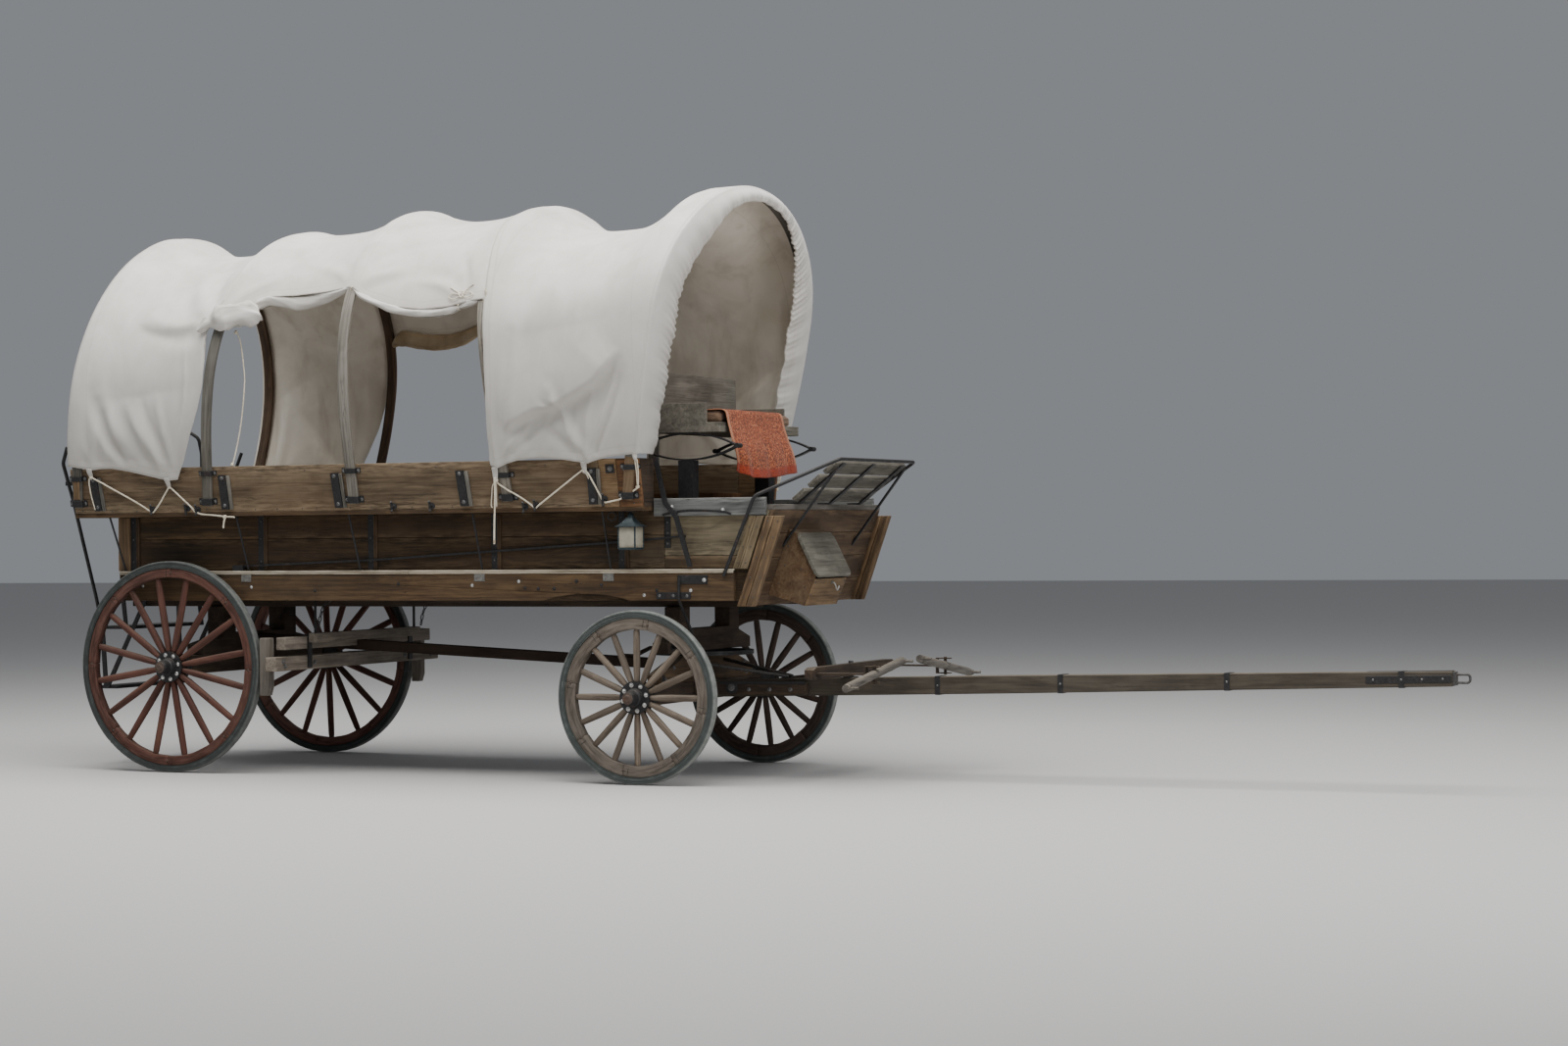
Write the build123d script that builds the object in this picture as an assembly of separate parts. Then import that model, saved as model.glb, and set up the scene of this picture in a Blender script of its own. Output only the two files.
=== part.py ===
from build123d import *
import os, math

os.makedirs("parts", exist_ok=True)

# Covered wagon.  Millimetres, +Z up, ground at z = 0, front towards +X.
# The right side is -Y.  Lengths along x are measured from the rear axle while
# modelling, and OX moves the whole thing so that the origin is the centre of
# its footprint.

# ---------------------------------------------------------------- driving sizes
WHEELBASE = 3130.0
R_REAR, R_FRONT = 635.0, 490.0          # outside of the rubber tyre
TYRE_H, TYRE_W = 42.0, 56.0             # rubber tyre: radial height, width
Y_REAR, Y_FRONT = 895.0, 885.0          # outer face of the tyre
SPOKES = 16
SPINDLE_R, BORE_R = 28.0, 28.05

WALL_IN, WALL_OUT = 735.0, 765.0        # lower side wall
SILL_OUT = 800.0                        # long rail on the outside of the wall
Z_FLOOR0, Z_FLOOR1 = 1030.0, 1060.0     # bed floor
Z_LEDGE = 1206.0                        # top of the long rail
Z_WALL1 = 1535.0                        # top of the lower wall
Z_SHELF1 = 1560.0                       # top of the overhanging shelf
FLARE_Y0, FLARE_Y1, FLARE_Z1 = 905.0, 960.0, 1830.0   # outer face of the flared board
FLARE_T = 25.0
X_TAIL, X_OVER, X_FLARE1 = -440.0, -665.0, 3200.0

X_DASH, DASH_SLOPE, Z_DASH0 = 3725.0, 190.0 / 530.0, 1000.0
X_KING = WHEELBASE
RING_Z = 700.0
X_TIP = 7520.0

OX = -3367.02                            # shift of the finished model along x

PARTS = {}


def keep(name, shape):
    PARTS[name] = shape
    return shape


def box(x0, x1, y0, y1, z0, z1):
    """Block between six planes, whichever way round each pair is given."""
    x0, x1 = min(x0, x1), max(x0, x1)
    y0, y1 = min(y0, y1), max(y0, y1)
    z0, z1 = min(z0, z1), max(z0, z1)
    return Pos((x0 + x1) / 2, (y0 + y1) / 2, (z0 + z1) / 2) * Box(x1 - x0, y1 - y0, z1 - z0)


def prism_y(pts, y0, y1):
    """(x, z) outline extruded from y0 to y1."""
    f = Face(Wire.make_polygon([(x, min(y0, y1), z) for x, z in pts]))
    return Solid.extrude(f, Vector(0, abs(y1 - y0), 0))


def prism_x(pts, x0, x1):
    """(y, z) outline extruded from x0 to x1."""
    f = Face(Wire.make_polygon([(min(x0, x1), y, z) for y, z in pts]))
    return Solid.extrude(f, Vector(abs(x1 - x0), 0, 0))


def rod(p, q, r):
    p, q = Vector(*p), Vector(*q)
    d = q - p
    return Plane(origin=p, z_dir=d) * Cylinder(r, d.length, align=(Align.CENTER, Align.CENTER, Align.MIN))


def cyl_y(x, z, r, y0, y1):
    return rod((x, min(y0, y1), z), (x, max(y0, y1), z), r)


def ring_y(x, z, r_out, r_in, y0, y1):
    return cyl_y(x, z, r_out, y0, y1) - cyl_y(x, z, r_in, y0 - 1, y1 + 1)


def tube_path(pts, radii, r):
    path = FilletPolyline(*pts, radius=radii) if len(pts) > 2 else Line(*pts)
    pl = Plane(origin=path @ 0, z_dir=path % 0)
    return sweep(pl * Circle(r), path=path)


def both(name, maker):
    """The same piece on both sides: s = -1 is the right side."""
    for side, s in (("right", -1), ("left", 1)):
        keep(f"{name}_{side}", maker(s))


def group(shapes):
    return Compound([x for s in shapes for x in s.solids()])


# ---------------------------------------------------------------- wheels
# columns: name, x, radius, outer face y, felloe radial depth, spoke radius at hub (axial, round)
WHEELS = [
    ("rear", 0.0, R_REAR, Y_REAR, 56.0),
    ("front", WHEELBASE, R_FRONT, Y_FRONT, 66.0),
]
HUB_CORE, HUB_FLANGE, HUB_BACK = 88.0, 93.0, 60.0
FELLOE_W = 48.0
# how far each wheel has turned, in spoke spacings
TURNED = {("rear", "right"): 0.43, ("rear", "left"): 0.10, ("front", "right"): 0.0, ("front", "left"): 0.3}


def wheel(end, x, R, y_out, felloe_h, s):
    z = R
    yc = y_out - TYRE_W / 2                       # centre plane of the rim
    tyre = ring_y(x, z, R, R - TYRE_H, yc - TYRE_W / 2, yc + TYRE_W / 2)
    tyre = fillet(tyre.edges().filter_by(GeomType.CIRCLE).sort_by(SortBy.RADIUS)[-2:], 12)
    r_fel = R - TYRE_H - felloe_h
    felloe = ring_y(x, z, R - TYRE_H, r_fel, yc - FELLOE_W / 2, yc + FELLOE_W / 2)
    # hub: turned barrel with a flange plate, a nose and a blind bore for the spindle
    prof = [(BORE_R, yc - 130), (HUB_BACK, yc - 130), (72, yc - 110), (78, yc - 40), (HUB_FLANGE, yc - 34),
            (HUB_FLANGE, yc - 27), (HUB_CORE, yc - 27), (HUB_CORE, yc + 27), (HUB_FLANGE, yc + 27),
            (HUB_FLANGE, yc + 35), (56, yc + 35), (50, yc + 62), (44, yc + 68), (40, yc + 104),
            (32, yc + 122), (0, yc + 122), (0, yc + 100), (BORE_R, yc + 100)]
    face = Face(Wire.make_polygon([(x + a, b, z) for a, b in prof]))
    hub = Solid.revolve(face, 360, Axis((x, 0, z), (0, 1, 0)))
    spokes = []
    for i in range(SPOKES):
        a = 360.0 / SPOKES * (i + TURNED[end, "right" if s < 0 else "left"])
        base = Plane(origin=(x, yc, z), x_dir=(0, 1, 0), z_dir=(math.cos(math.radians(a)), 0, math.sin(math.radians(a))))
        foot = base.offset(HUB_CORE - 6) * Ellipse(21, 16)
        neck = base.offset(r_fel + 8) * Ellipse(13, 13)
        spokes.append(loft([foot.face(), neck.face()]))
    gap = cyl_y(x, z, HUB_CORE, yc - 60, yc + 60)
    rim = ring_y(x, z, R, r_fel, yc - 60, yc + 60)
    spokes = [sp - gap - rim for sp in spokes]
    out = [tyre, felloe, hub, group(spokes)]
    if s < 0:
        out = [o.mirror(Plane.XZ) for o in out]
    return out


for end, x, R, y_out, fh in WHEELS:
    for side, s in (("right", -1), ("left", 1)):
        t, f, h, sp = wheel(end, x, R, y_out, fh, s)
        keep(f"{end}_tyre_{side}", t)
        keep(f"{end}_felloe_{side}", f)
        keep(f"{end}_hub_{side}", h)
        keep(f"{end}_spokes_{side}", sp)


# ---------------------------------------------------------------- axles and running gear
def axle(x, z, y_out, half_z0, half_z1):
    yc = y_out - TYRE_W / 2
    y_in = yc - 130 - 3                           # 3 mm behind the hub's back
    body = box(x - 50, x + 50, -y_in + 14, y_in - 14, z - half_z0, z + half_z1)
    for s in (-1, 1):
        body += cyl_y(x, z, 46, s * (y_in - 14), s * y_in)
        body += cyl_y(x, z, SPINDLE_R, s * y_in, s * (yc + 96))
    return body


keep("rear_axle", axle(0, R_REAR, Y_REAR, 50, 60))
keep("front_axle", axle(X_KING, R_FRONT, Y_FRONT, 50, 60))

# rear bolster on the rear axle, with two pads under the bed
REAR_AX_TOP = R_REAR + 60
Z_BEAR0 = 985.0                                   # underside of the long bearers
rb = prism_x([(-620, REAR_AX_TOP), (620, REAR_AX_TOP), (620, 760), (400, 800), (400, Z_BEAR0), (270, Z_BEAR0),
              (270, 820), (-270, 820), (-270, Z_BEAR0), (-400, Z_BEAR0), (-400, 800), (-620, 760)], -60, 60)
keep("rear_bolster", rb)

# front: arched bolster on the axle turns with the gear
FRONT_AX_TOP = R_FRONT + 60
fb = prism_x([(-640, FRONT_AX_TOP), (640, FRONT_AX_TOP), (640, 605), (330, RING_Z), (-330, RING_Z), (-640, 605)],
             X_KING - 45, X_KING + 45)
fb -= rod((X_KING, 0, FRONT_AX_TOP - 1), (X_KING, 0, RING_Z + 1), 15.06)
keep("front_bolster", fb)
RING = 12.0
ring = rod((X_KING, 0, RING_Z), (X_KING, 0, RING_Z + RING), 300) - rod((X_KING, 0, RING_Z - 1), (X_KING, 0, RING_Z + RING + 1), 255)
keep("turning_ring_lower", ring)
Z_UP = RING_Z + RING + 0.5
ring = rod((X_KING, 0, Z_UP), (X_KING, 0, Z_UP + RING), 300) - rod((X_KING, 0, Z_UP - 1), (X_KING, 0, Z_UP + RING + 1), 255)
keep("turning_ring_upper", ring)
Z_SAND = Z_UP + RING
sb = prism_x([(-560, Z_SAND), (560, Z_SAND), (560, Z_SAND + 60), (400, Z_SAND + 110), (400, Z_BEAR0), (270, Z_BEAR0),
              (270, Z_SAND + 130), (-270, Z_SAND + 130), (-270, Z_BEAR0), (-400, Z_BEAR0), (-400, Z_SAND + 110),
              (-560, Z_SAND + 60)], X_KING - 50, X_KING + 50)
keep("upper_bolster", sb)
keep("kingpin", rod((X_KING, 0, FRONT_AX_TOP + 4), (X_KING, 0, Z_SAND), 15.0))

# reach pole from the rear bolster to the front, and its iron shoe under the upper bolster
def reach_z(x):
    return 779.0 - 0.0485 * x


keep("reach_pole", prism_y([(60, reach_z(60) - 32), (2780, reach_z(2780) - 30), (2780, reach_z(2780) + 30), (60, reach_z(60) + 32)], -32, 32))
keep("reach_iron", prism_y([(2580, reach_z(2580) + 30), (2690, reach_z(2690) + 30), (2800, Z_SAND + 6), (X_KING - 50, Z_SAND + 6),
                            (X_KING - 50, Z_SAND + 20), (2792, Z_SAND + 20), (2675, reach_z(2675) + 44), (2580, reach_z(2580) + 44)], -28, 28))

# hounds: two timbers from behind the axle to the tongue's sides
hounds = []
for s in (-1, 1):
    pts = [(X_KING - 45 - 190, s * 235), (X_KING + 700, s * 52), (X_KING + 700, s * 97), (X_KING - 45 - 190, s * 290)]
    f = Face(Wire.make_polygon([(x, y, FRONT_AX_TOP - 75) for x, y in (pts if s > 0 else pts[::-1])]))
    h = Solid.extrude(f, Vector(0, 0, 70))
    h -= box(X_KING - 50, X_KING + 50, -700, 700, 400, FRONT_AX_TOP)
    hounds += h.solids()
keep("hounds", group(hounds))

# tongue, tapering to the tip, with iron cap and loop
def tongue_z(x):
    return 505.0 + (x - 3350.0) * (603.0 - 505.0) / (X_TIP - 3350.0)


X_TROOT = X_KING + 50
keep("tongue", prism_y([(X_TROOT, tongue_z(X_TROOT) - 50), (5100, tongue_z(5100) - 50), (X_TIP, tongue_z(X_TIP) - 40),
                        (X_TIP, tongue_z(X_TIP) + 40), (5100, tongue_z(5100) + 50), (X_TROOT, tongue_z(X_TROOT) + 50)], -50, 50))
zt = tongue_z(X_TIP)
loop = box(X_TIP, X_TIP + 12, -40, 40, zt - 36, zt + 36)
loop += tube_path([(X_TIP + 6, 0, zt + 22), (X_TIP + 84, 0, zt + 22), (X_TIP + 84, 0, zt - 22), (X_TIP + 6, 0, zt - 22)], 18, 7)
keep("tongue_end_loop", loop)

# stays from the bolster down on to the tongue's top
stays = []
for s in (-1, 1):
    stays.append(rod((X_KING + 30, s * 205, 664), (X_KING + 560, s * 30, tongue_z(X_KING + 560) + 62), 10) - box(X_KING, X_KING + 45, -400, 400, 500, 800))
keep("tongue_stays", group(stays))

# doubletree on the tongue, with a singletree at each end
X_DT, X_ST = 4070.0, 4440.0
Z_DT = tongue_z(X_DT) + 52
keep("doubletree_post", rod((X_DT, 0, Z_DT - 2), (X_DT, 0, Z_DT + 94), 14) + rod((X_DT, 0, Z_DT - 2), (X_DT, 0, Z_DT + 4), 45)
     - prism_y([(3900, tongue_z(3900) + 50), (4300, tongue_z(4300) + 50), (4300, 400), (3900, 400)], -60, 60))
dt = prism_x([(-600, Z_DT + 24), (-560, Z_DT + 10), (560, Z_DT + 10), (600, Z_DT + 24), (600, Z_DT + 66), (560, Z_DT + 80), (-560, Z_DT + 80), (-600, Z_DT + 66)],
             X_DT - 28, X_DT + 28)
dt -= rod((X_DT, 0, Z_DT), (X_DT, 0, Z_DT + 100), 14.06)
keep("doubletree", dt)
Z_LINK = Z_DT + 45
links = []
for s in (-1, 1):
    y = s * 545
    lk = box(X_DT + 28, X_ST - 55, y - 20, y + 20, Z_LINK - 5, Z_LINK + 5)
    links.append(lk)
keep("doubletree_links", group(links))
SING_TILT = 8.0
for side, s in (("right", -1), ("left", 1)):
    y = s * 545
    bar = rod((X_ST, -385, Z_LINK), (X_ST, 385, Z_LINK), 24)
    bar = bar.rotate(Axis((X_ST, 0, Z_LINK), (1, 0, 0)), -s * SING_TILT)
    bar = Pos(0, y, 0) * bar
    bar -= rod((X_ST, y, Z_LINK - 60), (X_ST, y, Z_LINK + 60), 9.0)
    keep(f"singletree_{side}", bar)
    ye, ze = 385 * math.cos(math.radians(SING_TILT)), 385 * math.sin(math.radians(SING_TILT))
    hooks = []
    for e in (-1, 1):
        yy, zz = y + s * e * ye, Z_LINK - e * ze
        d = Vector(0, s * e * math.cos(math.radians(SING_TILT)), -e * math.sin(math.radians(SING_TILT)))
        p = Vector(X_ST, yy, zz)
        q = p + d * 30
        cap = rod(tuple(p), tuple(q), 22)
        cap += rod(tuple(q - d * 12), tuple((q - d * 12) + Vector(70, 0, 0)), 8)
        cap += rod(tuple((q - d * 12) + Vector(8, 0, 0)), tuple((q - d * 12) + Vector(25, 0, 0)), 14)      # collar that the trace's eye rests on
        hooks.append(cap)
    keep(f"trace_hooks_{side}", group(hooks))
    clev = box(X_ST - 46, X_ST + 34, y - 17, y + 17, Z_LINK + 40, Z_LINK + 46) + box(X_ST - 46, X_ST + 34, y - 17, y + 17, Z_LINK - 46, Z_LINK - 40)
    clev += box(X_ST - 54.4, X_ST - 46, y - 17, y + 17, Z_LINK - 46, Z_LINK + 46)
    clev += rod((X_ST, y, Z_LINK - 52), (X_ST, y, Z_LINK + 52), 8.95)
    keep(f"singletree_clevis_{side}", clev)

# ---------------------------------------------------------------- bed
dash_x = lambda z: X_DASH + DASH_SLOPE * (z - Z_DASH0)      # inner face of the sloping front board
keep("bed_bearers", group([prism_y([(X_TAIL - 200, Z_BEAR0), (3660, Z_BEAR0), (3660, Z_FLOOR0), (X_TAIL - 200, Z_FLOOR0)], s * 300, s * 370) for s in (-1, 1)]))
keep("bed_floor", prism_y([(X_TAIL, Z_FLOOR0), (dash_x(Z_FLOOR0), Z_FLOOR0), (dash_x(Z_FLOOR1), Z_FLOOR1), (X_TAIL, Z_FLOOR1)], -WALL_IN, WALL_IN))
keep("rear_platform", box(X_OVER - 35, X_TAIL, -412, 412, Z_FLOOR0, Z_FLOOR1))

# shallow arch in the wall and rail that the turned front wheel swings past
ARCH_X, ARCH_TOP, ARCH_R = 2780.0, 1070.0, 1000.0


def wall(s):
    w = prism_y([(X_TAIL, Z_FLOOR0), (dash_x(Z_FLOOR0), Z_FLOOR0), (dash_x(Z_WALL1), Z_WALL1), (X_TAIL, Z_WALL1)], s * WALL_IN, s * WALL_OUT)
    return w


def sill(s):
    w = box(-420, 3705, s * WALL_OUT, s * SILL_OUT, Z_FLOOR0, Z_LEDGE)
    w -= cyl_y(ARCH_X, ARCH_TOP - ARCH_R, ARCH_R, s * (WALL_OUT - 5), s * (SILL_OUT + 5))
    return w


both("lower_side", wall)
both("step_rail", sill)


def shelf(s):
    return box(X_OVER, X_FLARE1, s * 690, s * FLARE_Y0, Z_WALL1, Z_SHELF1)


def flare(s):
    return prism_x([(s * (FLARE_Y0 - FLARE_T), Z_SHELF1), (s * FLARE_Y0, Z_SHELF1), (s * FLARE_Y1, FLARE_Z1), (s * (FLARE_Y1 - FLARE_T), FLARE_Z1)], X_OVER, X_FLARE1)


both("side_shelf", shelf)
both("flare_board", flare)


def flare_y(z):
    """Outer face of the flared board at height z."""
    return FLARE_Y0 + (FLARE_Y1 - FLARE_Y0) * (z - Z_SHELF1) / (FLARE_Z1 - Z_SHELF1)


# iron-strapped cleats on the flared board: x at the top, x at the foot
CLEATS = [(-491, -482), (437, 437), (1219, 1227), (2058, 2069), (2906, 2900)]


def cleats(s):
    out = []
    for xt, xb in CLEATS:
        y0, y1 = flare_y(1575), flare_y(1778)
        f = Face(Wire.make_polygon([(xb - 26, s * y0, 1575), (xb + 26, s * y0, 1575), (xt + 26, s * y1, 1778), (xt - 26, s * y1, 1778)]))
        out.append(Solid.extrude(f, Vector(0, s * 16, 0)))
    return group(out)


both("flare_cleats", cleats)

# flat irons on the lower wall, above the rail
STRAPS = [-337, 583, 1347, 2176, 2998]


def straps(s):
    return group([box(x - 19, x + 19, s * WALL_OUT, s * (WALL_OUT + 6), Z_LEDGE, Z_WALL1) for x in STRAPS])


both("wall_straps", straps)

# thin stays from the shelf's edge to the rail's ledge: x at the top, x at the foot
STAYS = [(-425, -379), (487, 508), (1270, 1287), (2098, 2106), (2936, 2938)]


def flare_stays(s):
    out = []
    for xt, xb in STAYS:
        st = rod((xb, s * 786, Z_LEDGE - 6), (xt, s * 888, Z_WALL1 + 6), 6)
        st -= box(xb - 90, xb + 90, s * 700, s * 1000, Z_LEDGE - 60, Z_LEDGE)
        st -= box(xt - 90, xt + 90, s * 700, s * 1000, Z_WALL1, Z_WALL1 + 60)
        out.append(st)
    return group(out)


both("flare_stays", flare_stays)

# end of the shelf at the back, tail boards, doorway cheeks and door
DOOR_Y = 360.0
keep("rear_shelf", group([box(X_OVER, X_TAIL, s * DOOR_Y, s * 690, Z_WALL1, Z_SHELF1) for s in (-1, 1)]))
keep("tail_boards_upper", group([prism_x([(s * DOOR_Y, Z_SHELF1), (s * (FLARE_Y0 - FLARE_T), Z_SHELF1), (s * (FLARE_Y1 - FLARE_T), FLARE_Z1), (s * DOOR_Y, FLARE_Z1)],
                                         X_OVER, X_OVER + 25) for s in (-1, 1)]))
keep("tail_boards_lower", group([box(X_TAIL, X_TAIL + 25, s * DOOR_Y, s * WALL_IN, Z_FLOOR1, Z_WALL1) for s in (-1, 1)]))
cheeks = []
for s in (-1, 1):
    cheeks.append(box(X_OVER, X_TAIL, s * (DOOR_Y - 28), s * DOOR_Y, Z_FLOOR1, FLARE_Z1))
keep("doorway_cheeks", group(cheeks))
DOOR_X = X_OVER - 5
door = box(DOOR_X - 25, DOOR_X, -DOOR_Y + 8, DOOR_Y - 8, Z_FLOOR1 + 12, 1800)
keep("rear_door", door)
HINGE_X, HINGE_Y = DOOR_X - 33.0, DOOR_Y + 4.0
hin = []
for z in (1180, 1690):
    hin.append(rod((HINGE_X, HINGE_Y, z - 40), (HINGE_X, HINGE_Y, z - 5), 8)
               + box(HINGE_X - 2, X_OVER, HINGE_Y - 3, HINGE_Y + 5, z - 40, z - 5)
               + rod((HINGE_X, HINGE_Y, z - 6), (HINGE_X, HINGE_Y, z + 36), 4))
keep("door_hinge_pins", group(hin))
strap = []
for z in (1180, 1690):
    h = rod((HINGE_X, HINGE_Y, z), (HINGE_X, HINGE_Y, z + 32), 8) + box(HINGE_X - 2, HINGE_X + 8, HINGE_Y - 240, HINGE_Y, z, z + 32)
    h -= rod((HINGE_X, HINGE_Y, z - 2), (HINGE_X, HINGE_Y, z + 34), 4.06)
    strap.append(h)
keep("door_hinge_straps", group(strap))

# front of the passenger space and the driver's floor
keep("front_bulkhead", box(3150, 3175, -WALL_IN, WALL_IN, Z_FLOOR1, Z_WALL1))
keep("flare_end_boards", group([prism_x([(s * 765, Z_SHELF1), (s * (FLARE_Y0 - FLARE_T), Z_SHELF1), (s * (FLARE_Y1 - FLARE_T), FLARE_Z1), (s * 765, FLARE_Z1)],
                                        X_FLARE1 - 25, X_FLARE1) for s in (-1, 1)]))
keep("driver_floor", box(3150, 3947, -690, 690, Z_WALL1, 1565) + box(X_FLARE1, 3947, -765, -690, Z_WALL1, 1565)
     + box(X_FLARE1, 3947, 690, 765, Z_WALL1, 1565))
both("front_rail", lambda s: box(X_FLARE1 + 10, 3900, s * 765, s * 793, 1505, 1605))

# sloping front board, its corner posts and the nailed cleats behind them
keep("front_board", prism_y([(X_DASH, Z_DASH0), (X_DASH + 30, Z_DASH0), (dash_x(Z_WALL1) + 30, Z_WALL1), (dash_x(Z_WALL1), Z_WALL1)], -WALL_OUT, WALL_OUT))
both("front_post", lambda s: prism_y([(X_DASH, Z_DASH0), (X_DASH + 105, Z_DASH0), (dash_x(1500) + 105, 1500), (dash_x(1500), 1500)], s * WALL_OUT, s * SILL_OUT))
both("front_cleat", lambda s: prism_y([(dash_x(Z_LEDGE) - 105, Z_LEDGE), (dash_x(Z_LEDGE) - 14, Z_LEDGE), (dash_x(1500) - 14, 1500), (dash_x(1500) - 105, 1500)],
                                      s * WALL_OUT, s * 790))

# ---------------------------------------------------------------- seats
both("bench_seat", lambda s: box(-400, 3000, s * 430, s * 850, 1620, 1650))
both("bench_riser", lambda s: box(-400, 3000, s * 470, s * 495, Z_FLOOR1, 1620))

keep("seat_risers", group([box(3255, 3345, s * 482, s * 562, 1565, 1821) for s in (-1, 1)]))


def leaf_spring(y):
    r_of = lambda half, rise: (half * half + rise * rise) / (2 * rise)
    def lens(half, rise):
        up = ThreePointArc((3300 - half, y, 1900), (3300, y, 1900 + rise), (3300 + half, y, 1900))
        dn = ThreePointArc((3300 + half, y, 1900), (3300, y, 1900 - rise), (3300 - half, y, 1900))
        return Solid.extrude(Face(Wire([up, dn])), Vector(0, 45, 0))
    sp = lens(322, 79) - Pos(0, -2, 0) * Solid.extrude(Face(Wire([
        ThreePointArc((3300 - 302, y, 1900), (3300, y, 1971), (3300 + 302, y, 1900)),
        ThreePointArc((3300 + 302, y, 1900), (3300, y, 1829), (3300 - 302, y, 1900))])), Vector(0, 50, 0))
    for x in (3300 - 316, 3300 + 316):
        sp += cyl_y(x, 1900, 14, y - 4, y + 49)
    return sp


keep("seat_springs", group([leaf_spring(-544.5), leaf_spring(499.5)]))
seat = box(3080, 3515, -550, 550, 1979, 2035)
seat += box(3080, 3105, -550, 550, 2035, 2330)
for s in (-1, 1):
    seat += box(3105, 3425, s * 528, s * 550, 2035, 2146)
keep("driver_seat", seat)
cush = box(3112, 3508, -520, 520, 2036, 2102)
cush = fillet(cush.edges().filter_by(Axis.Z), 30)
keep("seat_cushion", cush)
rug = prism_y([(3200, 2104), (3512, 2104), (3530, 2040), (3600, 1880), (3630, 1715), (3640, 1715), (3610, 1884), (3540, 2046),
               (3520, 2112), (3200, 2112)], -470, 320)
keep("seat_rug", rug)

# ---------------------------------------------------------------- footboard
FB_A = math.radians(38.5)
UX, UZ = math.cos(FB_A), math.sin(FB_A)
FX, FZ = 3950.0, 1575.0


def fb(s_, n):
    return (FX + UX * s_ - UZ * n, FZ + UZ * s_ + UX * n)


keep("footboard_irons", group([prism_y([(3880, 1565), (3948, 1565), fb(6, -10), fb(352, -10), fb(352, 0), fb(0, 0), (3880, 1575)], y - 20, y + 20)
                               for y in (-440, 0, 440)]))
keep("footboard", group([prism_y([fb(s0, 0), fb(s0 + 103, 0), fb(s0 + 103, 25), fb(s0, 25)], -520, 520) for s0 in (8, 124, 240)]))
keep("foot_rail", tube_path([(3650, -811, 1170), (3706, -811, 1300), (3842, -811, 1612), (4252, -560, 1812), (4252, 560, 1812), (3842, 811, 1612), (3706, 811, 1300), (3650, 811, 1170)],
                            [300, 60, 50, 50, 60, 300], 10))
keep("footboard_stays", group([rod((dash_x(1330) + 28, y, 1330), fb(330, -10)[0:1] + (y,) + fb(330, -10)[1:2], 8)
                               - prism_y([(dash_x(1200), 1200), (dash_x(1200) + 30, 1200), (dash_x(1500) + 30, 1500), (dash_x(1500), 1500)], -800, 800)
                               - prism_y([fb(200, -10), fb(400, -10), fb(400, 60), fb(200, 60)], -800, 800)
                               for y in (-560 + 60, 440 + 60)]))

# ---------------------------------------------------------------- tool box on the front board
JY0, JY1 = -490.0, -45.0
OUT = lambda z: dash_x(z) + 30
A = (OUT(1060), 1060)
B = (3995, 995)
C = (4070, 1170)
D = (3955, 1400)
E = (OUT(1425), 1425)
outer = prism_y([A, B, C, D, E], JY0, JY1)
t = 14.0
inner = prism_y([(OUT(1080) + t, 1080), (3992 - 4, 1013), (C[0] + 8, C[1] - 6), (D[0] + 12, D[1] - 22), (OUT(1404) + t, 1404)], JY0 + t, JY1 - t)
keep("tool_box", outer - inner)
ln = math.hypot(C[0] - D[0], C[1] - D[1])
lu = ((C[0] - D[0]) / ln, (C[1] - D[1]) / ln)           # down the lid
nn = (-lu[1], lu[0])                                     # out of the lid
lp = lambda a, b: (D[0] + lu[0] * a + nn[0] * b, D[1] + lu[1] * a + nn[1] * b)
lid = prism_y([lp(2, 0.5), lp(ln + 20, 0.5), lp(ln + 20, 18), lp(2, 18)], JY0 - 22, JY1 + 22)
cut = []
for ys, d in ((JY0 - 22, 1), (JY1 + 22, -1)):
    for a0, a1 in ((2, 34), (ln + 20, ln - 2)):
        p = [lp(a0, -5) , lp(a1, -5)]
        w = Wire.make_polygon([(p[0][0], ys, p[0][1]), (p[1][0], ys, p[1][1]), (p[0][0], ys + d * 26, p[0][1])])
        cut.append(Solid.extrude(Face(w), Vector(nn[0] * 40, 0, nn[1] * 40)))
for c in cut:
    lid -= c
keep("tool_box_lid", lid)
LID_AXIS = lp(0, 0)

# ---------------------------------------------------------------- lantern under the shelf
LX, LY = 3105.0, -868.0
lan = box(LX - 62, LX + 62, LY - 62, LY + 62, 1318, 1330)
for a in (-1, 1):
    for b in (-1, 1):
        lan += box(LX + a * 62, LX + a * 54, LY + b * 62, LY + b * 54, 1330, 1446)
roof = loft([Plane(origin=(LX, LY, 1446)) * Rectangle(168, 168), Plane(origin=(LX, LY, 1500)) * Rectangle(60, 60)])
lan += roof
lan += rod((LX, LY, 1500), (LX, LY, 1522), 20)
lan += rod((LX, LY, 1522), (LX, LY, Z_WALL1), 6)
keep("lantern", lan)
keep("lantern_panes", box(LX - 54, LX + 54, LY - 54, LY + 54, 1330, 1446) - box(LX - 50, LX + 50, LY - 50, LY + 50, 1330, 1446))

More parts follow.
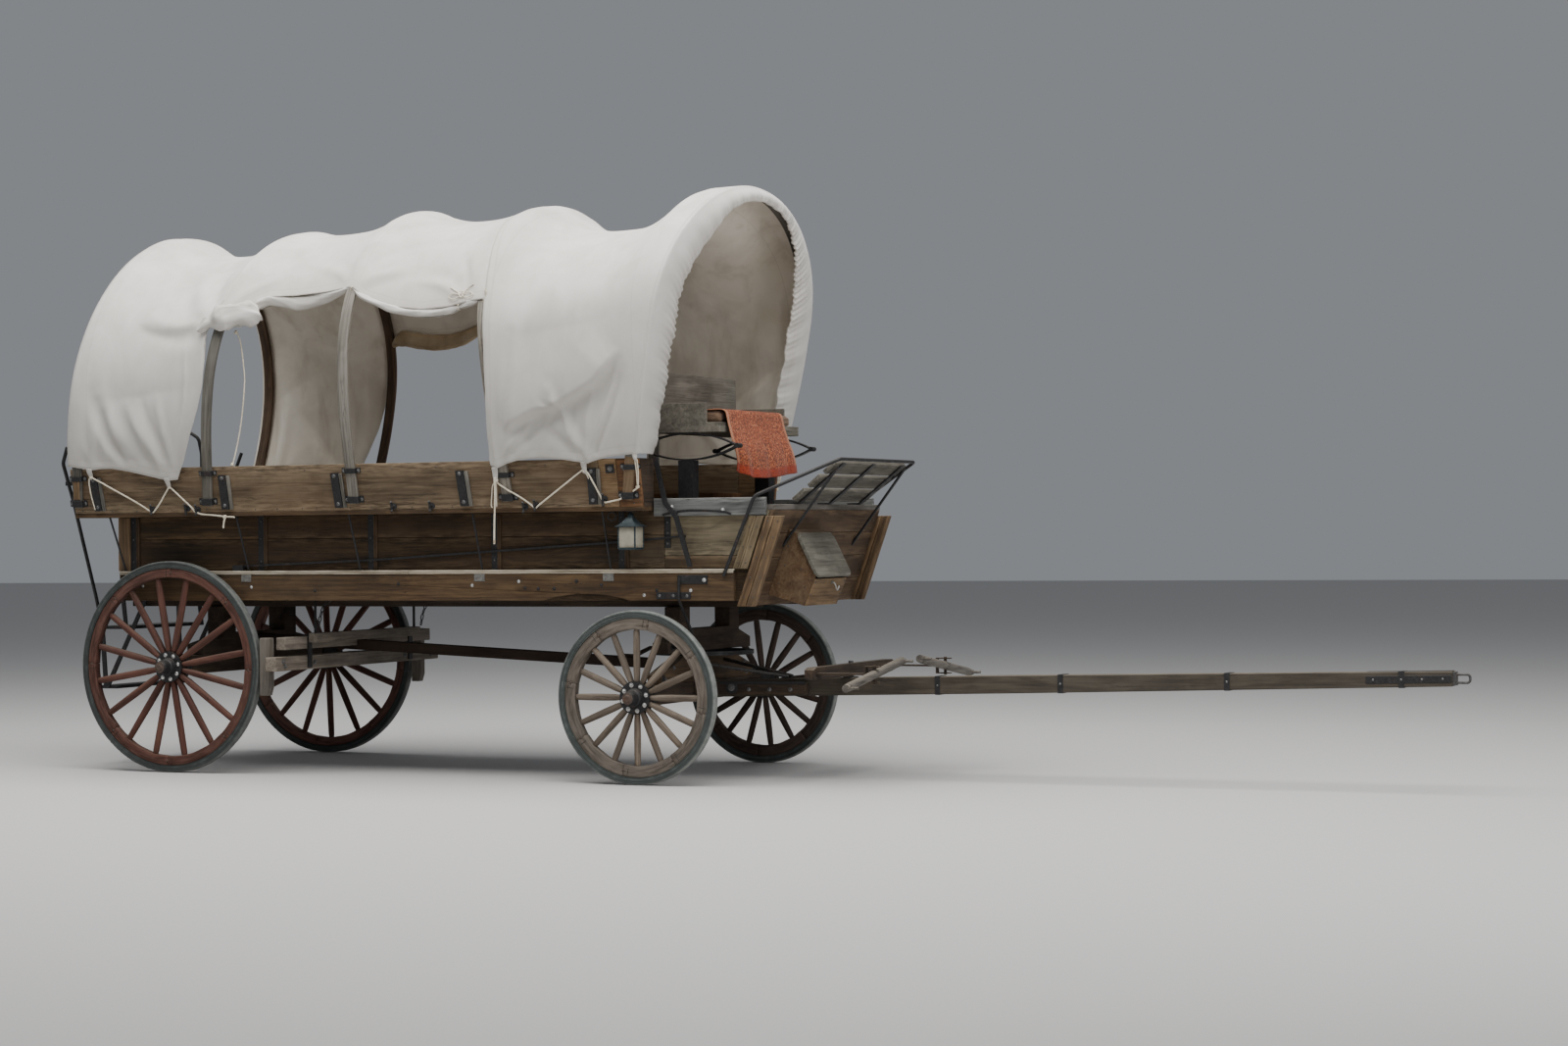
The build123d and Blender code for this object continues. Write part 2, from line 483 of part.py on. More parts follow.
# ---------------------------------------------------------------- brake
lever = prism_y([(3432, 1218), (3458, 1222), (3374, 1503), (3306, 1586), (3246, 1838), (3220, 1832), (3280, 1574), (3347, 1496)], -816, -804)
keep("brake_lever", lever + cyl_y(3352, 1525, 13, -816, -793) + cyl_y(3393, 1392, 10, -810, -771))
ROD = [(3393, 1392), (3050, 1366), (1400, 1270), (440, 1236)]
keep("brake_rod", prism_y([(x, z - 6) for x, z in ROD] + [(x, z + 6) for x, z in ROD[::-1]], -783, -771))
keep("brake_crank", box(400, 470, -800, -771, Z_LEDGE, 1242))
keep("brake_beam", box(715, 790, -935, 935, 615, 698))
keep("brake_beam_upper", box(725, 790, -835, 835, 738, 812) - box(700, 800, -36, 36, 700, 778))
keep("brake_shoes", group([prism_y([(648, 470), (700, 470), (715, 520), (715, 812), (648, 812)], s * 839, s * 895)
                           - cyl_y(0, R_REAR, R_REAR + 8, -2000, 2000) for s in (-1, 1)]))
keep("brake_crossbars", box(800, 860, -600, 600, 776, 832))
keep("brake_hangers", group([rod((830, s * 570, 832), (830, s * 570, Z_FLOOR0), 8) for s in (-1, 1)]
                            + [box(790, 800, s * 560, s * 600, 625, 830) for s in (-1, 1)]))

# ---------------------------------------------------------------- rear steps
# two iron treads hung under the bed's rear edge, braced forward, with a hand rail
# on each side up to the tail boards' outer corner
STEP_Y = 400.0
steps = [box(-852, -652, -STEP_Y, STEP_Y, 842, 862), box(-872, -742, -STEP_Y, STEP_Y, 470, 490)]
for s in (-1, 1):
    for pts in ([(-700, 1030), (-672, 1030), (-652, 842), (-676, 842)],            # hanger
                [(-862, 862), (-832, 862), (-806, 470), (-836, 470)],              # rear strap
                [(-530, 1030), (-502, 1030), (-800, 470), (-834, 470)]):           # brace
        steps.append(prism_y(pts, s * STEP_Y, s * (STEP_Y + 10)))
    steps.append(tube_path([(-846, s * 405, 846), (-868, s * 430, 1024), (-791, s * 750, 1618), (-740, s * 925, 1870), (-702, s * 932, 1968)],
                           [160, 300, 60], 11))
    steps.append(box(-782, X_OVER, s * 822, s * 848, 1735, 1760))
lad = steps[0].fuse(*steps[1:])
keep("rear_steps", lad)
keep("door_grips", group([tube_path([(-650, s * 400, FLARE_Z1), (-650, s * 400, 1950), (-672, s * 400, 2052), (-732, s * 400, 2087), (-800, s * 400, 2092)],
                                    [90, 60, 60], 11) for s in (-1, 1)]))

# ---------------------------------------------------------------- bows and canvas
BOW_W, BOW_T = 65.0, 22.0
TH = math.atan2(FLARE_Y1 - FLARE_Y0, FLARE_Z1 - Z_SHELF1)
Z_LINE1 = 1950.0
# columns: name, x at the board's top, forward lean, top height of the wood, height where the side is upright
BOWS = [
    ("rear", -600.0, 0.125, 3288.0, 2210.0),
    ("second", 340.0, 0.12, 3284.0, 2310.0),
    ("third", 1333.0, 0.0, 3374.0, 2400.0),
    ("fourth", 2338.0, -0.09, 3352.0, 2500.0),
    ("front", 3160.0, 0.185, 3404.0, 2640.0),
]


def half_profile(z_up, z_top, off, z_foot):
    """(y, z) points from the foot to the crown: straight with the flare, an arc to upright, a quarter ellipse."""
    pts = [(flare_y(z_foot) + off, z_foot), (flare_y(Z_LINE1) + off, Z_LINE1)]
    r = (z_up - Z_LINE1) / math.sin(TH)
    a = flare_y(Z_LINE1) + r * (1 - math.cos(TH))
    for i in (1, 2, 3):
        th = TH * (1 - i / 3.0)
        pts.append((a - r * (1 - math.cos(th)) + off, z_up - r * math.sin(th)))
    b = z_top - BOW_T + off - z_up
    n = 9
    for i in range(1, n + 1):
        g = math.pi / 2 * i / n
        pts.append(((a + off) * math.cos(g), z_up + b * math.sin(g)))
    return pts


def loop_pts(z_up, z_top, off0, off1, z_foot, x_of):
    o = half_profile(z_up, z_top, off1, z_foot)
    i = half_profile(z_up, z_top, off0, z_foot)
    ring = [(-y, z) for y, z in o] + [(y, z) for y, z in o[-2::-1]] + [(y, z) for y, z in i] + [(-y, z) for y, z in i[-2::-1]]
    return [(x_of(z), y, z) for y, z in ring]


def bow(x0, k, z_top, z_up):
    x_of = lambda z: x0 + k * (z - FLARE_Z1) - BOW_W / 2
    f = Face(Wire.make_polygon(loop_pts(z_up, z_top, 0.0, BOW_T, 1600.0, x_of)))
    return Solid.extrude(f, Vector(BOW_W, 0, 0))


for name, x0, k, z_top, z_up in BOWS:
    keep(f"bow_{name}", bow(x0, k, z_top, z_up))

# canvas: outline at each bow's two edges and once between bows, where it sags
CAN_IN, CAN_OUT, HEM = BOW_T + 0.6, BOW_T + 6.6, 1788.0
SAG = [(3157.0, 8), (3270.0, 8), (3300.0, 8), (3190.0, 12)]    # crown height, how far the side falls in
sections = []
for i, (name, x0, k, z_top, z_up) in enumerate(BOWS):
    lo, hi = (-58 if i == 0 else -36), (58 if i == 4 else 36)
    for dx in (lo, hi):
        sections.append((z_up, z_top, 0.0, lambda z, x0=x0, k=k, dx=dx: x0 + k * (z - FLARE_Z1) + dx))
    if i < 4:
        n2, x2, k2, z_top2, z_up2 = BOWS[i + 1]
        crown, fall = SAG[i]
        sections.append(((z_up + z_up2) / 2, crown - CAN_OUT + BOW_T, -float(fall),
                         lambda z, xa=x0, xb=x2, ka=k, kb=k2: (xa + xb) / 2 + (ka + kb) / 2 * (z - FLARE_Z1)))
wires = [loop_pts(zu, zt_, CAN_IN + sg, CAN_OUT + sg, HEM, fx) for zu, zt_, sg, fx in sections]


def quad(a, b, c, d):
    return [Face(Wire.make_polygon([a, b, c])), Face(Wire.make_polygon([a, c, d]))]


faces = []
m = len(wires[0])
for w0, w1 in zip(wires, wires[1:]):
    for j in range(m):
        a, b, c, d = w0[j], w0[(j + 1) % m], w1[(j + 1) % m], w1[j]
        faces += quad(a, b, c, d)
for w in (wires[0], wires[-1]):
    faces.append(Face(Wire.make_polygon(w)))
canvas = Solid(Shell(faces))
# gathered lip: in front of the last bow the cloth is drawn in towards a narrower opening
LIP_Z0 = 1850.0
LIP_IN = [(780, LIP_Z0), (780, 2200), (785, 2500), (770, 2800), (720, 2920), (655, 3000), (580, 3100), (470, 3200), (300, 3285), (150, 3320), (0, 3332)]
bn, bx, bk, bt, bu = BOWS[4]
lip_out = [(flare_y(LIP_Z0) + CAN_OUT, LIP_Z0)] + [q for q in half_profile(bu, bt, CAN_OUT, HEM) if q[1] > LIP_Z0 + 20]
ring = [(-y, z) for y, z in lip_out] + [(y, z) for y, z in lip_out[-2::-1]] + [(y, z) for y, z in LIP_IN] + [(-y, z) for y, z in LIP_IN[-2::-1]]
lip_face = Face(Wire.make_polygon([(bx + bk * (z - FLARE_Z1) + 51, y, z) for y, z in ring]))
canvas = canvas.fuse(Solid.extrude(lip_face, Vector(6, 0, 0)))
# side openings: the flap between the second bow and the front panel is rolled up
OPEN = [(86, 1700), (445, 2690), (1290, 2820), (2250, 2725), (2250, 1700)]
canvas = canvas - prism_y(OPEN, -1300, -500) - prism_y(OPEN, 500, 1300)
# tie at the front panel's rear lower corner, which the free rope tail hangs from
TIE_X, TIE_Z = 2306.0, 1736.0
canvas = canvas.fuse(box(TIE_X - 16, TIE_X + 16, -998, -978, TIE_Z, 1800))
canvas = canvas.solids()[0]
keep("canvas_cover", canvas)

# free rope tail: it hangs plumb from the tie, with the slight set of a used rope
ROPE_D = 11.0
TAIL = [(2306, -988, 1736), (2306, -988, 1670), (2303.5, -986, 1592), (2299, -984, 1513), (2297, -984.5, 1435), (2297.5, -987, 1357)]


def route_radii(pts):
    """0.45 of the shorter run over the tangent of half the turn, at each inner point."""
    out = []
    for a, b, c in zip(pts, pts[1:], pts[2:]):
        u, v = Vector(*b) - Vector(*a), Vector(*c) - Vector(*b)
        out.append(0.45 * min(u.length, v.length) / math.tan(math.radians(u.get_angle(v)) / 2))
    return out


tail_radii = route_radii(TAIL)
rope_tail = tube_path(TAIL, tail_radii, ROPE_D / 2)
runs = sum((Vector(*b) - Vector(*a)).length for a, b in zip(TAIL, TAIL[1:]))
print("rope tail: runs", round(runs, 1), "radii", [round(r) for r in tail_radii],
      "volume over section times length", round(rope_tail.volume / (math.pi * ROPE_D ** 2 / 4 * runs), 4))
keep("rope_tail", rope_tail)


def roll(s):
    top = [(436, 2672), (1290, 2800), (2214, 2708)]
    pts = top + [(x, z - 80) for x, z in top[::-1]]
    out = prism_y(pts, s * 1004, s * 1062)
    return out


both("rolled_flap", roll)

# ---------------------------------------------------------------- nodes
def sides(*names):
    return [f"{n}_{d}" for n in names for d in ("right", "left")]


# node: (pieces, joined into one solid or kept as separate solids that don't touch)
FUSE, APART = True, False
NODES = {
    "rear_axle": (["rear_axle"], FUSE),
    "rear_bolster": (["rear_bolster"], FUSE),
    "front_axle": (["front_axle"], FUSE),
    "front_bolster": (["front_bolster"], FUSE),
    "turning_ring_lower": (["turning_ring_lower"], FUSE),
    "turning_ring_upper": (["turning_ring_upper", "kingpin"], APART),
    "upper_bolster": (["upper_bolster"], FUSE),
    "reach_pole": (["reach_pole", "reach_iron"], FUSE),
    "hounds": (["hounds"], APART),
    "tongue": (["tongue"], FUSE),
    "tongue_irons": (["tongue_end_loop", "tongue_stays", "doubletree_post"], APART),
    "doubletree": (["doubletree", "doubletree_links", "singletree_clevis_right", "singletree_clevis_left"], FUSE),
    "singletree_right": (["singletree_right", "trace_hooks_right"], FUSE),
    "singletree_left": (["singletree_left", "trace_hooks_left"], FUSE),
    "bed_floor": (["bed_floor", "bed_bearers", "rear_platform"], FUSE),
    "lower_sides": (sides("lower_side"), APART),
    "step_rails": (sides("step_rail"), APART),
    "side_shelves": (sides("side_shelf") + ["rear_shelf"], FUSE),
    "flare_boards": (sides("flare_board"), APART),
    "side_irons": (sides("flare_cleats", "wall_straps", "flare_stays"), APART),
    "tail_boards": (["tail_boards_upper", "tail_boards_lower", "doorway_cheeks"], FUSE),
    "rear_door": (["rear_door", "door_hinge_straps"], FUSE),
    "door_hinge_pins": (["door_hinge_pins"], APART),
    "front_bulkhead": (["front_bulkhead", "flare_end_boards"], APART),
    "driver_floor": (["driver_floor"], FUSE),
    "front_board": (["front_board"], FUSE),
    "front_side_boards": (sides("front_rail", "front_post", "front_cleat"), APART),
    "benches": (sides("bench_seat", "bench_riser"), FUSE),
    "driver_seat": (["driver_seat"], FUSE),
    "seat_springs": (["seat_springs", "seat_risers"], FUSE),
    "seat_cushion": (["seat_cushion"], FUSE),
    "seat_rug": (["seat_rug"], FUSE),
    "footboard": (["footboard"], APART),
    "footboard_irons": (["footboard_irons", "footboard_stays", "foot_rail"], APART),
    "tool_box": (["tool_box"], FUSE),
    "tool_box_lid": (["tool_box_lid"], FUSE),
    "lantern": (["lantern"], FUSE),
    "lantern_panes": (["lantern_panes"], FUSE),
    "brake_linkage": (["brake_lever", "brake_rod", "brake_crank"], FUSE),
    "brake_hangers": (["brake_hangers"], APART),
    "brake_beam": (["brake_beam", "brake_beam_upper", "brake_crossbars"], APART),
    "brake_shoes": (["brake_shoes"], APART),
    "rear_ladder": (["rear_steps", "door_grips"], APART),
    "canopy_bows": ([f"bow_{b[0]}" for b in BOWS], APART),
    "canvas_cover": (["canvas_cover"], FUSE),
    "rolled_flaps": (sides("rolled_flap"), APART),
    "rope_tail": (["rope_tail"], FUSE),
}
for end in ("rear", "front"):
    for side in ("right", "left"):
        NODES[f"{end}_tyre_{side}"] = ([f"{end}_tyre_{side}"], FUSE)
        NODES[f"{end}_hub_{side}"] = ([f"{end}_hub_{side}"], FUSE)
        NODES[f"{end}_felloe_and_spokes_{side}"] = ([f"{end}_felloe_{side}", f"{end}_spokes_{side}"], FUSE)

# ---------------------------------------------------------------- write
left = set(PARTS)
lo, hi, ymax = 1e9, -1e9, 0
for node, (pieces, fuse) in NODES.items():
    left -= set(pieces)
    solids = [x for n in pieces for x in PARTS[n].solids()]
    if fuse and len(solids) > 1:
        shape = solids[0].fuse(*solids[1:])
        solids = shape.solids()
    solids = [Pos(OX, 0, 0) * x for x in solids]
    shape = solids[0] if len(solids) == 1 else Compound(solids)
    b = shape.bounding_box()
    lo, hi, ymax = min(lo, b.min.X), max(hi, b.max.X), max(ymax, b.max.Y, -b.min.Y)
    export_step(shape, f"parts/{node}.step")
print("nodes", len(NODES), "unused", sorted(left), "x", round(lo, 1), round(hi, 1), "centre", round((lo + hi) / 2, 2), "y", round(ymax, 1))
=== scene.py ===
import bpy, bmesh, math, random
import numpy as np
from mathutils import Vector, Matrix


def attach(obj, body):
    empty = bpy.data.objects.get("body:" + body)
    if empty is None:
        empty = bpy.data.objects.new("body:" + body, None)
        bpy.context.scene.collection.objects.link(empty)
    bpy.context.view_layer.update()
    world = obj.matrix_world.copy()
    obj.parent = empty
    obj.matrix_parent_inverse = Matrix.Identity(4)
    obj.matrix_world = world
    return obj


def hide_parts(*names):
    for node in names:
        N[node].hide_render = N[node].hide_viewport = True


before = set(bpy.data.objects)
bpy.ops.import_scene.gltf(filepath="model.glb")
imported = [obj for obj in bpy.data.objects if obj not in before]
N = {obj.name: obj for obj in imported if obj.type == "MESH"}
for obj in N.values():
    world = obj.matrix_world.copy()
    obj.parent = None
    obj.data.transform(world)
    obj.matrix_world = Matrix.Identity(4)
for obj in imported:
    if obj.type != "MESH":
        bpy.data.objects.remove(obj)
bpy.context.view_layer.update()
random.seed(7)
RNG = np.random.default_rng(7)

# ------------------------------------------------------------------ frame
# Lengths along x are written from the rear axle, as the object is measured,
# and OX moves them into the row frame.
OX = -3.36702


def P(x, y, z):
    return (x + OX, y, z)


# ------------------------------------------------------------------ mesh pieces
class Acc:
    """Collects parts of one piece: points, faces, grain coordinates, board number and edge wear."""

    def __init__(self):
        self.v, self.f, self.g, self.b, self.m, self.s, self.e = [], [], [], [], [], [], []
        self.n = 0

    def add(self, v, f, g=None, bid=0.0, mat=0, smooth=True, edge=None):
        v = np.asarray(v, float)
        if g is None:
            g = v
        self.v.append(v)
        self.g.append(np.asarray(g, float))
        self.b.append(np.full(len(v), bid) if np.isscalar(bid) else np.asarray(bid, float))
        self.e.append(np.zeros(len(v)) if edge is None else np.asarray(edge, float))
        for q in f:
            self.f.append(tuple(int(i) + self.n for i in q))
        self.m += [mat] * len(f)
        self.s += [smooth] * len(f)
        self.n += len(v)

    def obj(self, name, mats, body, sharp=None):
        v = np.concatenate(self.v)
        me = bpy.data.meshes.new(name)
        me.from_pydata([tuple(p) for p in v], [], self.f)
        for m in (mats if isinstance(mats, (list, tuple)) else [mats]):
            me.materials.append(m)
        me.polygons.foreach_set("material_index", self.m)
        me.polygons.foreach_set("use_smooth", self.s)
        a = me.attributes.new("gv", "FLOAT_VECTOR", "POINT")
        a.data.foreach_set("vector", np.concatenate(self.g).astype(np.float32).ravel())
        a = me.attributes.new("bid", "FLOAT", "POINT")
        a.data.foreach_set("value", np.concatenate(self.b).astype(np.float32))
        a = me.attributes.new("wear", "FLOAT", "POINT")
        a.data.foreach_set("value", np.concatenate(self.e).astype(np.float32))
        me.update()
        if sharp:
            me.set_sharp_from_angle(angle=math.radians(sharp))
        o = bpy.data.objects.new(name, me)
        bpy.context.scene.collection.objects.link(o)
        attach(o, body)
        return o


def smooth_noise(t, seed, amp=1.0):
    """Gentle one-dimensional noise from three sines, the same each run."""
    r = np.random.default_rng(int(seed * 1000) % 100003)
    a = r.uniform(0, 6.28, 4)
    k = r.uniform(.7, 1.4, 4)
    t = np.asarray(t, float)
    return amp * (.5 * np.sin(2.1 * k[0] * t + a[0]) + .3 * np.sin(5.3 * k[1] * t + a[1]) + .2 * np.sin(13 * k[2] * t + a[2]))


def board(acc, c8, r=.004, seg=.10, rough=.0012, mat=0, bid=None, warp=.0):
    """A sawn board between eight corners, c8[along][across][thick], with worn round edges."""
    c8 = np.array(c8, float).reshape(2, 2, 2, 3)
    if bid is None:
        bid = RNG.uniform(0, 1)
    e = [c8[1].mean((0, 1)) - c8[0].mean((0, 1)), c8[:, 1].mean((0, 1)) - c8[:, 0].mean((0, 1)),
         c8[:, :, 1].mean((0, 1)) - c8[:, :, 0].mean((0, 1))]
    L, W, T = (np.linalg.norm(x) for x in e)
    r = min(r, .45 * W, .45 * T)
    n = max(2, int(L / seg) + 1)
    st = [0.0, .35 * r / L, r / L] + [i / n for i in range(1, n)] + [1 - r / L, 1 - .35 * r / L, 1.0]
    ins = [r, .35 * r, 0] + [0] * (n - 1) + [0, .35 * r, r]
    loop = []
    for cx, cy, a0 in ((0, 0, 180), (1, 0, 270), (1, 1, 0), (0, 1, 90)):
        for k in range(4):
            loop.append((cx, cy, math.radians(a0 + 30 * k)))
        loop.append(None)
    v, g, wear = [], [], []
    nl = 0
    for i, (a, q) in enumerate(zip(st, ins)):
        row = []
        prev = None
        rr = [max(.3 * r, r + rough * float(smooth_noise(a * L * 9, bid * 31 + j + 3))) for j in range(4)]
        pts = []
        ci = -1
        for w in loop:
            if w is None:
                pts.append(None)
                continue
            cx, cy, an = w
            if an == math.radians({(0, 0): 180, (1, 0): 270, (1, 1): 0, (0, 1): 90}[(cx, cy)]):
                ci += 1
            rad = rr[ci]
            px = rad + rad * math.cos(an) if cx == 0 else W - rad + rad * math.cos(an)
            py = rad + rad * math.sin(an) if cy == 0 else T - rad + rad * math.sin(an)
            pts.append((px, py))
        full = []
        m = len(pts)
        for j, p in enumerate(pts):
            if p is None:
                p0, p1 = pts[j - 1], pts[(j + 1) % m]
                full.append(((p0[0] + p1[0]) / 2, (p0[1] + p1[1]) / 2, 0.0))
            else:
                full.append((p[0], p[1], 1.0))
        nl = len(full)
        wb = warp * float(smooth_noise(a * L * 1.3, bid * 17 + 1))
        for px, py, w in full:
            px = min(max(px, q), W - q)
            py = min(max(py, q), T - q)
            b_, c_ = px / W, py / T
            p = ((1 - a) * ((1 - b_) * ((1 - c_) * c8[0, 0, 0] + c_ * c8[0, 0, 1]) + b_ * ((1 - c_) * c8[0, 1, 0] + c_ * c8[0, 1, 1]))
                 + a * ((1 - b_) * ((1 - c_) * c8[1, 0, 0] + c_ * c8[1, 0, 1]) + b_ * ((1 - c_) * c8[1, 1, 0] + c_ * c8[1, 1, 1])))
            if warp:
                p = p + e[2] / T * wb
            v.append(p)
            g.append((a * L, px, py))
            wear.append(max(w, 1.0 if q > 0 else 0.0))
    f = []
    for i in range(len(st) - 1):
        for j in range(nl):
            k = (j + 1) % nl
            f.append((i * nl + j, i * nl + k, (i + 1) * nl + k, (i + 1) * nl + j))
    f.append(tuple(range(nl - 1, -1, -1)))
    last = (len(st) - 1) * nl
    f.append(tuple(range(last, last + nl)))
    det = np.dot(np.cross(e[0], e[1]), e[2])
    if det < 0:
        f = [q[::-1] for q in f]
    acc.add(v, f, g, bid, mat, True, wear)


def corners(x0, x1, y0, y1, z0, z1, along="x", across="z"):
    """Eight corners of a block in board order, with its grain along one axis."""
    lo = {"x": x0 + OX, "y": y0, "z": z0}
    hi = {"x": x1 + OX, "y": y1, "z": z1}
    thick = ({"x", "y", "z"} - {along, across}).pop()
    out = np.zeros((2, 2, 2, 3))
    for i in range(2):
        for j in range(2):
            for k in range(2):
                p = {along: (lo, hi)[i][along], across: (lo, hi)[j][across], thick: (lo, hi)[k][thick]}
                out[i, j, k] = (p["x"], p["y"], p["z"])
    return out


def ring_faces(n_rings, n, close=False, caps=True):
    f = []
    last = n_rings if close else n_rings - 1
    for i in range(last):
        a, b = i * n, ((i + 1) % n_rings) * n
        for j in range(n):
            k = (j + 1) % n
            f.append((a + j, a + k, b + k, b + j))
    if caps and not close:
        f.append(tuple(range(n - 1, -1, -1)))
        f.append(tuple(range((n_rings - 1) * n, n_rings * n)))
    return f


def frames(pts, up=None):
    """Tangent, side and normal along a line, without twist."""
    pts = np.asarray(pts, float)
    t = np.gradient(pts, axis=0)
    t /= np.linalg.norm(t, axis=1)[:, None]
    s = np.zeros_like(t)
    ref = np.array(up if up is not None else ((0, 0, 1) if abs(t[0][2]) < .9 else (1, 0, 0)), float)
    a = np.cross(t[0], ref)
    a /= np.linalg.norm(a)
    for i in range(len(pts)):
        if up is not None:
            b = np.cross(t[i], np.array(up, float))
            if np.linalg.norm(b) > 1e-6:
                a = b
        else:
            a = a - t[i] * np.dot(a, t[i])
        a = a / np.linalg.norm(a)
        s[i] = a
    return t, s, np.cross(s, t)


def resample(pts, step):
    pts = np.asarray(pts, float)
    d = np.r_[0, np.cumsum(np.linalg.norm(np.diff(pts, axis=0), axis=1))]
    n = max(2, int(d[-1] / step) + 1)
    q = np.linspace(0, d[-1], n)
    return np.stack([np.interp(q, d, pts[:, k]) for k in range(3)], 1)


def curve_line(ctrl, step):
    """Even points on a smooth line through the control points."""
    c = np.asarray(ctrl, float)
    if len(c) < 3:
        return resample(c, step)
    ext = np.vstack([2 * c[0] - c[1], c, 2 * c[-1] - c[-2]])
    out = []
    for i in range(1, len(ext) - 2):
        for t in np.linspace(0, 1, 12, endpoint=False):
            p0, p1, p2, p3 = ext[i - 1:i + 3]
            out.append(.5 * (2 * p1 + (p2 - p0) * t + (2 * p0 - 5 * p1 + 4 * p2 - p3) * t ** 2 + (3 * p1 - p0 - 3 * p2 + p3) * t ** 3))
    out.append(c[-1])
    return resample(out, step)


def tube(acc, pts, r, n=8, mat=0, close=False, up=None, bid=None, taper=None):
    pts = np.asarray(pts, float)
    t, s, u = frames(pts, up)
    rr = np.full(len(pts), r) if np.isscalar(r) else np.asarray(r, float)
    an = np.linspace(0, 2 * math.pi, n, endpoint=False)
    v = (pts[:, None, :] + rr[:, None, None] * (np.cos(an)[None, :, None] * s[:, None, :] + np.sin(an)[None, :, None] * u[:, None, :])).reshape(-1, 3)
    d = np.r_[0, np.cumsum(np.linalg.norm(np.diff(pts, axis=0), axis=1))]
    g = np.stack([np.repeat(d, n), np.tile(an * r if np.isscalar(r) else an * rr.mean(), len(pts)), np.zeros(len(pts) * n)], 1)
    acc.add(v, [q[::-1] for q in ring_faces(len(pts), n, close)], g, RNG.uniform() if bid is None else bid, mat)


def rope(acc, ctrl, d, mat=0, step=.0045, straight=False, pitch=3.6, n=12, taper_end=True):
    """A three-strand laid rope along a line."""
    pts = resample(ctrl, step) if straight else curve_line(ctrl, step)
    t, s, u = frames(pts)
    L = np.r_[0, np.cumsum(np.linalg.norm(np.diff(pts, axis=0), axis=1))]
    an = np.linspace(0, 2 * math.pi, n, endpoint=False)
    tw = L / (pitch * d) * 2 * math.pi
    rad = d / 2 * (.90 + .10 * np.cos(3 * (an[None, :] - tw[:, None])) - .05 * np.cos(6 * (an[None, :] - tw[:, None])))
    if taper_end:
        k = np.clip(np.minimum(L, L[-1] - L) / (.5 * d), 0, 1)
        rad = rad * (np.sqrt(1 - (1 - k) ** 2) * .85 + .15)[:, None]
    v = (pts[:, None, :] + rad[..., None] * (np.cos(an)[None, :, None] * s[:, None, :] + np.sin(an)[None, :, None] * u[:, None, :])).reshape(-1, 3)
    ph = (an[None, :] - tw[:, None])
    g = np.stack([np.repeat(L, n), ((3 * ph / (2 * math.pi)) % 1).ravel(), np.zeros(len(v))], 1)
    acc.add(v, [q[::-1] for q in ring_faces(len(pts), n)], g, RNG.uniform(), mat)
    return L[-1]


def basis(nrm):
    nrm = np.asarray(nrm, float)
    nrm = nrm / np.linalg.norm(nrm)
    a = np.cross(nrm, (0, 0, 1)) if abs(nrm[2]) < .9 else np.cross(nrm, (1, 0, 0))
    a /= np.linalg.norm(a)
    return nrm, a, np.cross(nrm, a)


def lathe(acc, centre, axis, prof, n=16, mat=0, turn=0.0, bid=None):
    """Profile of (radius, height) pairs turned about an axis."""
    ax, a, b = basis(axis)
    c = np.asarray(centre, float)
    an = np.linspace(0, 2 * math.pi, n, endpoint=False) + turn
    v = np.array([c + ax * h + r * (math.cos(t) * a + math.sin(t) * b) for r, h in prof for t in an])
    g = np.array([(h, t * .05, r) for r, h in prof for t in an])
    acc.add(v, ring_faces(len(prof), n), g, RNG.uniform() if bid is None else bid, mat)


def bolt(acc, c, nrm, r=.011, kind="dome", mat=0, washer=True):
    if kind == "dome":
        if washer:
            lathe(acc, c, nrm, [(r * 1.5, -.001), (r * 1.5, .0015), (r * 1.2, .0022)], 12, mat)
        lathe(acc, c, nrm, [(r, 0), (r * .98, r * .22), (r * .78, r * .52), (r * .42, r * .70), (r * .08, r * .76)], 12, mat)
    elif kind == "hex":
        lathe(acc, c, nrm, [(r * 1.5, -.001), (r * 1.5, .0018), (r * 1.3, .0024)], 14, mat)
        lathe(acc, c, nrm, [(r, 0), (r, r * .75), (r * .85, r * .9), (r * .08, r * .92)], 6, mat, turn=RNG.uniform(0, 1))
        lathe(acc, c, nrm, [(r * .5, r * .5), (r * .5, r * 1.35), (r * .35, r * 1.5), (r * .05, r * 1.5)], 8, mat)
    else:
        lathe(acc, c, nrm, [(r, -.0005), (r * .95, r * .25), (r * .5, r * .42), (r * .06, r * .45)], 8, mat)


def strip(acc, pts, side, w, t, mat=0, r=.0012, bid=None):
    """A flat bar along a line. side: the direction of its width at every point."""
    pts = np.asarray(pts, float)
    side = np.asarray(side, float)
    if side.ndim == 1:
        side = np.tile(side, (len(pts), 1))
    tg = np.gradient(pts, axis=0)
    tg /= np.linalg.norm(tg, axis=1)[:, None]
    side = side - tg * (side * tg).sum(1)[:, None]
    side /= np.linalg.norm(side, axis=1)[:, None]
    nr = np.cross(side, tg)
    prof = [(-w / 2 + r, -t / 2), (w / 2 - r, -t / 2), (w / 2, -t / 2 + r), (w / 2, t / 2 - r), (w / 2 - r, t / 2), (-w / 2 + r, t / 2), (-w / 2, t / 2 - r), (-w / 2, -t / 2 + r)]
    v = np.array([p + a * s + b * q for p, s, q in zip(pts, side, nr) for a, b in prof])
    d = np.r_[0, np.cumsum(np.linalg.norm(np.diff(pts, axis=0), axis=1))]
    g = np.array([(d[i], a, b) for i in range(len(pts)) for a, b in prof])
    f = ring_faces(len(pts), 8)
    acc.add(v, f, g, RNG.uniform() if bid is None else bid, mat, smooth=False)


